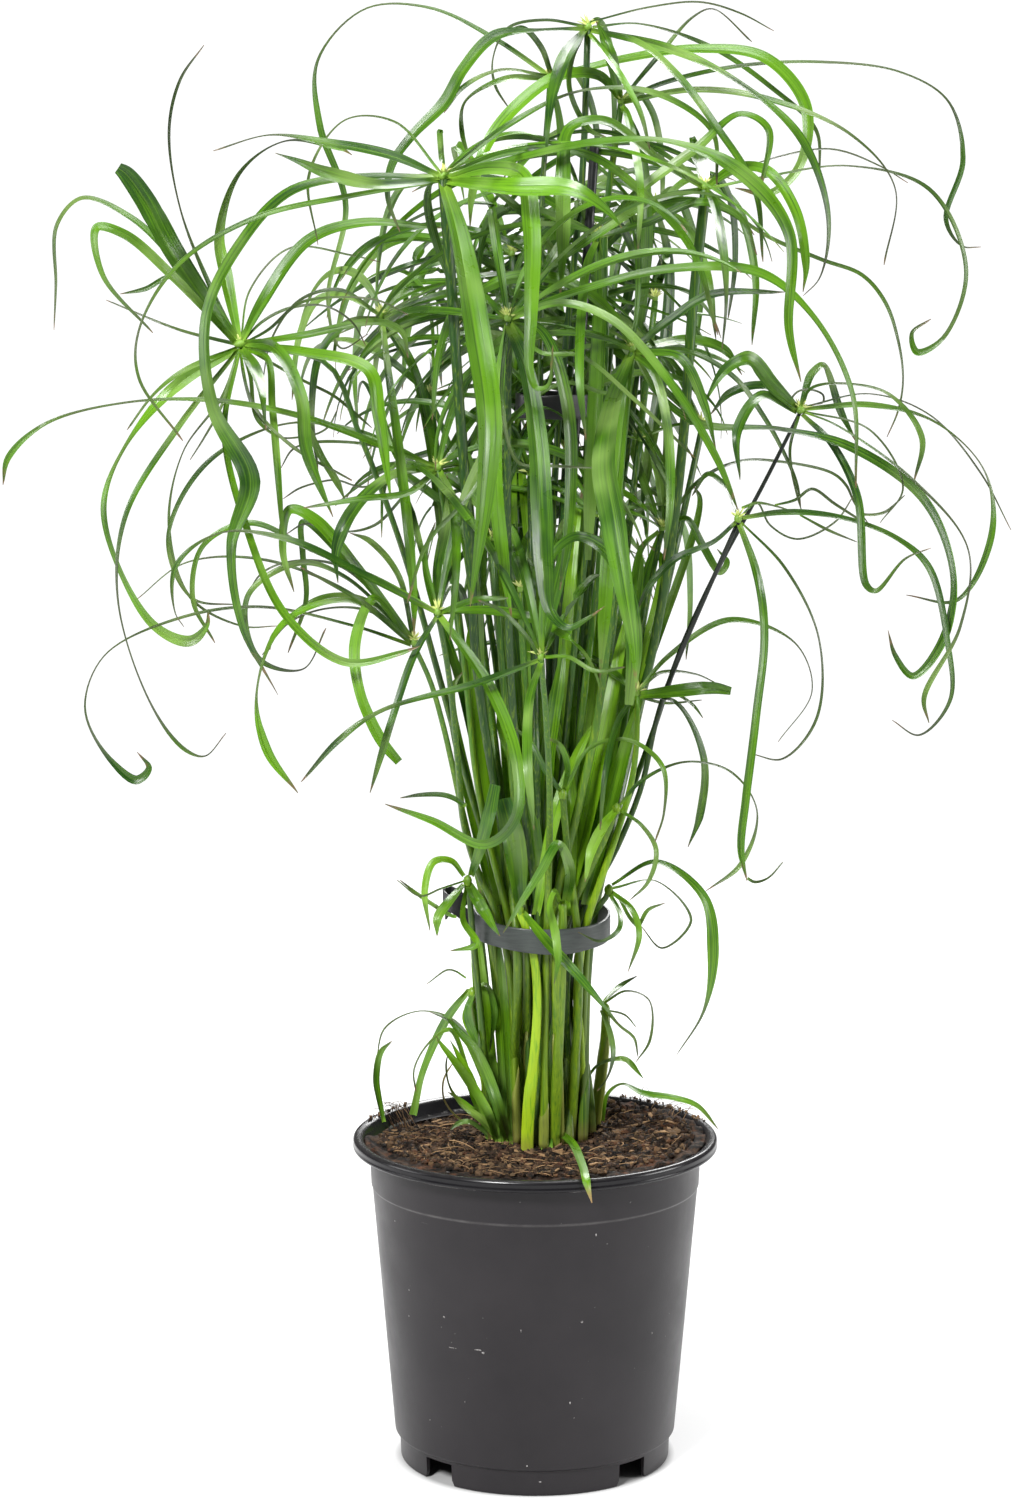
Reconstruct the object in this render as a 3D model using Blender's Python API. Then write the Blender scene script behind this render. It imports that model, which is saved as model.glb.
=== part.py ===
"""A potted umbrella sedge: pot, soil, tied stems, and a crown of arching leaves on every stem."""

import math

import bpy
import numpy as np

# Driving dimensions, in metres
POT_HEIGHT = 0.172
RIM_RADIUS = 0.095
LIP_HEIGHT = 0.0068
LIP_WIDTH = 0.0057
NECK_RADIUS = 0.0862
STEP_HEIGHT = 0.146
STEP_RADIUS = 0.0848
STEP_DEPTH = 0.0006
SHOULDER_RADIUS = 0.0734
FOOT_RADIUS = 0.071
FOOT_HEIGHT = 0.013
FOOT_WALL = 0.0025
FLOOR_TOP = 0.0155
FLOOR = 0.003
WALL = 0.0016
EDGE = 0.0014
NOTCH_WIDTH = 0.0185
NOTCH_ANGLES = (45, 135, 225, 315)
POT_SIDES = 32

SOIL_LEVEL = 0.166
SOIL_GAP = 0.0004
SOIL_SIDES = 28
CLUMP_CENTRE = (0.006, 0.016)
CLUMP_RADIUS = 0.038
SOIL_SHARES = (1.0, 0.82, 0.62, 0.42, 0)
SOIL_SLOPE = 0.02
LUMP_HEIGHTS = (0.0010, 0.0006)
LUMP_TURNS = (120, 95, 210)
EDGE_DIP = 0.0030
LOW_SIDE_DIP = 0.0045
LOW_SIDE = math.radians(140)

STRAP_LEVEL = 0.2836
STRAP_CENTRE = (0.0028, 0.005)
STRAP_HALF = (0.0345, 0.029)
STRAP_HEIGHT = 0.0125
STRAP_THICKNESS = 0.0012
STRAP_SIDES = 20
ABOVE_STRAP = 0.003
STRAP_SLOPE = (-0.045, 0.153)
KNOT_CENTRE = (-0.0412, 0.003, 0.2945)
KNOT_HALF = (0.0068, 0.006, 0.0065)

UPPER_TIE_VIEW = (553, 405, 0.025)
UPPER_TIE_HALF = (0.0185, 0.016)
UPPER_TIE_HEIGHT = 0.012
UPPER_TIE_SIDES = 12

STAKE_LOW = (-0.0037, 0.0215)
STAKE_TOP_VIEW = (595, 140, 0.022)
STAKE_RADIUS = 0.0024
STAKE_SIDES = 8

STEM_FOOT_RADIUS = 0.0027
STEM_TOP_RADIUS = 0.0019
STEM_SIDES = 5
HUB_RADIUS = 0.0024
HUB_GROWTH = 0.00014
HUB_HEIGHT = 0.0032
HUB_SHOULDER = 0.6
HUB_WAIST = 0.62
HUB_SINK = 0.3
HUB_ROOM = 0.82
HUB_LEAF = 0.42
HUB_GAPS = 3.5
LEAF_KEEL = 0.0009
TIP_WIDTH = 0.0003
BLUNT = 6
RING_SPACING = 74
SEGMENTS = (4, 9)
STEM_RINGS = 8
SHOOT_RINGS = 6
FINE_STEPS = 24
CLEAR = 0.0018
TOUCH = 0.0004

# A leaf's outline: how fast it widens, where it starts to narrow and how pointed it is
LANCE_ROOT = 0.35
LANCE_RISE = 2.6
LANCE_END = 1.04
LANCE_FALL = 0.45
LANCE_POINT = 0.8
LANCE_SPARE = 1.3
EDGE_ON = 0.15
REACH_SHARE = 0.7

# How leaves are kept apart: picture margin, samples per segment, rounds, and the reach of a hub's own leaves
MARGIN = 0.8
LEAF_MARGIN = 1.2
KEEL_SHARE = 0.7
OWN_RINGS = 3
STIFFNESS = 0.7
CELLS = 6
ROUNDS = 260
SMOOTH_ROUNDS = 195
LARGEST_PUSH = 0.004
CROWN_NEAR = 24
SHOOT_NEAR = 12
LEAF_TURN = 30.0
STEM_TURN = 60.0
STEM, RING = 1, 2

# A stem's picture points: how far above the tie, apart and under the hub they keep, and how far it runs in
ABOVE_TIE = 8
POINTS_APART = 60
UNDER_HUB = 12
INTO_HUB = 4

# The eye that the leaves' routes were read from: its place, pitch and focal length in picture pixels
EYE = np.array((-0.0149, -2.033, 0.700))
EYE_PITCH = math.radians(9.10)
FOCUS = 4013.0
MIDDLE = (506.5, 750.0)
PIXEL = 0.000507

# Every crown: the picture point and depth of its hub, the picture points its stem passes on the way
# down, and its leaves. A leaf is how far its tip lies behind its hub, then (u, v, apparent width) points.
CROWNS = {
    "a": {
        "hub": (588, 28, 0.02),
        "stem": ((586, 80), (580, 217), (560, 400, 0.022), (550, 640)),
        "leaves": (
            (-0.05, (587, 29, 5), (540, 30, 10), (495, 36, 11), (463, 70, 11), (445, 102, 12),
             (412, 136, 9), (392, 165, 8), (388, 198, 5), (400, 232, 2)),
            (-0.07, (590, 30, 4), (667, 48, 9), (740, 83, 9), (800, 137, 8), (828, 215, 5),
             (820, 277, 3), (803, 296, 1)),
            (0.06, (590, 22, 2), (650, 7, 2), (700, 2, 2), (740, 13, 2), (774, 31, 1)),
            (0.05, (593, 27, 3), (640, 24, 4), (713, 48, 5), (772, 88, 5), (816, 130, 4), (820, 172, 2)),
            (-0.10, (585, 30, 5), (568, 52, 13), (557, 80, 12), (549, 120, 8), (546, 165, 3)),
            (-0.12, (589, 33, 4), (604, 52, 6), (622, 78, 6), (640, 112, 5), (650, 150, 2)),
            (-0.10, (590, 30, 5), (638, 42, 6), (677, 75, 7), (715, 125, 7), (755, 190, 6), (763, 262, 2)),
            (-0.06, (584, 32, 4), (572, 60, 5), (570, 90, 5), (590, 130, 5), (608, 138, 2)),
            (0.04, (584, 26, 3), (545, 20, 3), (508, 28, 3), (493, 58, 3), (495, 85, 3), (510, 110, 1)),
            (0.16, (588, 25, 4), (598, 20, 6), (608, 40, 7), (614, 100, 6), (612, 170, 2)),
        ),
    },
    "p": {
        "hub": (550, 77, 0.06),
        "stem": ((548, 130), (543, 170), (540, 400, 0.030), (530, 640)),
        "leaves": (
            (0.02, (548, 75, 5), (500, 42, 5), (430, 8, 3), (365, 9, 4), (318, 60, 8), (320, 125, 7),
             (346, 205, 6), (328, 300, 4), (341, 348, 2), (368, 334, 1)),
            (-0.04, (551, 73, 5), (540, 46, 6), (522, 28, 5), (505, 33, 2)),
            (-0.07, (548, 78, 5), (505, 79, 6), (465, 102, 6), (462, 132, 5), (470, 160, 2)),
            (-0.03, (547, 76, 4), (500, 70, 5), (462, 88, 5), (444, 113, 2)),
            (-0.02, (552, 77, 6), (630, 58, 8), (700, 49, 9), (765, 58, 11), (805, 105, 12),
             (800, 165, 9), (770, 193, 7), (735, 188, 2)),
            (0.135, (551, 75, 4), (566, 66, 6), (586, 90, 7), (598, 150, 6), (590, 215, 2)),
        ),
    },
    "e": {
        "hub": (621, 102, 0.03),
        "stem": ((612, 140), (606, 210), (604, 400), (580, 640)),
        "leaves": (
            (-0.06, (619, 98, 5), (600, 76, 10), (560, 76, 11), (518, 105, 12), (487, 145, 11),
             (472, 195, 8), (470, 228, 3)),
            (-0.03, (620, 98, 6), (612, 62, 12), (603, 35, 10), (596, 21, 4)),
            (0.04, (622, 101, 4), (663, 83, 5), (740, 66, 4), (820, 62, 4), (900, 72, 6), (948, 101, 8),
             (963, 160, 8), (946, 220, 5), (962, 246, 2), (981, 247, 1)),
            (-0.04, (623, 102, 5), (688, 90, 6), (760, 97, 6), (850, 134, 5), (895, 188, 4), (884, 265, 2)),
            (0.05, (623, 98, 3), (657, 58, 5), (693, 17, 5), (713, 9, 4), (752, 42, 2)),
            (0.14, (622, 102, 4), (636, 92, 6), (652, 112, 7), (662, 165, 6), (660, 235, 2)),
            (-0.12, (621, 105, 4), (626, 112, 7), (634, 145, 8), (640, 190, 7), (638, 250, 3)),
        ),
    },
    "b": {
        "hub": (443, 177, -0.08),
        "stem": ((452, 300), (458, 400), (466, 480), (480, 700)),
        "leaves": (
            (-0.01, (440, 178, 5), (360, 177, 9), (290, 192, 9), (240, 245, 10), (207, 315, 10),
             (213, 405, 12), (250, 480, 20), (232, 545, 10), (243, 627, 7), (278, 695, 2)),
            (-0.04, (440, 180, 5), (375, 184, 10), (330, 174, 14), (295, 160, 7), (275, 153, 2)),
            (0.03, (439, 175, 5), (390, 155, 9), (325, 142, 7), (270, 135, 5), (213, 151, 2)),
            (-0.07, (440, 181, 3), (350, 196, 5), (255, 218, 5), (178, 265, 4), (139, 330, 4),
             (139, 378, 3), (183, 441, 2)),
            (-0.115, (443, 182, 10), (459, 235, 18), (476, 330, 24), (488, 420, 22), (484, 500, 16),
             (470, 607, 5)),
            (-0.05, (447, 181, 7), (510, 187, 16), (575, 190, 17), (610, 213, 9), (622, 228, 3)),
            (0.10, (443, 170, 5), (441, 146, 6), (440, 132, 6), (442, 150, 3)),
            (-0.03, (446, 177, 5), (502, 162, 6), (597, 142, 7), (672, 142, 12), (740, 172, 14),
             (788, 232, 11), (789, 330, 8), (801, 382, 3)),
            (0.02, (446, 175, 5), (513, 152, 7), (588, 155, 8), (647, 197, 8), (692, 250, 7), (718, 335, 3)),
            (0.05, (446, 173, 4), (510, 124, 6), (580, 91, 6), (655, 93, 6), (712, 131, 5), (717, 185, 2)),
            (0.05, (441, 173, 3), (395, 122, 4), (345, 120, 4), (309, 175, 3), (318, 245, 1)),
            (-0.07, (446, 179, 6), (490, 168, 12), (521, 175, 15), (531, 225, 17), (530, 320, 12),
             (529, 368, 8), (536, 388, 5), (548, 386, 4), (553, 345, 2)),
        ),
    },
    "f": {
        "hub": (705, 188, 0.0),
        "stem": ((697, 260), (686, 380), (682, 450), (668, 560), (640, 700)),
        "leaves": (
            (-0.08, (703, 187, 6), (663, 163, 8), (605, 121, 8), (570, 129, 10), (564, 180, 14),
             (563, 240, 13), (560, 300, 5)),
            (0.09, (704, 184, 8), (699, 160, 15), (692, 137, 6)),
            (-0.05, (706, 187, 5), (735, 168, 9), (767, 171, 10), (795, 210, 10), (806, 265, 8),
             (803, 292, 4)),
            (0.05, (707, 187, 3), (755, 164, 3), (830, 149, 3), (880, 166, 3), (908, 183, 1)),
            (0.02, (707, 189, 3), (760, 178, 4), (850, 166, 5), (930, 190, 7), (966, 270, 7),
             (943, 338, 6), (917, 352, 7), (912, 333, 4), (931, 319, 2)),
            (-0.07, (703, 189, 5), (655, 200, 7), (600, 233, 7), (540, 275, 3)),
            (0.13, (706, 186, 4), (716, 176, 6), (730, 200, 7), (735, 260, 6), (728, 320, 2)),
            (-0.11, (705, 190, 5), (712, 198, 8), (722, 245, 9), (726, 300, 7), (722, 350, 2)),
        ),
    },
    "d": {
        "hub": (381, 316, 0.05),
        "stem": ((388, 327), (407, 363), (440, 420), (462, 480), (500, 700)),
        "leaves": (
            (-0.12, (382, 319, 5), (387, 365, 7), (396, 430, 9), (408, 530, 10), (414, 600, 7),
             (414, 636, 4)),
            (0.06, (379, 314, 4), (345, 296, 7), (318, 300, 8), (300, 335, 7), (292, 400, 3)),
            (0.10, (383, 314, 4), (410, 290, 7), (440, 300, 8), (455, 345, 7), (458, 400, 2)),
            (-0.06, (379, 318, 4), (350, 322, 7), (322, 350, 8), (312, 410, 6), (318, 470, 2)),
            (0.14, (381, 313, 4), (372, 296, 6), (362, 310, 7), (355, 370, 6), (358, 430, 2)),
        ),
    },
    "i": {
        "hub": (508, 319, -0.10),
        "stem": ((508, 380), (507, 450), (512, 700)),
        "leaves": (
            (0.04, (510, 316, 5), (575, 292, 7), (670, 269, 8), (760, 273, 9), (812, 315, 8),
             (852, 393, 5), (856, 488, 2)),
            (-0.03, (511, 318, 5), (560, 303, 7), (612, 320, 8), (668, 380, 8), (715, 455, 7), (738, 510, 3)),
            (-0.02, (510, 321, 3), (540, 352, 4), (580, 356, 4), (635, 400, 4), (695, 458, 2)),
            (-0.03, (507, 322, 3), (502, 400, 4), (518, 462, 3), (555, 466, 3), (600, 468, 1)),
            (-0.09, (508, 323, 8), (526, 370, 14), (537, 440, 18), (541, 510, 20), (544, 570, 17),
             (550, 612, 10), (568, 628, 6), (590, 617, 4), (605, 606, 1)),
            (0.05, (505, 317, 5), (480, 296, 7), (456, 310, 8), (440, 350, 7), (432, 420, 3)),
            (0.10, (507, 316, 4), (500, 300, 6), (488, 315, 7), (480, 370, 6), (478, 440, 2)),
        ),
    },
    "j": {
        "hub": (632, 350, -0.05),
        "stem": ((628, 400), (622, 450), (600, 700)),
        "leaves": (
            (0.03, (634, 348, 5), (670, 320, 8), (710, 295, 8), (785, 292, 3)),
            (0.07, (635, 350, 5), (690, 340, 10), (725, 350, 9), (742, 375, 3)),
            (-0.03, (635, 352, 5), (680, 358, 9), (704, 405, 9), (716, 450, 3)),
            (-0.05, (630, 353, 3), (612, 392, 4), (565, 383, 4), (520, 410, 4), (472, 493, 4),
             (428, 542, 4), (407, 603, 2)),
            (-0.12, (631, 354, 8), (614, 400, 16), (605, 463, 22), (614, 520, 24), (625, 590, 20),
             (634, 650, 12), (636, 688, 5)),
            (-0.10, (633, 354, 5), (652, 370, 8), (666, 420, 9), (670, 500, 8), (664, 560, 2)),
            (0.02, (634, 354, 4), (660, 396, 6), (700, 424, 8), (779, 429, 8), (850, 447, 9),
             (924, 500, 9), (953, 575, 9), (943, 640, 9), (913, 676, 7), (895, 655, 5), (888, 630, 1)),
        ),
    },
    "c": {
        "hub": (240, 345, -0.03),
        "stem": ((268, 357), (300, 358), (333, 368), (355, 423), (378, 482), (402, 548), (440, 680)),
        "leaves": (
            (0.03, (238, 341, 3), (213, 293, 5), (180, 208, 4), (169, 130, 3), (180, 80, 3), (204, 45, 1)),
            (-0.04, (236, 340, 8), (200, 292, 16), (172, 250, 20), (145, 200, 20), (126, 174, 16),
             (118, 168, 11)),
            (0.02, (236, 341, 5), (175, 260, 7), (130, 217, 6), (82, 198, 4), (57, 225, 4), (56, 285, 4),
             (54, 330, 1)),
            (-0.06, (236, 343, 5), (170, 274, 9), (125, 235, 9), (97, 228, 8), (103, 275, 5), (153, 333, 2)),
            (0.06, (236, 344, 4), (180, 330, 6), (106, 300, 3)),
            (0.09, (236, 342, 3), (205, 305, 5), (172, 277, 5), (145, 289, 5), (120, 294, 2)),
            (-0.04, (237, 348, 4), (185, 370, 5), (155, 393, 5), (127, 430, 2)),
            (-0.02, (238, 349, 6), (180, 383, 12), (125, 447, 9), (104, 505, 6), (120, 570, 5),
             (157, 628, 9), (190, 641, 11), (207, 625, 5), (208, 609, 2)),
            (-0.06, (238, 350, 4), (180, 425, 6), (126, 515, 5), (118, 600, 4), (150, 702, 4),
             (184, 749, 4), (205, 756, 3), (226, 733, 1)),
            (0.04, (239, 350, 2), (222, 397, 3), (183, 452, 3), (169, 525, 3), (190, 597, 3),
             (242, 626, 2), (277, 626, 1)),
            (-0.05, (242, 349, 4), (266, 357, 6), (272, 407, 7), (277, 465, 7), (283, 540, 3)),
            (-0.07, (243, 343, 6), (273, 347, 11), (300, 395, 12), (306, 450, 12), (333, 517, 4)),
            (-0.10, (241, 348, 6), (253, 366, 12), (261, 392, 8), (266, 430, 3)),
            (0.02, (242, 341, 5), (262, 303, 11), (308, 241, 11), (360, 223, 9), (445, 228, 4)),
            (0.06, (241, 340, 2), (250, 290, 2), (290, 248, 2), (350, 255, 2), (380, 262, 1)),
            (0.05, (239, 340, 6), (226, 278, 13), (219, 235, 10), (240, 172, 4), (285, 141, 4),
             (340, 148, 7), (352, 155, 3)),
            (-0.08, (239, 350, 4), (224, 430, 6), (247, 530, 7), (285, 615, 8), (345, 662, 8),
             (400, 653, 5), (420, 646, 3)),
            (-0.04, (244, 346, 5), (303, 352, 9), (368, 370, 12), (378, 412, 13), (391, 500, 5)),
            (0.03, (244, 344, 4), (300, 336, 7), (380, 322, 7), (402, 332, 6), (408, 358, 2)),
            (-0.06, (240, 350, 2), (252, 402, 3), (290, 445, 3), (352, 481, 1)),
        ),
    },
    "x": {
        "hub": (438, 468, -0.03),
        "stem": ((446, 520), (462, 640), (480, 800)),
        "leaves": (
            (-0.06, (435, 466, 4), (368, 440, 6), (303, 417, 6), (220, 401, 5), (130, 402, 4), (45, 424, 5),
             (8, 458, 6), (3, 485, 1)),
            (-0.05, (435, 469, 5), (395, 474, 8), (355, 508, 12), (336, 550, 14), (338, 583, 4)),
            (-0.07, (436, 471, 4), (410, 492, 6), (360, 499, 6), (303, 508, 2)),
            (0.02, (435, 467, 4), (360, 432, 5), (285, 424, 6), (205, 465, 5), (168, 540, 4),
             (192, 598, 3), (240, 605, 1)),
            (-0.10, (440, 471, 5), (452, 500, 9), (456, 560, 8), (450, 640, 3)),
            (0.03, (440, 465, 4), (462, 452, 7), (478, 490, 8), (484, 560, 6), (480, 620, 2)),
        ),
    },
    "k": {
        "hub": (414, 643, -0.04),
        "stem": ((430, 680), (447, 740), (460, 800)),
        "leaves": (
            (-0.03, (411, 645, 4), (350, 625, 5), (260, 607, 3), (180, 618, 3), (105, 655, 3), (85, 705, 3),
             (100, 746, 5), (136, 780, 9), (149, 768, 6), (137, 752, 1)),
            (-0.04, (412, 640, 6), (355, 567, 11), (315, 520, 11), (290, 510, 9), (283, 550, 7),
             (294, 592, 3)),
            (0.02, (412, 640, 4), (345, 560, 6), (303, 522, 6), (303, 555, 6), (306, 600, 5), (288, 653, 2)),
            (0.05, (413, 639, 4), (398, 575, 6), (370, 541, 6), (350, 533, 2)),
            (-0.06, (411, 643, 4), (365, 604, 5), (300, 567, 2)),
            (0.06, (411, 642, 4), (365, 600, 5), (320, 598, 5), (272, 636, 4), (270, 650, 2)),
            (-0.06, (411, 641, 5), (374, 600, 8), (356, 640, 11), (360, 691, 10), (381, 740, 11),
             (399, 762, 8)),
            (0.04, (412, 641, 2), (345, 590, 3), (260, 559, 3), (185, 563, 3), (136, 600, 1)),
            (-0.02, (412, 640, 3), (345, 577, 4), (300, 563, 6), (248, 596, 8), (258, 658, 6),
             (303, 669, 4), (326, 628, 2)),
            (-0.08, (411, 643, 4), (350, 601, 5), (285, 622, 6), (257, 690, 5), (267, 750, 9), (298, 793, 3)),
        ),
    },
    "l": {
        "hub": (438, 613, -0.09),
        "stem": ((448, 670), (456, 740), (467, 840)),
        "leaves": (
            (-0.02, (435, 612, 4), (360, 573, 7), (290, 540, 6), (220, 533, 5), (176, 566, 5), (175, 612, 3),
             (184, 627, 1)),
            (0.05, (436, 611, 3), (380, 580, 4), (315, 552, 4), (250, 523, 6), (203, 546, 7), (193, 600, 5),
             (215, 643, 2)),
            (-0.02, (441, 612, 4), (475, 600, 6), (508, 598, 3)),
            (-0.03, (437, 616, 4), (414, 656, 7), (393, 717, 7), (383, 749, 7), (370, 793, 2)),
            (-0.06, (440, 616, 6), (488, 685, 11), (516, 760, 11), (514, 820, 10), (485, 844, 9),
             (433, 821, 7), (385, 804, 2)),
            (0.04, (438, 609, 5), (438, 570, 9), (449, 505, 9), (447, 475, 3)),
        ),
    },
    "n": {
        "hub": (541, 658, -0.11),
        "stem": ((545, 700), (550, 800)),
        "leaves": (
            (-0.02, (539, 660, 4), (478, 683, 7), (381, 711, 7), (339, 740, 6), (301, 782, 2)),
            (-0.02, (544, 657, 3), (568, 657, 4), (595, 671, 4), (625, 667, 2)),
            (-0.02, (539, 656, 3), (526, 636, 4), (500, 610, 4), (478, 600, 2)),
            (-0.03, (542, 655, 5), (544, 600, 7), (553, 555, 8), (577, 537, 9), (605, 550, 13),
             (626, 590, 15), (634, 645, 16), (629, 705, 8)),
            (-0.075, (541, 662, 5), (530, 700, 8), (528, 760, 9), (534, 830, 4)),
        ),
    },
    "o": {
        "hub": (662, 529, 0.03),
        "stem": ((655, 560), (641, 640), (625, 720), (612, 800)),
        "leaves": (
            (0.04, (662, 525, 5), (666, 490, 11), (668, 445, 10), (662, 402, 3)),
            (-0.06, (659, 531, 4), (642, 548, 6), (632, 600, 7), (628, 660, 2)),
            (-0.03, (665, 527, 4), (686, 519, 6), (702, 545, 8), (720, 572, 7), (727, 562, 6), (717, 549, 2)),
            (0.13, (664, 526, 4), (672, 512, 6), (684, 530, 7), (690, 600, 6), (686, 660, 2)),
            (0.08, (660, 526, 4), (646, 508, 6), (632, 520, 7), (622, 570, 6), (620, 630, 2)),
        ),
    },
    "m": {
        "hub": (637, 694, -0.02),
        "stem": ((637, 740, -0.022), (630, 790, -0.018), (618, 860)),
        "leaves": (
            (-0.02, (640, 695, 7), (680, 691, 13), (713, 688, 12), (731, 691, 8)),
            (0.03, (639, 691, 3), (660, 673, 4), (695, 674, 3), (718, 684, 1)),
            (0.01, (640, 697, 3), (675, 702, 4), (703, 756, 7), (700, 815, 8), (688, 847, 4)),
            (0.05, (639, 690, 3), (669, 656, 5), (730, 620, 6), (795, 643, 4), (812, 691, 3), (778, 742, 1)),
            (-0.05, (635, 697, 4), (618, 722, 6), (606, 770, 6), (600, 830, 2)),
        ),
    },
    "g": {
        "hub": (800, 411, -0.02),
        "stem": ((788, 436), (766, 480), (722, 570), (680, 660), (640, 770)),
        "leaves": (
            (0.03, (803, 409, 4), (870, 405, 6), (935, 422, 7), (985, 472, 6), (991, 537, 7), (957, 600, 4),
             (906, 595, 1)),
            (0.12, (803, 407, 2), (870, 394, 3), (930, 415, 3), (980, 472, 2), (1011, 530, 1)),
            (-0.04, (800, 407, 3), (812, 388, 3), (850, 384, 4), (890, 395, 5), (922, 438, 6), (914, 482, 2)),
            (-0.05, (797, 409, 7), (773, 386, 14), (748, 360, 15), (725, 370, 16), (703, 405, 5)),
            (0.03, (797, 408, 4), (765, 386, 8), (730, 393, 8), (710, 415, 2)),
            (-0.07, (797, 412, 5), (762, 396, 9), (738, 430, 10), (740, 480, 3)),
            (0.05, (801, 407, 5), (812, 374, 8), (823, 366, 6), (840, 410, 8), (858, 445, 3)),
            (-0.04, (802, 414, 4), (831, 443, 7), (857, 497, 8), (866, 585, 7), (876, 591, 5),
             (905, 559, 5), (931, 548, 1)),
            (-0.02, (803, 411, 2), (870, 430, 2), (903, 488, 2), (880, 523, 1)),
            (-0.07, (803, 412, 2), (836, 425, 2), (914, 481, 3), (968, 549, 3), (960, 627, 3),
             (924, 698, 5), (929, 723, 1)),
            (-0.03, (799, 415, 3), (790, 450, 3), (797, 495, 3), (802, 512, 1)),
        ),
    },
    "h": {
        "hub": (738, 520, -0.06),
        "stem": ((722, 560), (697, 614), (670, 680), (655, 725, 0.0), (634, 810, 0.012)),
        "leaves": (
            (0.03, (741, 518, 4), (785, 512, 6), (843, 518, 5), (898, 539, 5), (929, 568, 7),
             (947, 640, 6), (950, 700, 4), (919, 735, 2), (892, 720, 1)),
            (-0.01, (741, 522, 2), (785, 568, 3), (819, 639, 3), (816, 720, 3), (782, 759, 2), (752, 754, 1)),
            (-0.04, (739, 523, 5), (757, 575, 8), (764, 635, 8), (756, 714, 8), (746, 798, 8),
             (741, 850, 7), (747, 881, 2)),
            (-0.03, (736, 522, 4), (715, 541, 7), (675, 559, 7), (650, 585, 6), (636, 612, 2)),
            (0.06, (737, 517, 3), (728, 490, 5), (708, 474, 5), (692, 496, 2)),
            (0.03, (740, 517, 2), (757, 503, 2), (770, 525, 2), (797, 539, 2), (835, 522, 2), (854, 495, 1)),
        ),
    },
    "w": {
        "hub": (598, 236, -0.04),
        "stem": ((599, 300), (600, 420), (575, 640)),
        "leaves": (
            (-0.01, (600, 233, 5), (643, 188, 9), (697, 148, 9), (740, 114, 8), (768, 129, 7), (760, 192, 3)),
            (0.03, (601, 236, 4), (647, 223, 8), (700, 202, 8), (740, 217, 8), (757, 255, 3)),
            (-0.08, (597, 240, 5), (588, 262, 8), (582, 310, 9), (580, 380, 8), (586, 440, 2)),
            (0.06, (595, 235, 4), (565, 222, 7), (530, 245, 7), (505, 300, 3)),
            (0.13, (599, 233, 4), (615, 222, 7), (632, 250, 8), (640, 310, 6), (636, 380, 2)),
        ),
    },
    "y": {
        "hub": (470, 262, 0.095),
        "stem": ((474, 330), (484, 480), (505, 700)),
        "leaves": (
            (0.03, (467, 260, 5), (430, 238, 8), (385, 246, 9), (350, 290, 8), (332, 360, 3)),
            (0.08, (469, 259, 5), (455, 242, 8), (430, 258, 9), (410, 320, 8), (402, 390, 3)),
            (0.06, (473, 260, 5), (505, 238, 8), (540, 252, 9), (560, 310, 8), (564, 380, 3)),
            (-0.05, (472, 265, 5), (496, 282, 8), (512, 330, 8), (514, 400, 3)),
            (-0.02, (468, 263, 5), (436, 262, 8), (400, 290, 8), (378, 350, 6), (374, 410, 2)),
            (0.105, (471, 259, 4), (486, 246, 7), (500, 280, 8), (506, 350, 7), (500, 430, 2)),
        ),
    },
    "z": {
        "hub": (655, 205, 0.10),
        "stem": ((645, 300), (628, 450), (590, 680)),
        "leaves": (
            (0.02, (652, 203, 5), (620, 182, 8), (585, 200, 9), (560, 260, 8), (552, 330, 3)),
            (0.04, (658, 203, 5), (695, 178, 8), (735, 205, 9), (755, 275, 8), (752, 345, 3)),
            (0.085, (656, 202, 5), (672, 190, 8), (690, 225, 9), (700, 290, 8), (694, 360, 3)),
            (-0.05, (657, 208, 5), (682, 222, 8), (706, 270, 8), (716, 340, 3)),
            (0.10, (654, 202, 4), (640, 192, 7), (622, 225, 8), (612, 290, 7), (616, 360, 2)),
        ),
    },
}

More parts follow.
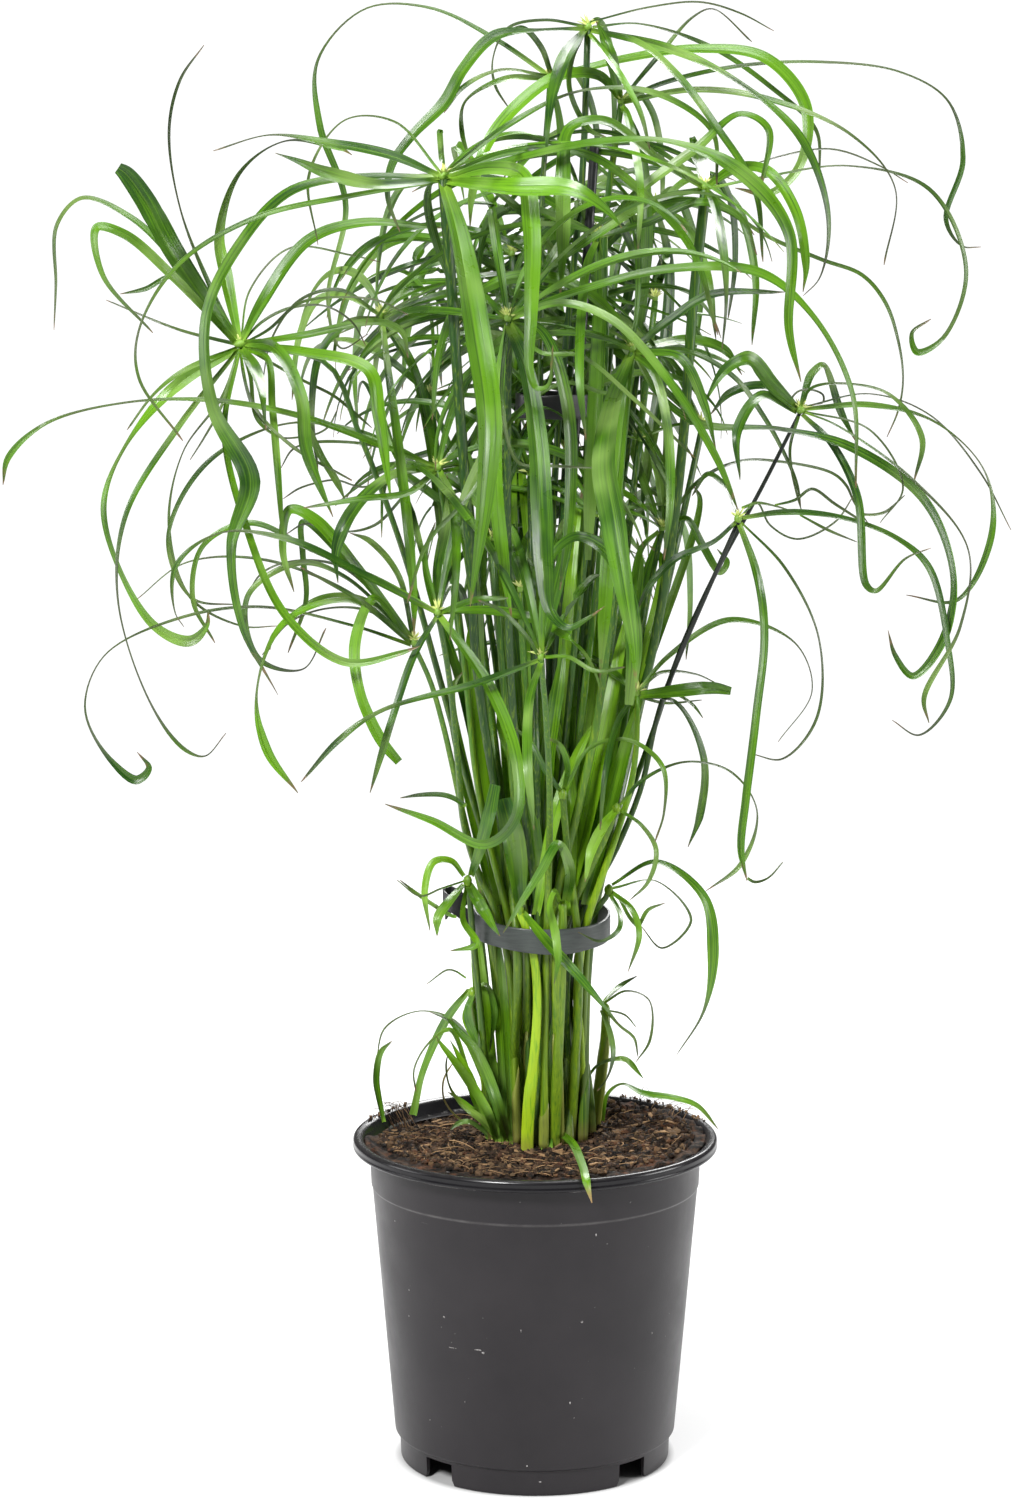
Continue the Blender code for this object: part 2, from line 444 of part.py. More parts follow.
# Young shoots low in the bundle, described as the crowns are
SHOOTS = {
    "upper_right": {
        "hub": (617, 808, -0.02),
        "stem": (),
        "leaves": (
            (-0.03, (620, 805, 3), (640, 782, 4), (685, 762, 5), (731, 772, 4), (757, 811, 4), (741, 864, 5),
             (706, 891, 1)),
            (-0.03, (616, 810, 6), (604, 826, 10), (592, 850, 10), (585, 882, 4)),
            (-0.02, (620, 810, 3), (642, 826, 4), (656, 850, 5), (648, 882, 4), (630, 900, 1)),
        ),
    },
    "inner": {
        "hub": (563, 793, -0.04),
        "stem": ((568, 850),),
        "leaves": (
            (-0.01, (565, 790, 3), (590, 748, 4), (628, 740, 4), (662, 766, 5), (664, 812, 4), (655, 842, 2)),
            (-0.02, (561, 792, 4), (545, 770, 6), (530, 742, 5), (515, 728, 2)),
            (-0.04, (564, 789, 4), (568, 768, 6), (560, 745, 5), (548, 738, 2)),
        ),
    },
    "right": {
        "hub": (609, 889, -0.002),
        "stem": (),
        "leaves": (
            (-0.01, (612, 885, 3), (656, 862, 5), (703, 896, 9), (713, 950, 12), (704, 1010, 5),
             (676, 1056, 1)),
            (0.03, (613, 888, 3), (656, 881, 3), (691, 920, 3), (662, 948, 2), (641, 926, 1)),
            (-0.03, (612, 892, 4), (632, 910, 6), (639, 935, 6), (628, 972, 1)),
            (-0.05, (610, 894, 4), (620, 915, 5), (618, 930, 5), (600, 941, 3), (578, 932, 1)),
        ),
    },
    "left": {
        "hub": (468, 880, -0.02),
        "stem": (),
        "leaves": (
            (-0.01, (464, 876, 4), (451, 861, 6), (434, 862, 7), (425, 890, 7), (430, 931, 2)),
            (-0.03, (469, 885, 8), (477, 900, 12), (490, 922, 9), (500, 936, 3)),
            (-0.03, (464, 884, 4), (449, 902, 9), (438, 918, 9), (437, 936, 4)),
            (-0.02, (471, 876, 6), (480, 850, 11), (488, 820, 13), (495, 785, 11)),
            (-0.02, (464, 881, 2), (440, 889, 2), (420, 896, 2), (397, 880, 1)),
            (-0.045, (466, 886, 3), (463, 920, 6), (476, 944, 7), (450, 951, 3)),
        ),
    },
    "middle": {
        "hub": (520, 909, -0.0195),
        "stem": (),
        "leaves": (
            (-0.012, (520, 905, 10), (517, 870, 20), (511, 830, 22), (503, 799, 16)),
            (-0.045, (523, 912, 5), (545, 940, 10), (577, 975, 9), (619, 1024, 2)),
        ),
    },
    "folded": {
        "hub": (563, 906, -0.018),
        "stem": (),
        "leaves": (
            (-0.05, (566, 901, 8), (570, 872, 11), (558, 846, 9), (541, 872, 9), (520, 905, 7),
             (503, 933, 4)),
            (-0.04, (560, 902, 4), (555, 892, 5), (550, 905, 6), (556, 935, 9), (558, 962, 8),
             (554, 984, 2)),
        ),
    },
    "low_right": {
        "hub": (606, 1008, 0.028),
        "stem": ((603, 1060),),
        "leaves": (
            (-0.01, (604, 1003, 3), (626, 991, 4), (649, 1000, 4), (650, 1040, 4), (636, 1062, 1)),
            (0.03, (604, 1001, 3), (620, 986, 5), (637, 976, 1)),
            (0.0, (604, 1009, 3), (620, 1026, 3), (634, 1038, 3), (638, 1057, 1)),
            (-0.02, (601, 1010, 3), (609, 1030, 6), (613, 1055, 5), (607, 1078, 4), (597, 1091, 2)),
        ),
    },
    "low_left": {
        "hub": (472, 992, 0.006),
        "stem": ((480, 1050),),
        "leaves": (
            (0.06, (469, 990, 5), (446, 1021, 9), (423, 1072, 10), (411, 1104, 7)),
            (0.0, (474, 991, 4), (468, 1012, 8), (474, 1035, 8), (480, 1050, 2)),
            (-0.03, (475, 987, 3), (486, 985, 4), (494, 1010, 7), (490, 1050, 2)),
        ),
    },
}

# Leaves that come straight out of the soil: where they root, how far the tip lies behind the root
SPROUTS = {
    "near_left": {
        "hub": (496, 1127),
        "leaves": (
            (0.0, (494, 1120, 5), (479, 1096, 8), (459, 1068, 7), (437, 1040, 3)),
            (0.02, (497, 1117, 6), (486, 1080, 11), (470, 1045, 9), (450, 1018, 2)),
            (0.01, (493, 1121, 3), (470, 1076, 4), (450, 1030, 5), (428, 1044, 5), (414, 1070, 4),
             (416, 1092, 2)),
            (0.04, (497, 1116, 3), (480, 1060, 4), (455, 1022, 4), (420, 1011, 4), (385, 1028, 2),
             (376, 1063, 1)),
        ),
    },
    "front": {
        "hub": (562, 1138),
        "leaves": (
            ((0.004, -0.030, -0.075, -0.092, -0.0985, -0.1005), (562, 1134, 6), (572, 1143, 8),
             (582, 1165, 8), (585, 1176, 8), (588, 1188, 8), (592, 1203, 2)),
        ),
    },
    "far_right": {
        "hub": (602, 1125),
        "leaves": (
            (-0.04, (603, 1121, 3), (608, 1094, 4), (622, 1084, 4), (643, 1093, 6), (675, 1098, 6),
             (698, 1106, 5), (718, 1129, 2)),
        ),
    },
}

# Where the stems stand: each one's foot in the soil and its place in the strap, in millimetres
BUNDLE = {
    "left": ((-22, 10), None), "k": ((-12.5, 8), (-26, 1)), "l": ((-9, 0), (-20.5, -9.5)),
    "middle": ((-4, -10.5), (-6.5, -19.5)), "n": ((4.5, -7), (6, -20)), "folded": ((9.5, -2.5), (14, -18.5)),
    "inner": ((19, 8), (21, -15)), "m": ((25, 17), (27.5, -9.5)), "right": ((29.5, 24), (31.5, 1)),
    "c": ((-10, 24), (-18.5, 7)), "x": ((-5.5, 13), (-15, -5)), "b": ((-2.5, 3.5), (-7.5, -9)),
    "i": ((3, 6), (1, -10)), "j": ((8, 10), (9, -8.5)), "upper_right": ((14, 13.5), (17, -5.5)),
    "h": ((19, 22), (24.5, -1)), "d": ((-5, 31), (-13, 16)), "p": ((1.5, 14), (-8, 3)),
    "a": ((4, 26), (7, 11)), "w": ((8.5, 19), (7.5, 3)), "e": ((12.5, 26), (14.5, 14)),
    "o": ((19, 31), (19.5, 6.5)), "g": ((26.5, 30), (27, 10)), "y": ((1.5, 34), (-8, 22)),
    "z": ((8, 34), (9.5, 25)), "f": ((14, 37), (20, 20)), "low_left": ((-21, 18.5), None),
    "low_right": ((32, 39), None),
}
MILLIMETRE = 0.001

LEAF_GREEN = (0.075, 0.27, 0.03)
STEM_GREEN = (0.06, 0.20, 0.025)
YOUNG_GREEN = (0.14, 0.36, 0.03)
POT_BLACK = (0.055, 0.052, 0.055)
SOIL_BROWN = (0.085, 0.048, 0.026)
STRAP_GREY = (0.06, 0.072, 0.064)
STAKE_BLACK = (0.012, 0.012, 0.012)


# Lines of sight

def sight(u, v, depth):
    """The point at this depth on the line of sight through a picture point."""
    across = (np.asarray(u, float) - MIDDLE[0]) / FOCUS
    up = (MIDDLE[1] - np.asarray(v, float)) / FOCUS
    cos, sin = math.cos(EYE_PITCH), math.sin(EYE_PITCH)
    forward = cos + up * sin
    reach = (np.asarray(depth, float) - EYE[1]) / forward
    rise = (up * cos - sin) * reach
    return np.stack([EYE[0] + across * reach, EYE[1] + forward * reach, EYE[2] + rise], -1)


def picture_point(point):
    """Where a point lies in the picture: u, v, and its depth."""
    x, y, z = np.asarray(point, float) - EYE
    cos, sin = math.cos(EYE_PITCH), math.sin(EYE_PITCH)
    ahead = y * cos - z * sin
    above = y * sin + z * cos
    return np.array((MIDDLE[0] + FOCUS * x / ahead, MIDDLE[1] - FOCUS * above / ahead, point[1]))


def depth_on_level(u, v, level):
    """The depth at which the line of sight through a picture point meets a level plane."""
    near, far = sight(u, v, 0.0), sight(u, v, 1.0)
    return float((level - near[2]) / (far[2] - near[2]))


# Places in the bundle

def bundle_place(key):
    """A stem's foot on the soil and its place in the strap, as points."""
    foot, tie = BUNDLE[key]
    foot = (foot[0] * MILLIMETRE, foot[1] * MILLIMETRE, SOIL_LEVEL + TOUCH)
    if tie is not None:
        tie = (tie[0] * MILLIMETRE, tie[1] * MILLIMETRE)
        tie = (*tie, strap_level(*tie) + STRAP_HEIGHT / 2 + ABOVE_STRAP)
    return foot, tie


def strap_level(x, y):
    """The height of the strap's middle line over a point."""
    return STRAP_LEVEL + STRAP_SLOPE[0] * (x - STRAP_CENTRE[0]) + STRAP_SLOPE[1] * (y - STRAP_CENTRE[1])


# Routes

def smooth_curve(points, count, turn_weight=LEAF_TURN):
    """Samples of a smooth curve through points, closer together where it turns in the picture."""
    points = np.asarray(points, float)
    steps = np.sqrt(np.maximum(np.linalg.norm(np.diff(points[:, :2], axis=0), axis=1), 1.0))
    knots = np.concatenate([[0.0], np.cumsum(steps)])
    slopes = np.empty_like(points)
    inner = np.diff(points, axis=0) / np.diff(knots)[:, None]
    slopes[0], slopes[-1] = inner[0], inner[-1]
    left, right = np.diff(knots)[:-1, None], np.diff(knots)[1:, None]
    slopes[1:-1] = (inner[:-1] * right + inner[1:] * left) / (left + right)
    fine = np.linspace(0, knots[-1], FINE_STEPS * len(points))
    span = np.clip(np.searchsorted(knots, fine, "right") - 1, 0, len(points) - 2)
    length = np.diff(knots)[span]
    t = ((fine - knots[span]) / length)[:, None]
    curve = (
        points[span] * (2 * t**3 - 3 * t**2 + 1)
        + points[span + 1] * (3 * t**2 - 2 * t**3)
        + slopes[span] * (t**3 - 2 * t**2 + t) * length[:, None]
        + slopes[span + 1] * (t**3 - t**2) * length[:, None]
    )
    moves = np.diff(curve[:, :2], axis=0)
    heading = np.unwrap(np.arctan2(moves[:, 1], moves[:, 0]))
    turn = np.concatenate([[0.0], np.abs(np.diff(heading))])
    measure = np.concatenate([[0.0], np.cumsum(np.linalg.norm(moves, axis=1) + turn_weight * turn)])
    wanted = np.linspace(0, measure[-1], count)
    return np.stack([np.interp(wanted, measure, column) for column in curve.T], 1)


def picture_measure(points):
    """A leaf's length in the picture, with its turns counted as length."""
    moves = np.diff(np.asarray(points, float)[:, :2], axis=0)
    heading = np.unwrap(np.arctan2(moves[:, 1], moves[:, 0]))
    return np.linalg.norm(moves, axis=1).sum() + LEAF_TURN * np.abs(np.diff(heading)).sum()


def leaf_route(leaf, hub_depth):
    """A leaf's samples: u, v, apparent width in pixels, depth."""
    reach, *points = leaf
    points = np.array(points, float)
    along = np.concatenate([[0.0], np.cumsum(np.linalg.norm(np.diff(points[:, :2], axis=0), axis=1))])
    along /= along[-1]
    if isinstance(reach, tuple):
        depth = np.array(reach)
    else:
        depth = hub_depth + reach * np.sin(np.minimum(along / REACH_SHARE, 1.0) * math.pi / 2)
    rings = int(np.clip(round(picture_measure(points) / RING_SPACING), *SEGMENTS)) + 1
    return smooth_curve(np.column_stack([points, depth]), rings)


def full_widths(route):
    """A leaf's real width in pixels: a lance shape that its apparent widths fit under."""
    along = np.concatenate([[0.0], np.cumsum(np.linalg.norm(np.diff(route[:, :2], axis=0), axis=1))])
    along /= along[-1]
    rise = np.minimum(LANCE_ROOT + LANCE_RISE * along, 1.0)
    shape = rise * np.minimum((LANCE_END - along) / LANCE_FALL, 1.0) ** LANCE_POINT
    widest = min(np.max(route[:, 2] / shape), LANCE_SPARE * route[:, 2].max())
    return np.maximum(widest * shape, route[:, 2])


def stem_route(head, foot, tie, count):
    """A stem's samples from its foot up to its crown: u, v, depth. It runs straight up to the strap."""
    u, v, depth = head["hub"]
    start = picture_point(foot)
    straight = []
    if tie is not None and picture_point(tie)[1] > v + ABOVE_TIE:
        straight = [start]
        start = picture_point(tie)
    points = [start]
    for pu, pv, *own in head["stem"][::-1]:
        if start[1] - POINTS_APART > pv > v + UNDER_HUB:
            share = (start[1] - pv) / (start[1] - v)
            points.append((pu, pv, own[0] if own else start[2] + (depth - start[2]) * share))
    points.append((u, v + INTO_HUB, depth))
    return np.vstack(straight + [smooth_curve(np.array(points), count - len(straight), STEM_TURN)])


# Keeping crossing leaves clear of each other

def settle(curves):
    """Moves leaves and stems along the lines of sight, and only along them, until those that cross in
    the picture pass in front of or behind each other."""
    starts = np.cumsum([0] + [len(c["depth"]) for c in curves])
    depth = np.concatenate([c["depth"] for c in curves])
    first = depth.copy()
    free = np.concatenate([c["free"] for c in curves])
    cells = []
    for index, curve in enumerate(curves):
        for ring in range(len(curve["depth"]) - 1):
            for step in range(CELLS):
                t = (step + 0.5) / CELLS
                measures = (curve[key] for key in ("u", "v", "half", "thick"))
                mix = [values[ring] * (1 - t) + values[ring + 1] * t for values in measures]
                hub = curve["hub"]
                near = math.hypot(mix[0] - hub[0], mix[1] - hub[1]) < curve["near"]
                cells.append((*mix, index, starts[index] + ring, t, curve["crown"], near, curve["group"]))
    cells = np.array(cells, float)
    owner, ring, t = cells[:, 4].astype(int), cells[:, 5].astype(int), cells[:, 6]
    pairs = []
    for start in range(0, len(cells), 500):
        block = cells[start:start + 500]
        apart = np.hypot(block[:, None, 0] - cells[None, :, 0], block[:, None, 1] - cells[None, :, 1])
        close = apart < block[:, None, 2] + cells[None, :, 2] + MARGIN
        close &= np.arange(start, start + len(block))[:, None] < np.arange(len(cells))[None, :]
        same_leaf = block[:, None, 4] == cells[None, :, 4]
        same_crown = block[:, None, 7] == cells[None, :, 7]
        at_hub = (block[:, None, 8] > 0) & (cells[None, :, 8] > 0)
        close &= ~(same_leaf & (np.abs(block[:, None, 5] - cells[None, :, 5]) < OWN_RINGS))
        close &= ~(same_crown & at_hub)
        close &= block[:, None, 9] * cells[None, :, 9] != STEM * RING
        one, other = np.nonzero(close)
        pairs.append(np.stack([one + start, other], 1))
    one, other = np.concatenate(pairs).T
    fixed = np.array([not c["free"].any() for c in curves])
    keep = ~(fixed[owner[one]] & fixed[owner[other]])
    one, other = one[keep], other[keep]

    def cell_depth(which):
        return depth[ring[which]] * (1 - t[which]) + depth[ring[which] + 1] * t[which]

    key = owner[one] * len(curves) + owner[other]
    ordered, group = np.unique(key, return_inverse=True)
    mean = np.bincount(group, cell_depth(other) - cell_depth(one)) / np.bincount(group)
    side = np.where(mean >= 0, 1.0, -1.0)[group]
    need = cells[one, 3] + cells[other, 3] + CLEAR
    total = len(depth)
    inner = np.ones(total, bool)
    inner[starts[:-1]] = inner[starts[1:] - 1] = False
    last = np.zeros(total, bool)
    last[starts[1:] - 1] = True
    before, after = np.arange(total) - 1, np.minimum(np.arange(total) + 1, total - 1)
    for turn in range(ROUNDS):
        lack = need - (cell_depth(other) - cell_depth(one)) * side
        hit = lack > 0
        if not hit.any():
            break
        a, b = one[hit], other[hit]
        both = (~fixed[owner[a]]).astype(float) + (~fixed[owner[b]])
        push = np.minimum(lack[hit], LARGEST_PUSH) * side[hit] / both
        move, weight = np.zeros(total), np.full(total, 1e-9)
        for cell, direction in ((a, -push), (b, push)):
            for offset, part in ((0, 1 - t[cell]), (1, t[cell])):
                move += np.bincount(ring[cell] + offset, direction * part, total)
                weight += np.bincount(ring[cell] + offset, part, total)
        depth += np.where(free, move / weight, 0)
        if turn < SMOOTH_ROUNDS:
            shift = depth - first
            even = STIFFNESS * shift + (1 - STIFFNESS) * (shift[before] + shift[after]) / 2
            even = np.where(last, STIFFNESS * shift + (1 - STIFFNESS) * shift[before], even)
            depth = first + np.where(free & (inner | last), even, shift)
    for index, curve in enumerate(curves):
        curve["depth"] = depth[starts[index]:starts[index + 1]]


# Meshes

def add_object(name, points, faces, colour, roughness):
    """A closed mesh as a named object with its own material, its faces turned outwards."""
    points = np.array(points, float)
    volume = 0.0
    for face in faces:
        for second, third in zip(face[1:], face[2:]):
            volume += np.dot(points[face[0]], np.cross(points[second], points[third]))
    if volume < 0:
        faces = [face[::-1] for face in faces]
    mesh = bpy.data.meshes.new(name)
    mesh.from_pydata(points.tolist(), [], [tuple(face) for face in faces])
    made = bpy.data.objects.new(name, mesh)
    bpy.context.collection.objects.link(made)
    material = bpy.data.materials.new(name)
    material.use_nodes = True
    shader = material.node_tree.nodes["Principled BSDF"]
    shader.inputs["Base Color"].default_value = (*colour, 1)
    shader.inputs["Roughness"].default_value = roughness
    mesh.materials.append(material)
    return made


def turned(profile, sides):
    """Points and faces of a closed profile turned round Z; a profile point at radius 0 stays one point."""
    points, rings = [], []
    for radius, height in profile:
        if radius == 0:
            rings.append([len(points)] * sides)
            points.append((0, 0, height))
        else:
            rings.append(list(range(len(points), len(points) + sides)))
            points += [
                (radius * math.cos(k * math.tau / sides), radius * math.sin(k * math.tau / sides), height)
                for k in range(sides)
            ]
    faces = []
    for low, high in zip(rings, rings[1:] + rings[:1]):
        for k in range(sides):
            corners = [low[k], low[(k + 1) % sides], high[(k + 1) % sides], high[k]]
            face = [c for n, c in enumerate(corners) if c not in corners[:n]]
            if len(face) > 2:
                faces.append(tuple(face))
    return points, faces


def tube_ring(centre, tangent, radius, sides):
    """The corners of one ring round a tube."""
    side = np.cross(tangent, (0.0, 1.0, 0.0))
    side /= np.linalg.norm(side)
    back = np.cross(side, tangent)
    angles = np.arange(sides) * math.tau / sides
    return centre + radius * (np.cos(angles)[:, None] * side - np.sin(angles)[:, None] * back)


def make_rod(name, centre, radii, sides, colour):
    """A round rod along a line of points, closed at both ends, its first ring level."""
    tangent = np.gradient(centre, axis=0)
    tangent /= np.linalg.norm(tangent, axis=1)[:, None]
    tangent[[0, -1]] = (0, 0, 1)
    points, faces = [], []
    for place, direction, radius in zip(centre, tangent, radii):
        points += list(tube_ring(place, direction, radius, sides))
    for low in range(0, len(points) - sides, sides):
        for k in range(sides):
            after = (k + 1) % sides
            faces.append((low + k, low + after, low + sides + after, low + sides + k))
    faces.append(tuple(range(sides))[::-1])
    faces.append(tuple(range(len(points) - sides, len(points))))
    return add_object(name, points, faces, colour, 0.5)


def leaf_frames(route):
    """Centres, width vectors and upper-side normals of a leaf's rings, in metres."""
    centre = sight(route[:, 0], route[:, 1], route[:, 3])
    tangent = np.gradient(centre, axis=0)
    tangent /= np.linalg.norm(tangent, axis=1)[:, None]
    view = EYE - centre
    view -= (view * tangent).sum(1)[:, None] * tangent
    view /= np.linalg.norm(view, axis=1)[:, None]
    across = np.cross(view, tangent)
    upward = 1.0 if across[: max(2, len(route) // 2), 2].sum() >= 0 else -1.0
    full = full_widths(route)
    cos = np.clip(route[:, 2] / full, EDGE_ON, 1.0)
    sin = np.sqrt(1 - cos**2) * upward
    normal = view * cos[:, None] + across * sin[:, None]
    width = np.cross(tangent, normal) * (full * PIXEL)[:, None]
    return centre, width, normal


def hub_slots(directions, count):
    """The leaves of a hub in the order of their directions, and angles for them that keep apart."""
    order = np.argsort(directions)
    angles = np.array(directions, float)[order]
    least = HUB_ROOM * math.tau / count
    for _ in range(200):
        following = np.roll(angles, -1)
        following[-1] += math.tau
        lack = np.maximum(least - (following - angles), 0) / 2
        angles -= lack * 0.9
        angles += np.roll(lack, 1) * 0.9
    slots = [(angle, int(leaf)) for angle, leaf in zip(angles, order)]
    for angle, following in zip(angles, np.roll(angles, -1)):
        gap = (following - angle) % math.tau or math.tau
        spare = int(gap // (math.tau / HUB_GAPS))
        slots += [(angle + gap * (k + 1) / (spare + 1), None) for k in range(spare)]
    return sorted(slots, key=lambda slot: slot[0] % math.tau), least


def whorl(name, hub, routes, stem=(), colour=LEAF_GREEN):
    """A crown: a small hub and its leaves, one closed body; with a stem given, the stem is part of it."""
    frames = [leaf_frames(route) for route in routes]
    directions = [math.atan2(*(centre[1] - hub)[[1, 0]]) for centre, _, _ in frames]
    slots, least = hub_slots(directions, max(len(routes), 4))
    half = min(least, math.tau / len(slots)) * HUB_LEAF
    radius = HUB_RADIUS + HUB_GROWTH * len(routes)
    points, faces = [hub + (0, 0, HUB_HEIGHT)], []
    edges, keels = [], []
    for angle, leaf in slots:
        sides = (angle,) if leaf is None else (angle - half, angle + half)
        edges.append(list(range(len(points), len(points) + len(sides))))
        for a in sides:
            points.append(hub + (radius * math.cos(a), radius * math.sin(a), HUB_HEIGHT * HUB_SHOULDER))
        keels.append(len(points))
        waist = HUB_WAIST * radius
        points.append(hub + (waist * math.cos(angle), waist * math.sin(angle), 0))
    for k, ((_, leaf), edge) in enumerate(zip(slots, edges)):
        after = (k + 1) % len(slots)
        faces.append((0, edge[-1], edges[after][0]))
        faces.append((edge[-1], keels[k], keels[after], edges[after][0]))
        if leaf is not None:
            faces.append((0, *edge))
            blade(points, faces, (*edge, keels[k]), routes[leaf], frames[leaf])
    ring = keels
    for *place, level_radius in stem[::-1]:
        lower = list(range(len(points), len(points) + len(slots)))
        for angle, _ in slots:
            out = (level_radius * math.cos(angle), level_radius * math.sin(angle), 0)
            points.append(np.array(place) + out)
        for k in range(len(slots)):
            after = (k + 1) % len(slots)
            faces.append((ring[k], lower[k], lower[after], ring[after]))
        ring = lower
    points.append(np.array(stem[0][:3]) if stem else hub - (0, 0, HUB_HEIGHT * HUB_SINK))
    faces += [(len(points) - 1, ring[(k + 1) % len(slots)], ring[k]) for k in range(len(slots))]
    return add_object(name, points, faces, colour, 0.45)


def blade(points, faces, root, route, frames):
    """One leaf, drawn out of a triangle of the hub along its route to a tip."""
    centre, width, normal = frames
    rings = []
    for k in range(1, len(route)):
        across = width[k] / 2
        if k == len(route) - 1 and route[k][2] < BLUNT:
            across = across * TIP_WIDTH / max(np.linalg.norm(across), TIP_WIDTH)
        rings.append((centre[k] + across, centre[k] - across, centre[k] - normal[k] * LEAF_KEEL))
    middle = sum(points[r] for r in root) / 3
    first = [corner - sum(rings[0]) / 3 for corner in rings[0]]

    def twist(shift):
        return sum(np.linalg.norm(points[root[(n + shift) % 3]] - middle - first[n]) for n in range(3))

    shift = min(range(3), key=twist)
    previous = [root[(n + shift) % 3] for n in range(3)]
    for ring in rings:
        new = list(range(len(points), len(points) + 3))
        points += ring
        left, right, keel = previous
        faces += [(right, left, new[1]), (left, new[0], new[1]), (keel, right, new[1])]
        faces += [(keel, new[1], new[2]), (left, keel, new[2]), (left, new[2], new[0])]
        previous = new
    faces.append(tuple(previous[::-1]))


def make_pot():
    """The pot: a thin tapered wall, rolled rim, floor, and a foot ring with four notches cut through it."""
    slope = (STEP_RADIUS - SHOULDER_RADIUS) / (STEP_HEIGHT - FOOT_HEIGHT)
    floor_radius = SHOULDER_RADIUS + slope * (FLOOR_TOP - FOOT_HEIGHT) - WALL
    lip_foot = POT_HEIGHT - LIP_HEIGHT
    profile = (
        (0, FLOOR_TOP - FLOOR),
        (FOOT_RADIUS - FOOT_WALL, FLOOR_TOP - FLOOR),
        (FOOT_RADIUS - FOOT_WALL, 0),
        (FOOT_RADIUS, 0),
        (FOOT_RADIUS, FOOT_HEIGHT),
        (SHOULDER_RADIUS, FOOT_HEIGHT + EDGE),
        (STEP_RADIUS, STEP_HEIGHT),
        (STEP_RADIUS + STEP_DEPTH, STEP_HEIGHT + EDGE),
        (NECK_RADIUS, lip_foot),
        (RIM_RADIUS - EDGE, lip_foot),
        (RIM_RADIUS, lip_foot + EDGE),
        (RIM_RADIUS, POT_HEIGHT - EDGE),
        (RIM_RADIUS - EDGE, POT_HEIGHT),
        (RIM_RADIUS - LIP_WIDTH + EDGE, POT_HEIGHT),
        (RIM_RADIUS - LIP_WIDTH, POT_HEIGHT - EDGE),
        (NECK_RADIUS - WALL, lip_foot - EDGE),
        (STEP_RADIUS - WALL, STEP_HEIGHT),
        (floor_radius, FLOOR_TOP),
        (0, FLOOR_TOP),
    )
    pot = add_object("pot", *turned(profile, POT_SIDES), POT_BLACK, 0.42)
    for angle in NOTCH_ANGLES:
        cut = pot.modifiers.new("notch", "BOOLEAN")
        cut.operation = "DIFFERENCE"
        cut.solver = "EXACT"
        cut.object = notch_cutter(angle)


def notch_cutter(angle):
    """A box across the foot ring, from below the foot up to the full height of the ring."""
    reach, rise = FOOT_WALL * 2, FOOT_HEIGHT - EDGE
    points = [
        (x * reach, y * NOTCH_WIDTH / 2, z)
        for z in (-EDGE, rise) for x, y in ((-1, -1), (1, -1), (1, 1), (-1, 1))
    ]
    faces = [(3, 2, 1, 0), (4, 5, 6, 7)] + [(k, (k + 1) % 4, (k + 1) % 4 + 4, k + 4) for k in range(4)]
    cutter = add_object("notch_%d" % angle, points, faces, POT_BLACK, 0.5)
    turn = math.radians(angle)
    cutter.location = (FOOT_RADIUS * math.cos(turn), FOOT_RADIUS * math.sin(turn), 0)
    cutter.rotation_euler = (0, 0, turn)
    cutter.hide_render = True
    cutter.display_type = "WIRE"
    return cutter


def soil_height(x, y):
    """The height of the soil: level in the clump, lumpy round it, lower at the back on the left."""
    away = math.hypot(x - CLUMP_CENTRE[0], y - CLUMP_CENTRE[1])
    out = min(max((away - CLUMP_RADIUS) / SOIL_SLOPE, 0.0), 1.0)
    lumps = LUMP_HEIGHTS[0] * math.sin(LUMP_TURNS[0] * x + 0.7) * math.cos(LUMP_TURNS[1] * y)
    lumps += LUMP_HEIGHTS[1] * math.sin(LUMP_TURNS[2] * (x + y))
    edge = (math.hypot(x, y) / RIM_RADIUS) ** 2
    dip = edge * (EDGE_DIP + LOW_SIDE_DIP * max(0.0, math.cos(math.atan2(y, x) - LOW_SIDE)))
    return SOIL_LEVEL + out * (lumps - dip)


def make_soil():
    """The soil: a plug with a lumpy top that fills the pot to just under the rim."""
    slope = (STEP_RADIUS - SHOULDER_RADIUS) / (STEP_HEIGHT - FOOT_HEIGHT)
    inside = math.cos(math.pi / POT_SIDES)
    low = (SHOULDER_RADIUS + slope * (FLOOR_TOP - FOOT_HEIGHT) - WALL) * inside - SOIL_GAP
    step = (STEP_RADIUS - WALL) * inside - SOIL_GAP
    high = (NECK_RADIUS - WALL) * inside - 2 * SOIL_GAP
    profile = [(0, FLOOR_TOP + SOIL_GAP), (low, FLOOR_TOP + SOIL_GAP), (step, STEP_HEIGHT - EDGE)]
    profile += [(high * share, SOIL_LEVEL) for share in SOIL_SHARES]
    points, faces = turned(profile, SOIL_SIDES)
    shaped = [(x, y, soil_height(x, y) if z == SOIL_LEVEL else z) for x, y, z in points]
    return add_object("soil", shaped, faces, SOIL_BROWN, 0.95)


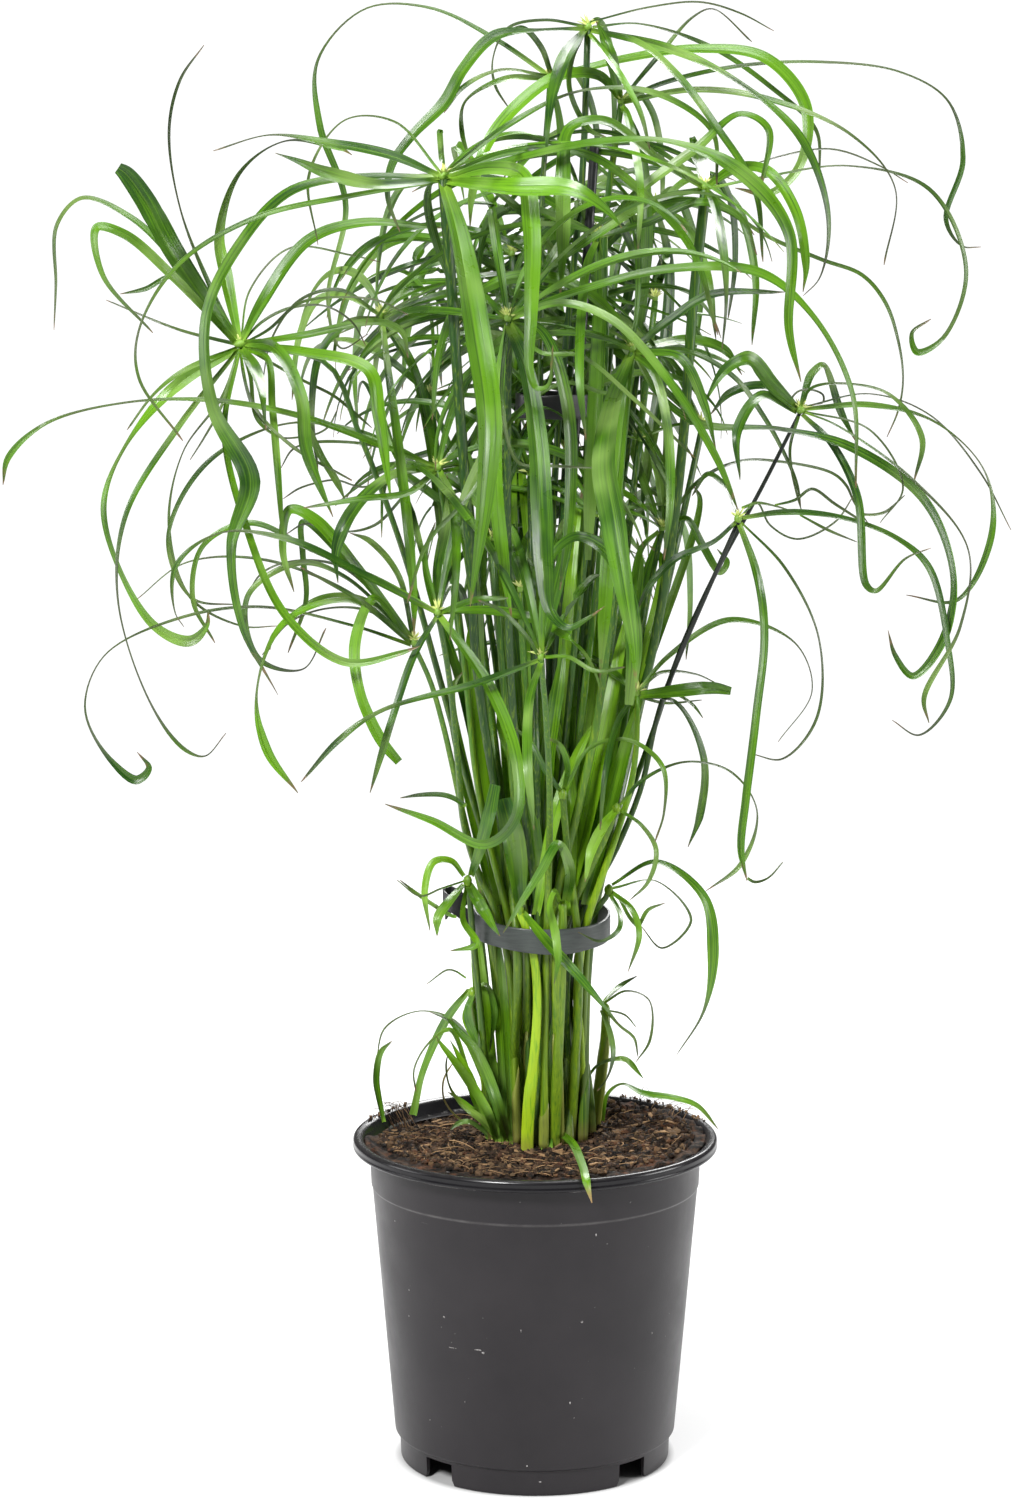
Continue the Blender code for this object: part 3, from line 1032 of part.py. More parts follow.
def band(name, centre, half, height, thickness, sides, colour, slope=(0.0, 0.0)):
    """A flat band bent round an oval, its two faces and two edges one closed ring."""
    points, faces = [], []
    for k in range(sides):
        across, deep = math.cos(k * math.tau / sides), math.sin(k * math.tau / sides)
        for grow, rise in ((0, -0.5), (thickness, -0.5), (thickness, 0.5), (0, 0.5)):
            x, y = (half[0] + grow) * across, (half[1] + grow) * deep
            level = centre[2] + rise * height + slope[0] * x + slope[1] * y
            points.append((centre[0] + x, centre[1] + y, level))
    for k in range(sides):
        after = (k + 1) % sides
        for n in range(4):
            m = (n + 1) % 4
            faces.append((k * 4 + n, after * 4 + n, after * 4 + m, k * 4 + m))
    return add_object(name, points, faces, colour, 0.4)


def make_knot():
    """The strap's knot, a small lump with bevelled edges beside the strap's left end."""
    points, faces = [], []
    ring = [(1, -0.4), (1, 0.4), (0.5, 1), (-0.5, 1), (-1, 0.4), (-1, -0.4), (-0.5, -1), (0.5, -1)]
    for rise, share in ((-1, 0.55), (-0.5, 1.0), (0.5, 1.0), (1, 0.55)):
        for x, y in ring:
            points.append((
                KNOT_CENTRE[0] + x * share * KNOT_HALF[0],
                KNOT_CENTRE[1] + y * share * KNOT_HALF[1],
                KNOT_CENTRE[2] + rise * KNOT_HALF[2],
            ))
    for low in (0, 8, 16):
        faces += [(low + k, low + (k + 1) % 8, low + 8 + (k + 1) % 8, low + 8 + k) for k in range(8)]
    faces += [tuple(range(8))[::-1], tuple(range(24, 32))]
    return add_object("strap_knot", points, faces, STRAP_GREY, 0.4)


def upper_tie_centre():
    return sight(*UPPER_TIE_VIEW)


def stake_line(count):
    """Points up the stake's middle line."""
    low = np.array((*STAKE_LOW, SOIL_LEVEL + TOUCH))
    return low + (sight(*STAKE_TOP_VIEW) - low) * np.linspace(0, 1, count)[:, None]


# What leaves and stems pass in front of or behind

def obstacle(points, half, thick, family, group):
    """A fixed line of points with its reach across the picture and in depth."""
    seen = np.array([picture_point(p) for p in points])
    return {
        "u": seen[:, 0], "v": seen[:, 1], "depth": seen[:, 2], "half": np.full(len(seen), half / PIXEL),
        "thick": np.full(len(seen), thick), "free": np.zeros(len(seen), bool), "hub": (-999, -999),
        "crown": family, "group": group, "near": 0,
    }


def oval_arc(centre, half, first, last, slope=(0.0, 0.0)):
    """Points along part of an oval, from one angle to another in degrees."""
    angles = np.radians(np.linspace(first, last, 9))
    x, y = half[0] * np.cos(angles), half[1] * np.sin(angles)
    return np.stack([centre[0] + x, centre[1] + y, centre[2] + slope[0] * x + slope[1] * y], 1)


def obstacles():
    """The strap, the upper tie, the stake and the rim as lines that stay where they are."""
    strap = (*STRAP_CENTRE, STRAP_LEVEL)
    outer = (STRAP_HALF[0] + STRAP_THICKNESS / 2, STRAP_HALF[1] + STRAP_THICKNESS / 2)
    lip = RIM_RADIUS - LIP_WIDTH / 2
    rim = (0, 0, POT_HEIGHT - LIP_HEIGHT / 2)
    rings = (
        (strap, outer, STRAP_HEIGHT, STRAP_THICKNESS, STRAP_SLOPE, RING),
        (upper_tie_centre(), UPPER_TIE_HALF, UPPER_TIE_HEIGHT, STRAP_THICKNESS, (0, 0), 0),
        (rim, (lip, lip), LIP_HEIGHT, LIP_WIDTH / 2, (0, 0), RING),
    )
    knot = [np.array(KNOT_CENTRE) + (x * KNOT_HALF[0], 0, 0) for x in (-1, 0, 1)]
    made = [obstacle(stake_line(14), STAKE_RADIUS, STAKE_RADIUS, 100, 0)]
    made.append(obstacle(knot, KNOT_HALF[2], KNOT_HALF[1], 110, RING))
    for index, (centre, half, height, thick, slope, group) in enumerate(rings):
        for first, last in ((180, 360), (0, 180)):
            arc = oval_arc(centre, half, first, last, slope)
            made.append(obstacle(arc, height / 2, thick, 101 + 2 * index + first // 180, group))
    return made


# The plant

def leaf_curve(leaf, depth, hub, family, near):
    """A leaf's route as a curve that may move along the lines of sight."""
    route = leaf_route(leaf, depth)
    full = full_widths(route)
    cos = np.clip(route[:, 2] / full, EDGE_ON, 1.0)
    free = np.ones(len(route), bool)
    free[0] = False
    if isinstance(leaf[0], tuple):
        free[:] = False
    return {
        "u": route[:, 0], "v": route[:, 1], "depth": route[:, 3].copy(), "width": route[:, 2],
        "half": route[:, 2] / 2 + LEAF_MARGIN,
        "thick": full * PIXEL / 2 * np.sqrt(1 - cos**2) + LEAF_KEEL * KEEL_SHARE,
        "free": free, "hub": hub, "crown": family, "group": 0, "near": near,
    }


def plant():
    """All the stems, crowns, shoots and sprouts, each clear of the others."""
    curves, jobs = [], []
    for family, (key, head) in enumerate({**CROWNS, **SHOOTS, **SPROUTS}.items()):
        stem = radii = None
        if key in SPROUTS and key not in BUNDLE:
            u, v = head["hub"]
            depth = depth_on_level(u, v, SOIL_LEVEL + HUB_HEIGHT)
        else:
            u, v, depth = head["hub"]
            route = stem_route(head, *bundle_place(key), STEM_RINGS if key in CROWNS else SHOOT_RINGS)
            radii = np.linspace(STEM_FOOT_RADIUS, STEM_TOP_RADIUS, len(route))
            free = np.ones(len(route), bool)
            free[[0, 1, -1]] = False
            stem = {
                "u": route[:, 0], "v": route[:, 1], "depth": route[:, 2], "half": radii / PIXEL,
                "thick": radii, "free": free, "hub": (u, v), "crown": family, "group": STEM,
                "near": CROWN_NEAR,
            }
            curves.append(stem)
        near = CROWN_NEAR if key in CROWNS else SHOOT_NEAR
        leaves = [leaf_curve(leaf, depth, (u, v), family, near) for leaf in head["leaves"]]
        curves += leaves
        jobs.append((key, sight(u, v, depth), stem, radii, leaves))
    settle(curves + obstacles())
    for key, hub, stem, radii, leaves in jobs:
        routes = [np.column_stack([c["u"], c["v"], c["width"], c["depth"]]) for c in leaves]
        if key in CROWNS:
            line = sight(stem["u"], stem["v"], stem["depth"])
            line[-1] = hub - (0, 0, HUB_HEIGHT * HUB_SINK + TOUCH)
            make_rod("stem_" + key, line, radii, STEM_SIDES, STEM_GREEN)
            whorl("crown_" + key, hub, routes)
        elif stem is not None:
            line = sight(stem["u"], stem["v"], stem["depth"])[:-1]
            whorl("shoot_" + key, hub, routes, [(*p, r) for p, r in zip(line, radii)], YOUNG_GREEN)
        else:
            whorl("sprout_" + key, hub, routes, colour=YOUNG_GREEN)


def main():
    for thing in list(bpy.data.objects):
        bpy.data.objects.remove(thing, do_unlink=True)
    make_pot()
    make_soil()
    band("strap", (*STRAP_CENTRE, STRAP_LEVEL), STRAP_HALF, STRAP_HEIGHT, STRAP_THICKNESS, STRAP_SIDES,
         STRAP_GREY, STRAP_SLOPE)
    make_knot()
    band("upper_tie", upper_tie_centre(), UPPER_TIE_HALF, UPPER_TIE_HEIGHT, STRAP_THICKNESS,
         UPPER_TIE_SIDES, STRAP_GREY)
    make_rod("stake", stake_line(2), (STAKE_RADIUS, STAKE_RADIUS), STAKE_SIDES, STAKE_BLACK)
    plant()


main()
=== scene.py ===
"""How the potted umbrella sedge looks: detailed leaves, stems, soil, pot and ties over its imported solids."""

import math

import bpy
import numpy as np
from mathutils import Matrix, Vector, noise


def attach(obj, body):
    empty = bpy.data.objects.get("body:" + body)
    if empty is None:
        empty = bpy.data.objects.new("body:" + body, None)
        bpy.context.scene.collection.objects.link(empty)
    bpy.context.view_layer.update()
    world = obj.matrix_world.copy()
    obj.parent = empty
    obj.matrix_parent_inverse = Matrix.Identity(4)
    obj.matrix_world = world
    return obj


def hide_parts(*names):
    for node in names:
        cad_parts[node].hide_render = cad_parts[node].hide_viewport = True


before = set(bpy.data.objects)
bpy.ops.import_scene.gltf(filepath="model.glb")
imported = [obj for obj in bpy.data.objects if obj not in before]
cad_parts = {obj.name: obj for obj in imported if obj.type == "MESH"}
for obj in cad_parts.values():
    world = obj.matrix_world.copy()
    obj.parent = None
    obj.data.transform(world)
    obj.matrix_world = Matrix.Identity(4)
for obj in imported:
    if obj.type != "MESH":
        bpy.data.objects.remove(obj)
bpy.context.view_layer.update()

# The pot in metres, and the angles of the notches in its foot in degrees
POT_HEIGHT = 0.172
RIM_RADIUS = 0.095
LIP_HEIGHT = 0.0068
LIP_WIDTH = 0.0057
NECK_RADIUS = 0.0862
STEP_HEIGHT = 0.146
STEP_RADIUS = 0.0848
STEP_DEPTH = 0.0006
SHOULDER_RADIUS = 0.0734
FOOT_RADIUS = 0.071
FOOT_HEIGHT = 0.013
FOOT_WALL = 0.0025
FLOOR_TOP = 0.0155
FLOOR = 0.003
WALL = 0.0016
EDGE = 0.0014
NOTCH_WIDTH = 0.0185
NOTCH_ANGLES = (45, 135, 225, 315)

# The soil, its low lumps, and the clump that the stems stand in
SOIL_LEVEL = 0.166
SOIL_GAP = 0.0004
SOIL_RIM = NECK_RADIUS - WALL - SOIL_GAP
CLUMP_CENTRE = (0.006, 0.016)
CLUMP_RADIUS = 0.038
LUMP_HEIGHTS = (0.0010, 0.0006)
LUMP_TURNS = (120, 95, 210)

# The strap, how it rises along X and Y, and its knot
STRAP_LEVEL = 0.2836
STRAP_CENTRE = (0.0028, 0.005)
STRAP_HALF = (0.0345, 0.029)
STRAP_HEIGHT = 0.0125
STRAP_THICKNESS = 0.0012
STRAP_SLOPE = (-0.045, 0.153)
ABOVE_STRAP = 0.003
KNOT_CENTRE = (-0.0412, 0.003, 0.2945)
KNOT_HALF = (0.0068, 0.006, 0.0065)

# The upper tie and the stake; a view is a picture point with its depth
UPPER_TIE_VIEW = (553, 405, 0.025)
UPPER_TIE_HALF = (0.0185, 0.016)
UPPER_TIE_HEIGHT = 0.012
STAKE_LOW = (-0.0037, 0.0215)
STAKE_TOP_VIEW = (595, 140, 0.022)
STAKE_RADIUS = 0.0024

# Stems, crown middles and leaves; a leaf whose last point is at least BLUNT pixels wide has no fine tip
STEM_FOOT_RADIUS = 0.0027
STEM_TOP_RADIUS = 0.0019
HUB_RADIUS = 0.0024
HUB_GROWTH = 0.00014
HUB_HEIGHT = 0.0032
HUB_SINK = 0.3
LEAF_KEEL = 0.0009
BLUNT = 6

# The gap in depth between pieces that pass each other, and the one between the soil and what stands on it
CLEAR = 0.0018
TOUCH = 0.0004

# The solids' routes: pixels between rings, how many rings, samples, and pixels that a radian of turn counts
RING_SPACING = 74
SEGMENTS = (4, 9)
STEM_RINGS = 8
SHOOT_RINGS = 6
FINE_STEPS = 24
LEAF_TURN = 30.0
STEM_TURN = 60.0

# A leaf's outline: how fast it widens, where it narrows and how pointed it is, and how soon it has its reach
LANCE_ROOT = 0.35
LANCE_RISE = 2.6
LANCE_END = 1.04
LANCE_FALL = 0.45
LANCE_POINT = 0.8
LANCE_SPARE = 1.3
EDGE_ON = 0.15
REACH_SHARE = 0.7

# How leaves are kept apart: margins, cells per segment, rounds, and how near their hub leaves may touch
MARGIN = 0.8
LEAF_MARGIN = 1.2
KEEL_SHARE = 0.7
OWN_RINGS = 3
STIFFNESS = 0.7
CELLS = 6
BLOCK = 500
ROUNDS = 260
SMOOTH_ROUNDS = 195
LARGEST_PUSH = 0.004
CROWN_NEAR = 24
SHOOT_NEAR = 12
TINY = 1e-9
ALL = slice(None)
FAR_OFF = (-999, -999)

# Groups: a stem may cross the rings it stands in. Families: their leaves may touch each other at their hub
STEM, RING = 1, 2
STAKE_FAMILY, RING_FAMILY, KNOT_FAMILY = 100, 101, 110
INNER_FAMILY, UPRIGHT_FAMILY, LOW_FAMILY = 200, 300, 400

# A stem's picture points: how far above the tie, apart and under the hub they keep, and how far it runs in
ABOVE_TIE = 8
POINTS_APART = 60
UNDER_HUB = 12
INTO_HUB = 4

# The eye that the leaves' routes were read from: its place, pitch and focal length in picture pixels
EYE = np.array((-0.0149, -2.033, 0.700))
EYE_PITCH = math.radians(9.10)
FOCUS = 4013.0
MIDDLE = (506.5, 750.0)
PIXEL = 0.000507

# Every crown: the picture point and depth of its hub, the picture points that its stem passes on the way
# down, some with their depth, and its leaves. A leaf is how far its tip lies behind its hub, or the depth of
# each point, then its points as (u, v, apparent width)
CROWNS = {
    "a": ((588, 28, 0.02), ((586, 80), (580, 217), (560, 400, 0.022), (550, 640)), (
        (-0.05, (587, 29, 5), (540, 30, 10), (495, 36, 11), (463, 70, 11), (445, 102, 12), (412, 136, 9),
         (392, 165, 8), (388, 198, 5), (400, 232, 2)),
        (-0.07, (590, 30, 4), (667, 48, 9), (740, 83, 9), (800, 137, 8), (828, 215, 5), (820, 277, 3),
         (803, 296, 1)),
        (0.06, (590, 22, 2), (650, 7, 2), (700, 2, 2), (740, 13, 2), (774, 31, 1)),
        (0.05, (593, 27, 3), (640, 24, 4), (713, 48, 5), (772, 88, 5), (816, 130, 4), (820, 172, 2)),
        (-0.10, (585, 30, 5), (568, 52, 13), (557, 80, 12), (549, 120, 8), (546, 165, 3)),
        (-0.12, (589, 33, 4), (604, 52, 6), (622, 78, 6), (640, 112, 5), (650, 150, 2)),
        (-0.10, (590, 30, 5), (638, 42, 6), (677, 75, 7), (715, 125, 7), (755, 190, 6), (763, 262, 2)),
        (-0.06, (584, 32, 4), (572, 60, 5), (570, 90, 5), (590, 130, 5), (608, 138, 2)),
        (0.04, (584, 26, 3), (545, 20, 3), (508, 28, 3), (493, 58, 3), (495, 85, 3), (510, 110, 1)),
        (0.16, (588, 25, 4), (598, 20, 6), (608, 40, 7), (614, 100, 6), (612, 170, 2)),
    )),
    "p": ((550, 77, 0.06), ((548, 130), (543, 170), (540, 400, 0.030), (530, 640)), (
        (0.02, (548, 75, 5), (500, 42, 5), (430, 8, 3), (365, 9, 4), (318, 60, 8), (320, 125, 7),
         (346, 205, 6), (328, 300, 4), (341, 348, 2), (368, 334, 1)),
        (-0.04, (551, 73, 5), (540, 46, 6), (522, 28, 5), (505, 33, 2)),
        (-0.07, (548, 78, 5), (505, 79, 6), (465, 102, 6), (462, 132, 5), (470, 160, 2)),
        (-0.03, (547, 76, 4), (500, 70, 5), (462, 88, 5), (444, 113, 2)),
        (-0.02, (552, 77, 6), (630, 58, 8), (700, 49, 9), (765, 58, 11), (805, 105, 12), (800, 165, 9),
         (770, 193, 7), (735, 188, 2)),
        (0.135, (551, 75, 4), (566, 66, 6), (586, 90, 7), (598, 150, 6), (590, 215, 2)),
    )),
    "e": ((621, 102, 0.03), ((612, 140), (606, 210), (604, 400), (580, 640)), (
        (-0.06, (619, 98, 5), (600, 76, 10), (560, 76, 11), (518, 105, 12), (487, 145, 11), (472, 195, 8),
         (470, 228, 3)),
        (-0.03, (620, 98, 6), (612, 62, 12), (603, 35, 10), (596, 21, 4)),
        (0.04, (622, 101, 4), (663, 83, 5), (740, 66, 4), (820, 62, 4), (900, 72, 6), (948, 101, 8),
         (963, 160, 8), (946, 220, 5), (962, 246, 2), (981, 247, 1)),
        (-0.04, (623, 102, 5), (688, 90, 6), (760, 97, 6), (850, 134, 5), (895, 188, 4), (884, 265, 2)),
        (0.05, (623, 98, 3), (657, 58, 5), (693, 17, 5), (713, 9, 4), (752, 42, 2)),
        (0.14, (622, 102, 4), (636, 92, 6), (652, 112, 7), (662, 165, 6), (660, 235, 2)),
        (-0.12, (621, 105, 4), (626, 112, 7), (634, 145, 8), (640, 190, 7), (638, 250, 3)),
    )),
    "b": ((443, 177, -0.08), ((452, 300), (458, 400), (466, 480), (480, 700)), (
        (-0.01, (440, 178, 5), (360, 177, 9), (290, 192, 9), (240, 245, 10), (207, 315, 10),
         (213, 405, 12), (250, 480, 20), (232, 545, 10), (243, 627, 7), (278, 695, 2)),
        (-0.04, (440, 180, 5), (375, 184, 10), (330, 174, 14), (295, 160, 7), (275, 153, 2)),
        (0.03, (439, 175, 5), (390, 155, 9), (325, 142, 7), (270, 135, 5), (213, 151, 2)),
        (-0.07, (440, 181, 3), (350, 196, 5), (255, 218, 5), (178, 265, 4), (139, 330, 4), (139, 378, 3),
         (183, 441, 2)),
        (-0.115, (443, 182, 10), (459, 235, 18), (476, 330, 24), (488, 420, 22), (484, 500, 16),
         (470, 607, 5)),
        (-0.05, (447, 181, 7), (510, 187, 16), (575, 190, 17), (610, 213, 9), (622, 228, 3)),
        (0.10, (443, 170, 5), (441, 146, 6), (440, 132, 6), (442, 150, 3)),
        (-0.03, (446, 177, 5), (502, 162, 6), (597, 142, 7), (672, 142, 12), (740, 172, 14),
         (788, 232, 11), (789, 330, 8), (801, 382, 3)),
        (0.02, (446, 175, 5), (513, 152, 7), (588, 155, 8), (647, 197, 8), (692, 250, 7), (718, 335, 3)),
        (0.05, (446, 173, 4), (510, 124, 6), (580, 91, 6), (655, 93, 6), (712, 131, 5), (717, 185, 2)),
        (0.05, (441, 173, 3), (395, 122, 4), (345, 120, 4), (309, 175, 3), (318, 245, 1)),
        (-0.07, (446, 179, 6), (490, 168, 12), (521, 175, 15), (531, 225, 17), (530, 320, 12),
         (529, 368, 8), (536, 388, 5), (548, 386, 4), (553, 345, 2)),
    )),
    "f": ((705, 188, 0.0), ((697, 260), (686, 380), (682, 450), (668, 560), (640, 700)), (
        (-0.08, (703, 187, 6), (663, 163, 8), (605, 121, 8), (570, 129, 10), (564, 180, 14),
         (563, 240, 13), (560, 300, 5)),
        (0.09, (704, 184, 8), (699, 160, 15), (692, 137, 6)),
        (-0.05, (706, 187, 5), (735, 168, 9), (767, 171, 10), (795, 210, 10), (806, 265, 8), (803, 292, 4)),
        (0.05, (707, 187, 3), (755, 164, 3), (830, 149, 3), (880, 166, 3), (908, 183, 1)),
        (0.02, (707, 189, 3), (760, 178, 4), (850, 166, 5), (930, 190, 7), (966, 270, 7), (943, 338, 6),
         (917, 352, 7), (912, 333, 4), (931, 319, 2)),
        (-0.07, (703, 189, 5), (655, 200, 7), (600, 233, 7), (540, 275, 3)),
        (0.13, (706, 186, 4), (716, 176, 6), (730, 200, 7), (735, 260, 6), (728, 320, 2)),
        (-0.11, (705, 190, 5), (712, 198, 8), (722, 245, 9), (726, 300, 7), (722, 350, 2)),
    )),
    "d": ((381, 316, 0.05), ((388, 327), (407, 363), (440, 420), (462, 480), (500, 700)), (
        (-0.12, (382, 319, 5), (387, 365, 7), (396, 430, 9), (408, 530, 10), (414, 600, 7), (414, 636, 4)),
        (0.06, (379, 314, 4), (345, 296, 7), (318, 300, 8), (300, 335, 7), (292, 400, 3)),
        (0.10, (383, 314, 4), (410, 290, 7), (440, 300, 8), (455, 345, 7), (458, 400, 2)),
        (-0.06, (379, 318, 4), (350, 322, 7), (322, 350, 8), (312, 410, 6), (318, 470, 2)),
        (0.14, (381, 313, 4), (372, 296, 6), (362, 310, 7), (355, 370, 6), (358, 430, 2)),
    )),
    "i": ((508, 319, -0.10), ((508, 380), (507, 450), (512, 700)), (
        (0.04, (510, 316, 5), (575, 292, 7), (670, 269, 8), (760, 273, 9), (812, 315, 8), (852, 393, 5),
         (856, 488, 2)),
        (-0.03, (511, 318, 5), (560, 303, 7), (612, 320, 8), (668, 380, 8), (715, 455, 7), (738, 510, 3)),
        (-0.02, (510, 321, 3), (540, 352, 4), (580, 356, 4), (635, 400, 4), (695, 458, 2)),
        (-0.03, (507, 322, 3), (502, 400, 4), (518, 462, 3), (555, 466, 3), (600, 468, 1)),
        (-0.09, (508, 323, 8), (526, 370, 14), (537, 440, 18), (541, 510, 20), (544, 570, 17),
         (550, 612, 10), (568, 628, 6), (590, 617, 4), (605, 606, 1)),
        (0.05, (505, 317, 5), (480, 296, 7), (456, 310, 8), (440, 350, 7), (432, 420, 3)),
        (0.10, (507, 316, 4), (500, 300, 6), (488, 315, 7), (480, 370, 6), (478, 440, 2)),
    )),
    "j": ((632, 350, -0.05), ((628, 400), (622, 450), (600, 700)), (
        (0.03, (634, 348, 5), (670, 320, 8), (710, 295, 8), (785, 292, 3)),
        (0.07, (635, 350, 5), (690, 340, 10), (725, 350, 9), (742, 375, 3)),
        (-0.03, (635, 352, 5), (680, 358, 9), (704, 405, 9), (716, 450, 3)),
        (-0.05, (630, 353, 3), (612, 392, 4), (565, 383, 4), (520, 410, 4), (472, 493, 4), (428, 542, 4),
         (407, 603, 2)),
        (-0.12, (631, 354, 8), (614, 400, 16), (605, 463, 22), (614, 520, 24), (625, 590, 20),
         (634, 650, 12), (636, 688, 5)),
        (-0.10, (633, 354, 5), (652, 370, 8), (666, 420, 9), (670, 500, 8), (664, 560, 2)),
        (0.02, (634, 354, 4), (660, 396, 6), (700, 424, 8), (779, 429, 8), (850, 447, 9), (924, 500, 9),
         (953, 575, 9), (943, 640, 9), (913, 676, 7), (895, 655, 5), (888, 630, 1)),
    )),
    "c": ((240, 345, -0.03), ((268, 357), (300, 358), (333, 368), (355, 423), (378, 482), (402, 548),
         (440, 680)), (
        (0.03, (238, 341, 3), (213, 293, 5), (180, 208, 4), (169, 130, 3), (180, 80, 3), (204, 45, 1)),
        (-0.04, (236, 340, 8), (200, 292, 16), (172, 250, 20), (145, 200, 20), (126, 174, 16),
         (118, 168, 11)),
        (0.02, (236, 341, 5), (175, 260, 7), (130, 217, 6), (82, 198, 4), (57, 225, 4), (56, 285, 4),
         (54, 330, 1)),
        (-0.06, (236, 343, 5), (170, 274, 9), (125, 235, 9), (97, 228, 8), (103, 275, 5), (153, 333, 2)),
        (0.06, (236, 344, 4), (180, 330, 6), (106, 300, 3)),
        (0.09, (236, 342, 3), (205, 305, 5), (172, 277, 5), (145, 289, 5), (120, 294, 2)),
        (-0.04, (237, 348, 4), (185, 370, 5), (155, 393, 5), (127, 430, 2)),
        (-0.02, (238, 349, 6), (180, 383, 12), (125, 447, 9), (104, 505, 6), (120, 570, 5), (157, 628, 9),
         (190, 641, 11), (207, 625, 5), (208, 609, 2)),
        (-0.06, (238, 350, 4), (180, 425, 6), (126, 515, 5), (118, 600, 4), (150, 702, 4), (184, 749, 4),
         (205, 756, 3), (226, 733, 1)),
        (0.04, (239, 350, 2), (222, 397, 3), (183, 452, 3), (169, 525, 3), (190, 597, 3), (242, 626, 2),
         (277, 626, 1)),
        (-0.05, (242, 349, 4), (266, 357, 6), (272, 407, 7), (277, 465, 7), (283, 540, 3)),
        (-0.07, (243, 343, 6), (273, 347, 11), (300, 395, 12), (306, 450, 12), (333, 517, 4)),
        (-0.10, (241, 348, 6), (253, 366, 12), (261, 392, 8), (266, 430, 3)),
        (0.02, (242, 341, 5), (262, 303, 11), (308, 241, 11), (360, 223, 9), (445, 228, 4)),
        (0.06, (241, 340, 2), (250, 290, 2), (290, 248, 2), (350, 255, 2), (380, 262, 1)),
        (0.05, (239, 340, 6), (226, 278, 13), (219, 235, 10), (240, 172, 4), (285, 141, 4), (340, 148, 7),
         (352, 155, 3)),
        (-0.08, (239, 350, 4), (224, 430, 6), (247, 530, 7), (285, 615, 8), (345, 662, 8), (400, 653, 5),
         (420, 646, 3)),
        (-0.04, (244, 346, 5), (303, 352, 9), (368, 370, 12), (378, 412, 13), (391, 500, 5)),
        (0.03, (244, 344, 4), (300, 336, 7), (380, 322, 7), (402, 332, 6), (408, 358, 2)),
        (-0.06, (240, 350, 2), (252, 402, 3), (290, 445, 3), (352, 481, 1)),
    )),
    "x": ((438, 468, -0.03), ((446, 520), (462, 640), (480, 800)), (
        (-0.06, (435, 466, 4), (368, 440, 6), (303, 417, 6), (220, 401, 5), (130, 402, 4), (45, 424, 5),
         (8, 458, 6), (3, 485, 1)),
        (-0.05, (435, 469, 5), (395, 474, 8), (355, 508, 12), (336, 550, 14), (338, 583, 4)),
        (-0.07, (436, 471, 4), (410, 492, 6), (360, 499, 6), (303, 508, 2)),
        (0.02, (435, 467, 4), (360, 432, 5), (285, 424, 6), (205, 465, 5), (168, 540, 4), (192, 598, 3),
         (240, 605, 1)),
        (-0.10, (440, 471, 5), (452, 500, 9), (456, 560, 8), (450, 640, 3)),
        (0.03, (440, 465, 4), (462, 452, 7), (478, 490, 8), (484, 560, 6), (480, 620, 2)),
    )),
    "k": ((414, 643, -0.04), ((430, 680), (447, 740), (460, 800)), (
        (-0.03, (411, 645, 4), (350, 625, 5), (260, 607, 3), (180, 618, 3), (105, 655, 3), (85, 705, 3),
         (100, 746, 5), (136, 780, 9), (149, 768, 6), (137, 752, 1)),
        (-0.04, (412, 640, 6), (355, 567, 11), (315, 520, 11), (290, 510, 9), (283, 550, 7), (294, 592, 3)),
        (0.02, (412, 640, 4), (345, 560, 6), (303, 522, 6), (303, 555, 6), (306, 600, 5), (288, 653, 2)),
        (0.05, (413, 639, 4), (398, 575, 6), (370, 541, 6), (350, 533, 2)),
        (-0.06, (411, 643, 4), (365, 604, 5), (300, 567, 2)),
        (0.06, (411, 642, 4), (365, 600, 5), (320, 598, 5), (272, 636, 4), (270, 650, 2)),
        (-0.06, (411, 641, 5), (374, 600, 8), (356, 640, 11), (360, 691, 10), (381, 740, 11),
         (399, 762, 8)),
        (0.04, (412, 641, 2), (345, 590, 3), (260, 559, 3), (185, 563, 3), (136, 600, 1)),
        (-0.02, (412, 640, 3), (345, 577, 4), (300, 563, 6), (248, 596, 8), (258, 658, 6), (303, 669, 4),
         (326, 628, 2)),
        (-0.08, (411, 643, 4), (350, 601, 5), (285, 622, 6), (257, 690, 5), (267, 750, 9), (298, 793, 3)),
    )),
    "l": ((438, 613, -0.09), ((448, 670), (456, 740), (467, 840)), (
        (-0.02, (435, 612, 4), (360, 573, 7), (290, 540, 6), (220, 533, 5), (176, 566, 5), (175, 612, 3),
         (184, 627, 1)),
        (0.05, (436, 611, 3), (380, 580, 4), (315, 552, 4), (250, 523, 6), (203, 546, 7), (193, 600, 5),
         (215, 643, 2)),
        (-0.02, (441, 612, 4), (475, 600, 6), (508, 598, 3)),
        (-0.03, (437, 616, 4), (414, 656, 7), (393, 717, 7), (383, 749, 7), (370, 793, 2)),
        (-0.06, (440, 616, 6), (488, 685, 11), (516, 760, 11), (514, 820, 10), (485, 844, 9),
         (433, 821, 7), (385, 804, 2)),
        (0.04, (438, 609, 5), (438, 570, 9), (449, 505, 9), (447, 475, 3)),
    )),
    "n": ((541, 658, -0.11), ((545, 700), (550, 800)), (
        (-0.02, (539, 660, 4), (478, 683, 7), (381, 711, 7), (339, 740, 6), (301, 782, 2)),
        (-0.02, (544, 657, 3), (568, 657, 4), (595, 671, 4), (625, 667, 2)),
        (-0.02, (539, 656, 3), (526, 636, 4), (500, 610, 4), (478, 600, 2)),
        (-0.03, (542, 655, 5), (544, 600, 7), (553, 555, 8), (577, 537, 9), (605, 550, 13),
         (626, 590, 15), (634, 645, 16), (629, 705, 8)),
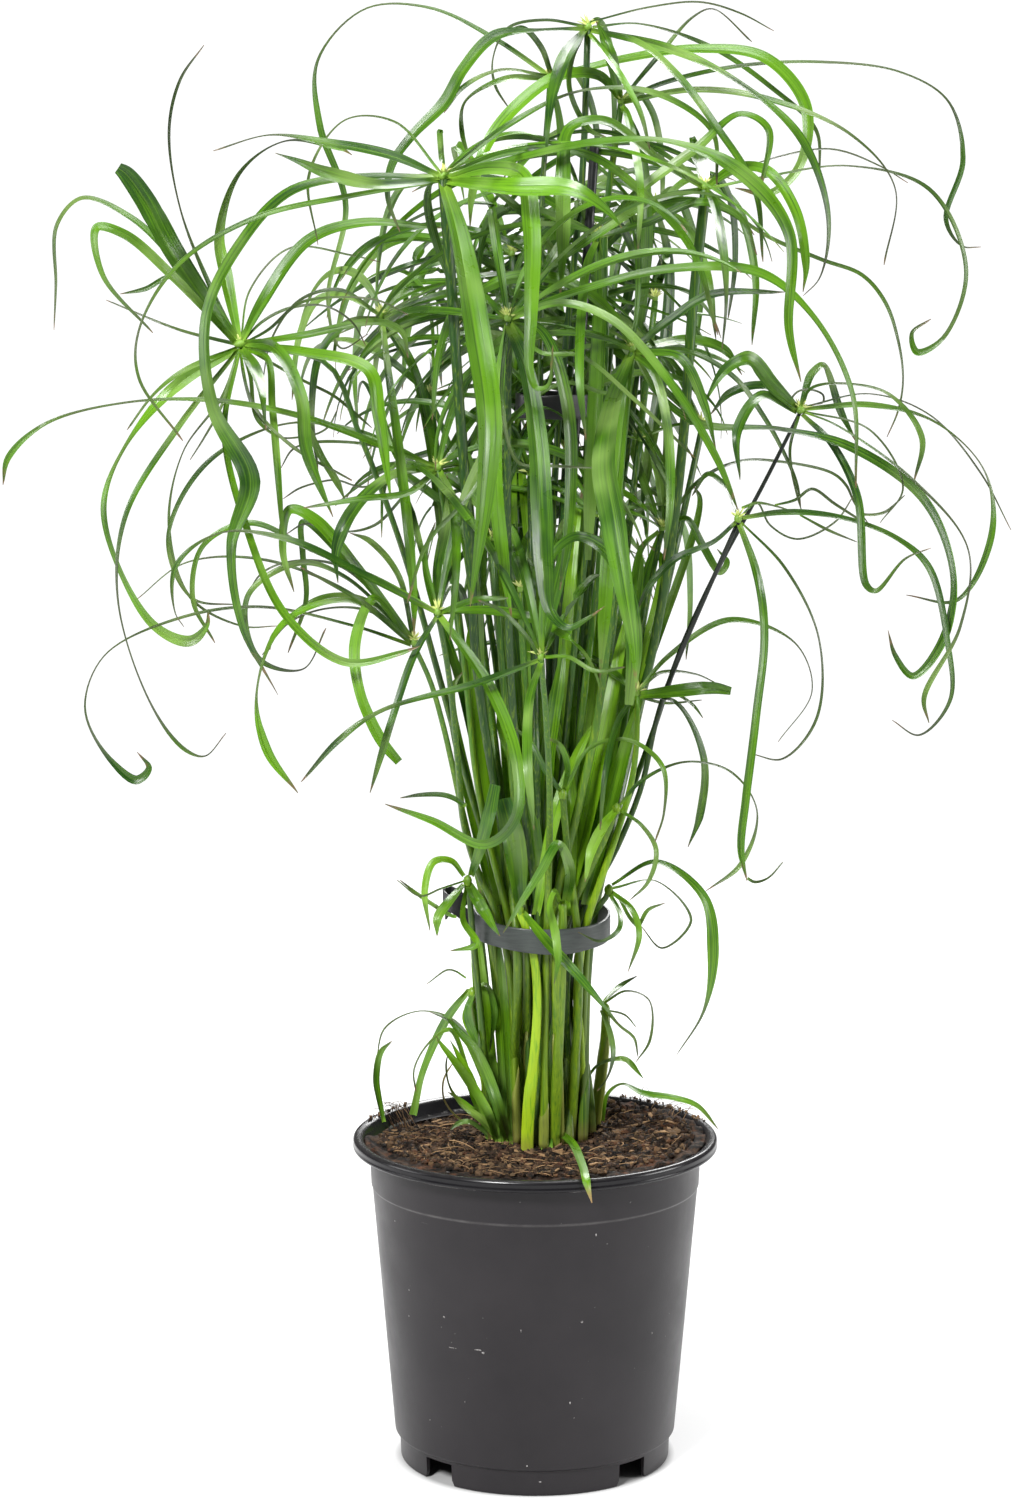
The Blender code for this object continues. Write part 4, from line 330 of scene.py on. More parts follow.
        (-0.075, (541, 662, 5), (530, 700, 8), (528, 760, 9), (534, 830, 4)),
    )),
    "o": ((662, 529, 0.03), ((655, 560), (641, 640), (625, 720), (612, 800)), (
        (0.04, (662, 525, 5), (666, 490, 11), (668, 445, 10), (662, 402, 3)),
        (-0.06, (659, 531, 4), (642, 548, 6), (632, 600, 7), (628, 660, 2)),
        (-0.03, (665, 527, 4), (686, 519, 6), (702, 545, 8), (720, 572, 7), (727, 562, 6), (717, 549, 2)),
        (0.13, (664, 526, 4), (672, 512, 6), (684, 530, 7), (690, 600, 6), (686, 660, 2)),
        (0.08, (660, 526, 4), (646, 508, 6), (632, 520, 7), (622, 570, 6), (620, 630, 2)),
    )),
    "m": ((637, 694, -0.02), ((637, 740, -0.022), (630, 790, -0.018), (618, 860)), (
        (-0.02, (640, 695, 7), (680, 691, 13), (713, 688, 12), (731, 691, 8)),
        (0.03, (639, 691, 3), (660, 673, 4), (695, 674, 3), (718, 684, 1)),
        (0.01, (640, 697, 3), (675, 702, 4), (703, 756, 7), (700, 815, 8), (688, 847, 4)),
        (0.05, (639, 690, 3), (669, 656, 5), (730, 620, 6), (795, 643, 4), (812, 691, 3), (778, 742, 1)),
        (-0.05, (635, 697, 4), (618, 722, 6), (606, 770, 6), (600, 830, 2)),
    )),
    "g": ((800, 411, -0.02), ((788, 436), (766, 480), (722, 570), (680, 660), (640, 770)), (
        (0.03, (803, 409, 4), (870, 405, 6), (935, 422, 7), (985, 472, 6), (991, 537, 7), (957, 600, 4),
         (906, 595, 1)),
        (0.12, (803, 407, 2), (870, 394, 3), (930, 415, 3), (980, 472, 2), (1011, 530, 1)),
        (-0.04, (800, 407, 3), (812, 388, 3), (850, 384, 4), (890, 395, 5), (922, 438, 6), (914, 482, 2)),
        (-0.05, (797, 409, 7), (773, 386, 14), (748, 360, 15), (725, 370, 16), (703, 405, 5)),
        (0.03, (797, 408, 4), (765, 386, 8), (730, 393, 8), (710, 415, 2)),
        (-0.07, (797, 412, 5), (762, 396, 9), (738, 430, 10), (740, 480, 3)),
        (0.05, (801, 407, 5), (812, 374, 8), (823, 366, 6), (840, 410, 8), (858, 445, 3)),
        (-0.04, (802, 414, 4), (831, 443, 7), (857, 497, 8), (866, 585, 7), (876, 591, 5), (905, 559, 5),
         (931, 548, 1)),
        (-0.02, (803, 411, 2), (870, 430, 2), (903, 488, 2), (880, 523, 1)),
        (-0.07, (803, 412, 2), (836, 425, 2), (914, 481, 3), (968, 549, 3), (960, 627, 3), (924, 698, 5),
         (929, 723, 1)),
        (-0.03, (799, 415, 3), (790, 450, 3), (797, 495, 3), (802, 512, 1)),
    )),
    "h": ((738, 520, -0.06), ((722, 560), (697, 614), (670, 680), (655, 725, 0.0), (634, 810, 0.012)), (
        (0.03, (741, 518, 4), (785, 512, 6), (843, 518, 5), (898, 539, 5), (929, 568, 7), (947, 640, 6),
         (950, 700, 4), (919, 735, 2), (892, 720, 1)),
        (-0.01, (741, 522, 2), (785, 568, 3), (819, 639, 3), (816, 720, 3), (782, 759, 2), (752, 754, 1)),
        (-0.04, (739, 523, 5), (757, 575, 8), (764, 635, 8), (756, 714, 8), (746, 798, 8), (741, 850, 7),
         (747, 881, 2)),
        (-0.03, (736, 522, 4), (715, 541, 7), (675, 559, 7), (650, 585, 6), (636, 612, 2)),
        (0.06, (737, 517, 3), (728, 490, 5), (708, 474, 5), (692, 496, 2)),
        (0.03, (740, 517, 2), (757, 503, 2), (770, 525, 2), (797, 539, 2), (835, 522, 2), (854, 495, 1)),
    )),
    "w": ((598, 236, -0.04), ((599, 300), (600, 420), (575, 640)), (
        (-0.01, (600, 233, 5), (643, 188, 9), (697, 148, 9), (740, 114, 8), (768, 129, 7), (760, 192, 3)),
        (0.03, (601, 236, 4), (647, 223, 8), (700, 202, 8), (740, 217, 8), (757, 255, 3)),
        (-0.08, (597, 240, 5), (588, 262, 8), (582, 310, 9), (580, 380, 8), (586, 440, 2)),
        (0.06, (595, 235, 4), (565, 222, 7), (530, 245, 7), (505, 300, 3)),
        (0.13, (599, 233, 4), (615, 222, 7), (632, 250, 8), (640, 310, 6), (636, 380, 2)),
    )),
    "y": ((470, 262, 0.095), ((474, 330), (484, 480), (505, 700)), (
        (0.03, (467, 260, 5), (430, 238, 8), (385, 246, 9), (350, 290, 8), (332, 360, 3)),
        (0.08, (469, 259, 5), (455, 242, 8), (430, 258, 9), (410, 320, 8), (402, 390, 3)),
        (0.06, (473, 260, 5), (505, 238, 8), (540, 252, 9), (560, 310, 8), (564, 380, 3)),
        (-0.05, (472, 265, 5), (496, 282, 8), (512, 330, 8), (514, 400, 3)),
        (-0.02, (468, 263, 5), (436, 262, 8), (400, 290, 8), (378, 350, 6), (374, 410, 2)),
        (0.105, (471, 259, 4), (486, 246, 7), (500, 280, 8), (506, 350, 7), (500, 430, 2)),
    )),
    "z": ((655, 205, 0.10), ((645, 300), (628, 450), (590, 680)), (
        (0.02, (652, 203, 5), (620, 182, 8), (585, 200, 9), (560, 260, 8), (552, 330, 3)),
        (0.04, (658, 203, 5), (695, 178, 8), (735, 205, 9), (755, 275, 8), (752, 345, 3)),
        (0.085, (656, 202, 5), (672, 190, 8), (690, 225, 9), (700, 290, 8), (694, 360, 3)),
        (-0.05, (657, 208, 5), (682, 222, 8), (706, 270, 8), (716, 340, 3)),
        (0.10, (654, 202, 4), (640, 192, 7), (622, 225, 8), (612, 290, 7), (616, 360, 2)),
    )),
}

# Young shoots low in the bundle, described as the crowns are
SHOOTS = {
    "upper_right": ((617, 808, -0.02), (), (
        (-0.03, (620, 805, 3), (640, 782, 4), (685, 762, 5), (731, 772, 4), (757, 811, 4), (741, 864, 5),
         (706, 891, 1)),
        (-0.03, (616, 810, 6), (604, 826, 10), (592, 850, 10), (585, 882, 4)),
        (-0.02, (620, 810, 3), (642, 826, 4), (656, 850, 5), (648, 882, 4), (630, 900, 1)),
    )),
    "inner": ((563, 793, -0.04), ((568, 850),), (
        (-0.01, (565, 790, 3), (590, 748, 4), (628, 740, 4), (662, 766, 5), (664, 812, 4), (655, 842, 2)),
        (-0.02, (561, 792, 4), (545, 770, 6), (530, 742, 5), (515, 728, 2)),
        (-0.04, (564, 789, 4), (568, 768, 6), (560, 745, 5), (548, 738, 2)),
    )),
    "right": ((609, 889, -0.002), (), (
        (-0.01, (612, 885, 3), (656, 862, 5), (703, 896, 9), (713, 950, 12), (704, 1010, 5),
         (676, 1056, 1)),
        (0.03, (613, 888, 3), (656, 881, 3), (691, 920, 3), (662, 948, 2), (641, 926, 1)),
        (-0.03, (612, 892, 4), (632, 910, 6), (639, 935, 6), (628, 972, 1)),
        (-0.05, (610, 894, 4), (620, 915, 5), (618, 930, 5), (600, 941, 3), (578, 932, 1)),
    )),
    "left": ((468, 880, -0.02), (), (
        (-0.01, (464, 876, 4), (451, 861, 6), (434, 862, 7), (425, 890, 7), (430, 931, 2)),
        (-0.03, (469, 885, 8), (477, 900, 12), (490, 922, 9), (500, 936, 3)),
        (-0.03, (464, 884, 4), (449, 902, 9), (438, 918, 9), (437, 936, 4)),
        (-0.02, (471, 876, 6), (480, 850, 11), (488, 820, 13), (495, 785, 11)),
        (-0.02, (464, 881, 2), (440, 889, 2), (420, 896, 2), (397, 880, 1)),
        (-0.045, (466, 886, 3), (463, 920, 6), (476, 944, 7), (450, 951, 3)),
    )),
    "middle": ((520, 909, -0.0195), (), (
        (-0.012, (520, 905, 10), (517, 870, 20), (511, 830, 22), (503, 799, 16)),
        (-0.045, (523, 912, 5), (545, 940, 10), (577, 975, 9), (619, 1024, 2)),
    )),
    "folded": ((563, 906, -0.018), (), (
        (-0.05, (566, 901, 8), (570, 872, 11), (558, 846, 9), (541, 872, 9), (520, 905, 7), (503, 933, 4)),
        (-0.04, (560, 902, 4), (555, 892, 5), (550, 905, 6), (556, 935, 9), (558, 962, 8), (554, 984, 2)),
    )),
    "low_right": ((606, 1008, 0.028), ((603, 1060),), (
        (-0.01, (604, 1003, 3), (626, 991, 4), (649, 1000, 4), (650, 1040, 4), (636, 1062, 1)),
        (0.03, (604, 1001, 3), (620, 986, 5), (637, 976, 1)),
        (0.0, (604, 1009, 3), (620, 1026, 3), (634, 1038, 3), (638, 1057, 1)),
        (-0.02, (601, 1010, 3), (609, 1030, 6), (613, 1055, 5), (607, 1078, 4), (597, 1091, 2)),
    )),
    "low_left": ((472, 992, 0.006), ((480, 1050),), (
        (0.06, (469, 990, 5), (446, 1021, 9), (423, 1072, 10), (411, 1104, 7)),
        (0.0, (474, 991, 4), (468, 1012, 8), (474, 1035, 8), (480, 1050, 2)),
        (-0.03, (475, 987, 3), (486, 985, 4), (494, 1010, 7), (490, 1050, 2)),
    )),
}

# Leaves that come straight out of the soil: the picture point where they root, no stem, and the leaves
SPROUTS = {
    "near_left": ((496, 1127), (), (
        (0.0, (494, 1120, 5), (479, 1096, 8), (459, 1068, 7), (437, 1040, 3)),
        (0.02, (497, 1117, 6), (486, 1080, 11), (470, 1045, 9), (450, 1018, 2)),
        (0.01, (493, 1121, 3), (470, 1076, 4), (450, 1030, 5), (428, 1044, 5), (414, 1070, 4),
         (416, 1092, 2)),
        (0.04, (497, 1116, 3), (480, 1060, 4), (455, 1022, 4), (420, 1011, 4), (385, 1028, 2),
         (376, 1063, 1)),
    )),
    "front": ((562, 1138), (), (
        ((0.004, -0.030, -0.075, -0.092, -0.0985, -0.1005), (562, 1134, 6), (572, 1143, 8),
         (582, 1165, 8), (585, 1176, 8), (588, 1188, 8), (592, 1203, 2)),
    )),
    "far_right": ((602, 1125), (), (
        (-0.04, (603, 1121, 3), (608, 1094, 4), (622, 1084, 4), (643, 1093, 6), (675, 1098, 6),
         (698, 1106, 5), (718, 1129, 2)),
    )),
}

# Where the stems stand: each one's foot in the soil and its place in the strap, in millimetres
BUNDLE = {
    "left": ((-22, 10), None), "k": ((-12.5, 8), (-26, 1)), "l": ((-9, 0), (-20.5, -9.5)),
    "middle": ((-4, -10.5), (-6.5, -19.5)), "n": ((4.5, -7), (6, -20)),
    "folded": ((9.5, -2.5), (14, -18.5)), "inner": ((19, 8), (21, -15)), "m": ((25, 17), (27.5, -9.5)),
    "right": ((29.5, 24), (31.5, 1)), "c": ((-10, 24), (-18.5, 7)), "x": ((-5.5, 13), (-15, -5)),
    "b": ((-2.5, 3.5), (-7.5, -9)), "i": ((3, 6), (1, -10)), "j": ((8, 10), (9, -8.5)),
    "upper_right": ((14, 13.5), (17, -5.5)), "h": ((19, 22), (24.5, -1)), "d": ((-5, 31), (-13, 16)),
    "p": ((1.5, 14), (-8, 3)), "a": ((4, 26), (7, 11)), "w": ((8.5, 19), (7.5, 3)),
    "e": ((12.5, 26), (14.5, 14)), "o": ((19, 31), (19.5, 6.5)), "g": ((26.5, 30), (27, 10)),
    "y": ((1.5, 34), (-8, 22)), "z": ((8, 34), (9.5, 25)), "f": ((14, 37), (20, 20)),
    "low_left": ((-21, 18.5), None), "low_right": ((32, 39), None),
}
MILLIMETRE = 0.001

# The picture's height in pixels and the camera's sensor in millimetres
PICTURE_HEIGHT = 1500
SENSOR = 36.0

# How finely leaves and stems are drawn: pixels between rings, how many rings, and steps across
FINE_SPACING = 7
FINE_RINGS = (24, 72)
WIDE_LEAF = 0.007
WIDE_STEPS = 3
NARROW_STEPS = 2
STALK_RINGS = 48
STALK_SIDES = 24

# A leaf's section and tip: thickness, fold, ripple, keel, and the angle from which an edge stays sharp
THICKNESS = 0.0003
THIN_TIP = 0.15
THIN_EDGE = 0.45
KEEL = 0.8
FOLD_ROOT = 0.6
FOLD_TIP = 0.36
RIPPLE = 0.0001
TIP_SLOPE = 0.00035
TIP_HALF = 0.00015
FULL_SHARE = 1.9
LEAST_SEEN = 1.6
CREASE = 36

# Where leaves are dry or painted with a grey shade where they are seen edge-on, and their veins
DRY_TIP = (0.80, 0.93)
DRY_TIPS = {"front": 0.85}
DULL_WIDTH = 0.0029
DULL_RANGE = 0.0020
DULL_ROOT = 0.25
BLUNT_SHOWN = 0.9
VEINS = (5.5, 2.0, 37.0)

# Stems: their ribs and grooves, the thin ones and those whose upper part is painted near-black as shade,
# streaks, and the sheath round the foot
STALK_RIB = 0.10
STALK_GROOVE = 0.022
STALK_TOP = 0.0013
THIN_STALKS = {
    "g": 0.0009, "h": 0.0010, "c": 0.0012, "k": 0.0012, "b": 0.0026, "f": 0.0026, "a": 0.0016, "i": 0.0018,
    "j": 0.0018, "e": 0.0016,
}
# Painted shade: stems whose upper parts are painted near-black, as they look deep in shade
BLACK_STALKS = "gh"
SHOOT_SHARE = 0.7
STALK_FADE = 0.33
STREAKS = (1100.0, 1100.0, 14.0)
SHEATH_HEIGHT = (0.018, 0.060)
SHEATH_GAP = 0.0004
SHEATH_MOUTH = 0.9
SHEATH_SLANT = 0.22
SHEATH_RINGS = 8
SHEATH_SAMPLES = 400
SHEATH_DRY = (-0.9, 0.3)

# How finely the pot, strap, ties and stake are drawn, and how uneven the strap is
POT_TURNS = 192
BAND_TURNS = 96
BAND_WAVER = 0.0003
BAND_LEAN = 0.0006
RIBBON_RINGS = 24
TIE_TONE = 0.5
STAKE_RINGS = 12
STAKE_TURNS = 20

# The crown's middle, a knob with a tuft of spikelets, and the cup that a shoot's leaves come from
KNOB = 0.55
KNOB_LEVELS = (-0.45, 0.85)
KNOB_RINGS = 7
SPIKELETS = (12, 18)
SPIKELET_LENGTH = (0.0035, 0.0075)
SPIKELET_RADIUS = 0.0005
SPIKELET_SHAPE = (0.5, 0.9, 1.0, 0.85, 0.5, 0.12)
SPIKELET_CLIMB = (15, 85)
SPIKELET_SAG = 0.15
CUP_LEVELS = (-1.2, 0.5)
CUP_SHAPE = (0.9, 1.1, 1.2, 1.0, 0.3)

# Inner arching leaves: sizes, heading, climb in degrees, roll, tone, number by crown, and where they keep to
SEED = 7
TRIES = 60
ROLLS = 4
INNER_RINGS = 34
INNER_SEGMENTS = 8
INNER_LENGTH = (0.12, 0.28)
INNER_WIDTH = (0.0024, 0.0062)
INNER_BACK = 0.19
ARCH_HEADING = (-0.25, math.pi + 0.25)
ARCH_FIRST = (0, 75)
ARCH_LAST = (-100, -15)
ARCH_BEND = (0.6, 1.9)
ARCH_SWERVE = 1.4
ARCH_THICK = 0.3
ARCH_TONE = (-0.4, 0.3)
ROLL = 0.9
TWIST = 1.3
INNER_LEAVES = {
    "a": 2, "p": 3, "e": 2, "b": 6, "f": 2, "d": 6, "i": 8, "j": 8, "x": 5, "l": 5, "n": 5, "o": 6, "m": 3,
    "w": 5, "y": 6, "z": 4, "h": 3, "k": 2, "g": 1, "c": 2,
}
FILL_REGION = [
    (350, 190), (400, 160), (460, 140), (520, 130), (600, 120), (680, 130), (740, 150), (780, 190),
    (790, 260), (770, 340), (740, 400), (720, 480), (700, 560), (680, 640), (660, 720), (640, 800),
    (470, 800), (455, 700), (420, 620), (370, 560), (330, 500), (300, 440), (290, 380), (300, 320),
    (320, 260), (330, 220),
]

# Inner stems, which stand between the others: where their small crowns are (u, v, depth)
INNER_STEMS = (
    (430, 395, 0.05), (455, 330, 0.07), (487, 420, 0.04), (512, 255, 0.075), (530, 475, 0.01),
    (540, 360, 0.06), (574, 300, 0.05), (566, 452, 0.03), (612, 330, 0.07), (640, 440, 0.05),
    (655, 300, 0.06), (702, 425, 0.06), (676, 505, 0.04), (492, 540, -0.01), (604, 520, 0.0),
    (463, 470, 0.05), (590, 395, 0.08), (520, 590, -0.03),
)
INNER_STEM_LEAVES = 5
INNER_STEM_RADIUS = (0.0023, 0.0016)
INNER_CLUMP = (0.62, 0.52)
INNER_LIGHTEST = 0.45
INNER_TONE = 0.35
STEM_ROOM = 0.0047
STRAP_ROOM = 0.0036

# Upright young leaves between the stems: (u, v) of the root, of the middle and of the tip, width, depth there
UPRIGHT = (
    ((500, 905), (478, 740), (470, 640), 16, 0.012), ((512, 900), (508, 730), (505, 560), 15, 0.006),
    ((520, 915), (532, 760), (528, 600), 17, 0.000), ((533, 905), (520, 700), (500, 520), 12, 0.014),
    ((540, 915), (548, 760), (563, 650), 15, -0.004), ((548, 900), (560, 720), (577, 520), 13, 0.012),
    ((556, 905), (585, 760), (600, 560), 17, 0.004), ((565, 915), (598, 770), (622, 640), 16, -0.002),
    ((573, 905), (610, 740), (640, 560), 14, 0.012), ((580, 900), (622, 730), (662, 560), 12, 0.018),
    ((586, 905), (617, 780), (640, 700), 15, 0.002), ((497, 915), (470, 800), (452, 690), 12, 0.004),
    ((527, 900), (517, 650), (515, 430), 11, 0.022), ((550, 900), (538, 640), (522, 440), 10, 0.026),
    ((562, 900), (575, 640), (588, 430), 12, 0.024), ((575, 905), (640, 690), (700, 500), 9, 0.024),
    ((507, 905), (462, 690), (425, 560), 10, 0.020), ((536, 915), (560, 800), (590, 730), 12, -0.010),
    ((544, 915), (528, 800), (500, 720), 13, -0.010), ((569, 915), (570, 790), (552, 700), 12, -0.006),
)

# Leaves from the soil at the foot of the bundle: how far the tip leans back, how dry, and (u, v, width)
LOW_LEAVES = (
    (-0.006, 0.0, (508, 1143, 7), (500, 1114, 11), (491, 1087, 12), (483, 1067, 12), (473, 1048, 10),
     (459, 1032, 7), (449, 1021, 4), (430, 1012, 2)),
    (-0.008, 0.0, (497, 1142, 6), (489, 1116, 9), (478, 1096, 10), (467, 1079, 10), (454, 1061, 8),
     (440, 1042, 5), (436, 1036, 1)),
    (-0.004, 0.0, (490, 1140, 7), (478, 1104, 11), (467, 1074, 10), (457, 1053, 6), (450, 1040, 1)),
    (-0.004, 0.0, (506, 1142, 6), (497, 1080, 7), (490, 1055, 8), (480, 1043, 9), (471, 1030, 9),
     (466, 1017, 8), (468, 1007, 5), (478, 1000, 1)),
    (-0.002, 0.0, (501, 1142, 7), (492, 1090, 8), (487, 1060, 10), (487, 1035, 11), (489, 1015, 9),
     (492, 1000, 3)),
    (-0.008, 0.1, (500, 1141, 6), (483, 1121, 8), (467, 1109, 6), (457, 1099, 4), (449, 1085, 2),
     (446, 1066, 2), (448, 1052, 1)),
    (-0.012, 0.4, (466, 1124, 2), (452, 1112, 2), (444, 1099, 2), (443, 1083, 2), (447, 1072, 2),
     (453, 1063, 1)),
    (-0.006, 0.0, (494, 1140, 4), (470, 1122, 5), (459, 1123, 5), (450, 1130, 2)),
    (-0.002, 0.0, (519, 1138, 8), (517, 1115, 9), (514, 1103, 6), (510, 1093, 1)),
    (-0.001, 0.9, (511, 1136, 6), (507, 1112, 9), (508, 1095, 6), (510, 1080, 1)),
    (0.004, 0.0, (547, 1150, 12), (545, 1110, 14), (547, 1070, 13), (551, 1035, 8), (554, 1005, 1)),
    (0.000, 0.0, (528, 1140, 4), (532, 1090, 7), (538, 1040, 8), (536, 990, 7), (533, 955, 3)),
    (0.000, 0.0, (505, 1144, 6), (500, 1050, 8), (495, 980, 8), (488, 930, 6), (480, 890, 3)),
    (0.000, 0.0, (498, 1143, 6), (492, 1060, 7), (486, 1000, 7), (480, 950, 6), (476, 905, 3)),
    (0.002, 0.0, (503, 1143, 6), (494, 1080, 9), (487, 1010, 9), (482, 950, 7), (478, 900, 4)),
    (0.002, 0.0, (495, 1142, 6), (484, 1075, 8), (478, 1010, 8), (474, 960, 6), (470, 925, 3)),
    (0.000, 0.0, (512, 1145, 6), (508, 1060, 8), (503, 990, 8), (498, 930, 5)),
    (-0.001, 0.9, (557, 1140, 5), (555, 1128, 9), (556, 1118, 3)),
)

# Leaf points where a leaf is thinner than its solid: the width seen there, in pixels
SLIMMER = {
    (540, 30): 3, (740, 83): 4.5, (820, 277): 1.5, (640, 24): 2, (493, 58): 1.5, (365, 9): 1.8,
    (318, 60): 3, (465, 102): 2.5, (500, 70): 3, (820, 62): 3, (900, 72): 2.2, (948, 101): 2.4,
    (963, 160): 5.5, (850, 134): 3, (895, 188): 1.5, (693, 17): 2.5, (713, 9): 1.5, (360, 177): 6,
    (270, 135): 1.6, (139, 330): 2.2, (672, 142): 5, (580, 91): 2.5, (395, 122): 2.4, (345, 120): 1.5,
    (755, 164): 1.8, (830, 149): 2, (880, 166): 1.6, (760, 178): 2.8, (850, 166): 1.8, (930, 190): 4.2,
    (966, 270): 4.5, (943, 338): 4.5, (726, 300): 3.5, (812, 315): 5.5, (779, 429): 4.5, (953, 575): 6.5,
    (180, 208): 1.8, (56, 285): 2.8, (180, 330): 3, (106, 300): 1.3, (155, 393): 3, (125, 447): 3.5,
    (118, 600): 2, (150, 702): 2, (205, 756): 1.5, (183, 452): 1.4, (285, 141): 1.6, (130, 402): 2.2,
    (45, 424): 3.4, (285, 424): 2, (350, 625): 3, (105, 655): 1.4, (85, 705): 2, (100, 746): 3.4,
    (272, 636): 3, (185, 563): 1.6, (248, 596): 5.5, (303, 669): 1.6, (257, 690): 2.2, (298, 793): 1.6,
    (220, 533): 1.8, (175, 612): 1.3, (203, 546): 5, (381, 711): 4, (695, 674): 2, (795, 643): 1.8,
    (812, 691): 1.3, (935, 422): 2.4, (985, 472): 1.8, (870, 394): 1.7, (930, 415): 1.7, (850, 384): 2.4,
    (890, 395): 3.4, (905, 559): 2.4, (968, 549): 1.6, (797, 495): 2, (819, 639): 2, (715, 541): 4.5,
    (740, 114): 5.5, (740, 217): 5.5, (400, 290): 5.5, (685, 762): 2.2, (731, 772): 2.4, (757, 811): 1.6,
    (664, 812): 2.4, (704, 1010): 3.3, (656, 881): 1.4, (626, 991): 2.2, (649, 1000): 1.6, (650, 1040): 3,
    (607, 1078): 1.7, (423, 1072): 7, (428, 1044): 2.2, (414, 1070): 1.8, (420, 1011): 1.4, (622, 1084): 2.5,
}

# A stem that passes behind the one beside it, and a leaf that ends elsewhere than its solid
STEMS_BEHIND = {
    "g": ((788, 436), (766, 480), (738, 531), (718, 569), (688, 632), (673, 672), (640, 770)),
}
RESHAPED = {
    ("low_left", 0): (0.035, (469, 990, 5), (446, 1021, 9), (423, 1072, 10), (413, 1115, 8)),
}

# How light each crown's leaves and each stem is, from 0 to 1, and those that aren't named
LEAF_TONE, STEM_TONE, SHOOT_TONE = 0.45, 0.2, 0.5
TONE_SPREAD = (-0.65, 0.6)
TONES = {
    "a": 0.35, "p": 0.35, "e": 0.45, "b": 0.55, "f": 0.4, "d": 0.3, "i": 0.5, "j": 0.5, "c": 0.55,
    "x": 0.5, "k": 0.6, "l": 0.35, "n": 0.4, "o": 0.5, "m": 0.6, "g": 0.35, "h": 0.35, "w": 0.4, "y": 0.25,
    "z": 0.3,
}
STEM_TONES = {
    "middle": 1.0, "n": 0.35, "m": 0.85, "x": 0.45, "folded": 0.4, "inner": 0.3, "i": 0.05, "h": 0.05,
    "right": 0.1, "l": 0.30, "k": 0.45, "left": 0.1, "b": 0.05, "j": 0.5, "upper_right": 0.4, "a": 0.05,
    "g": 0.1,
}

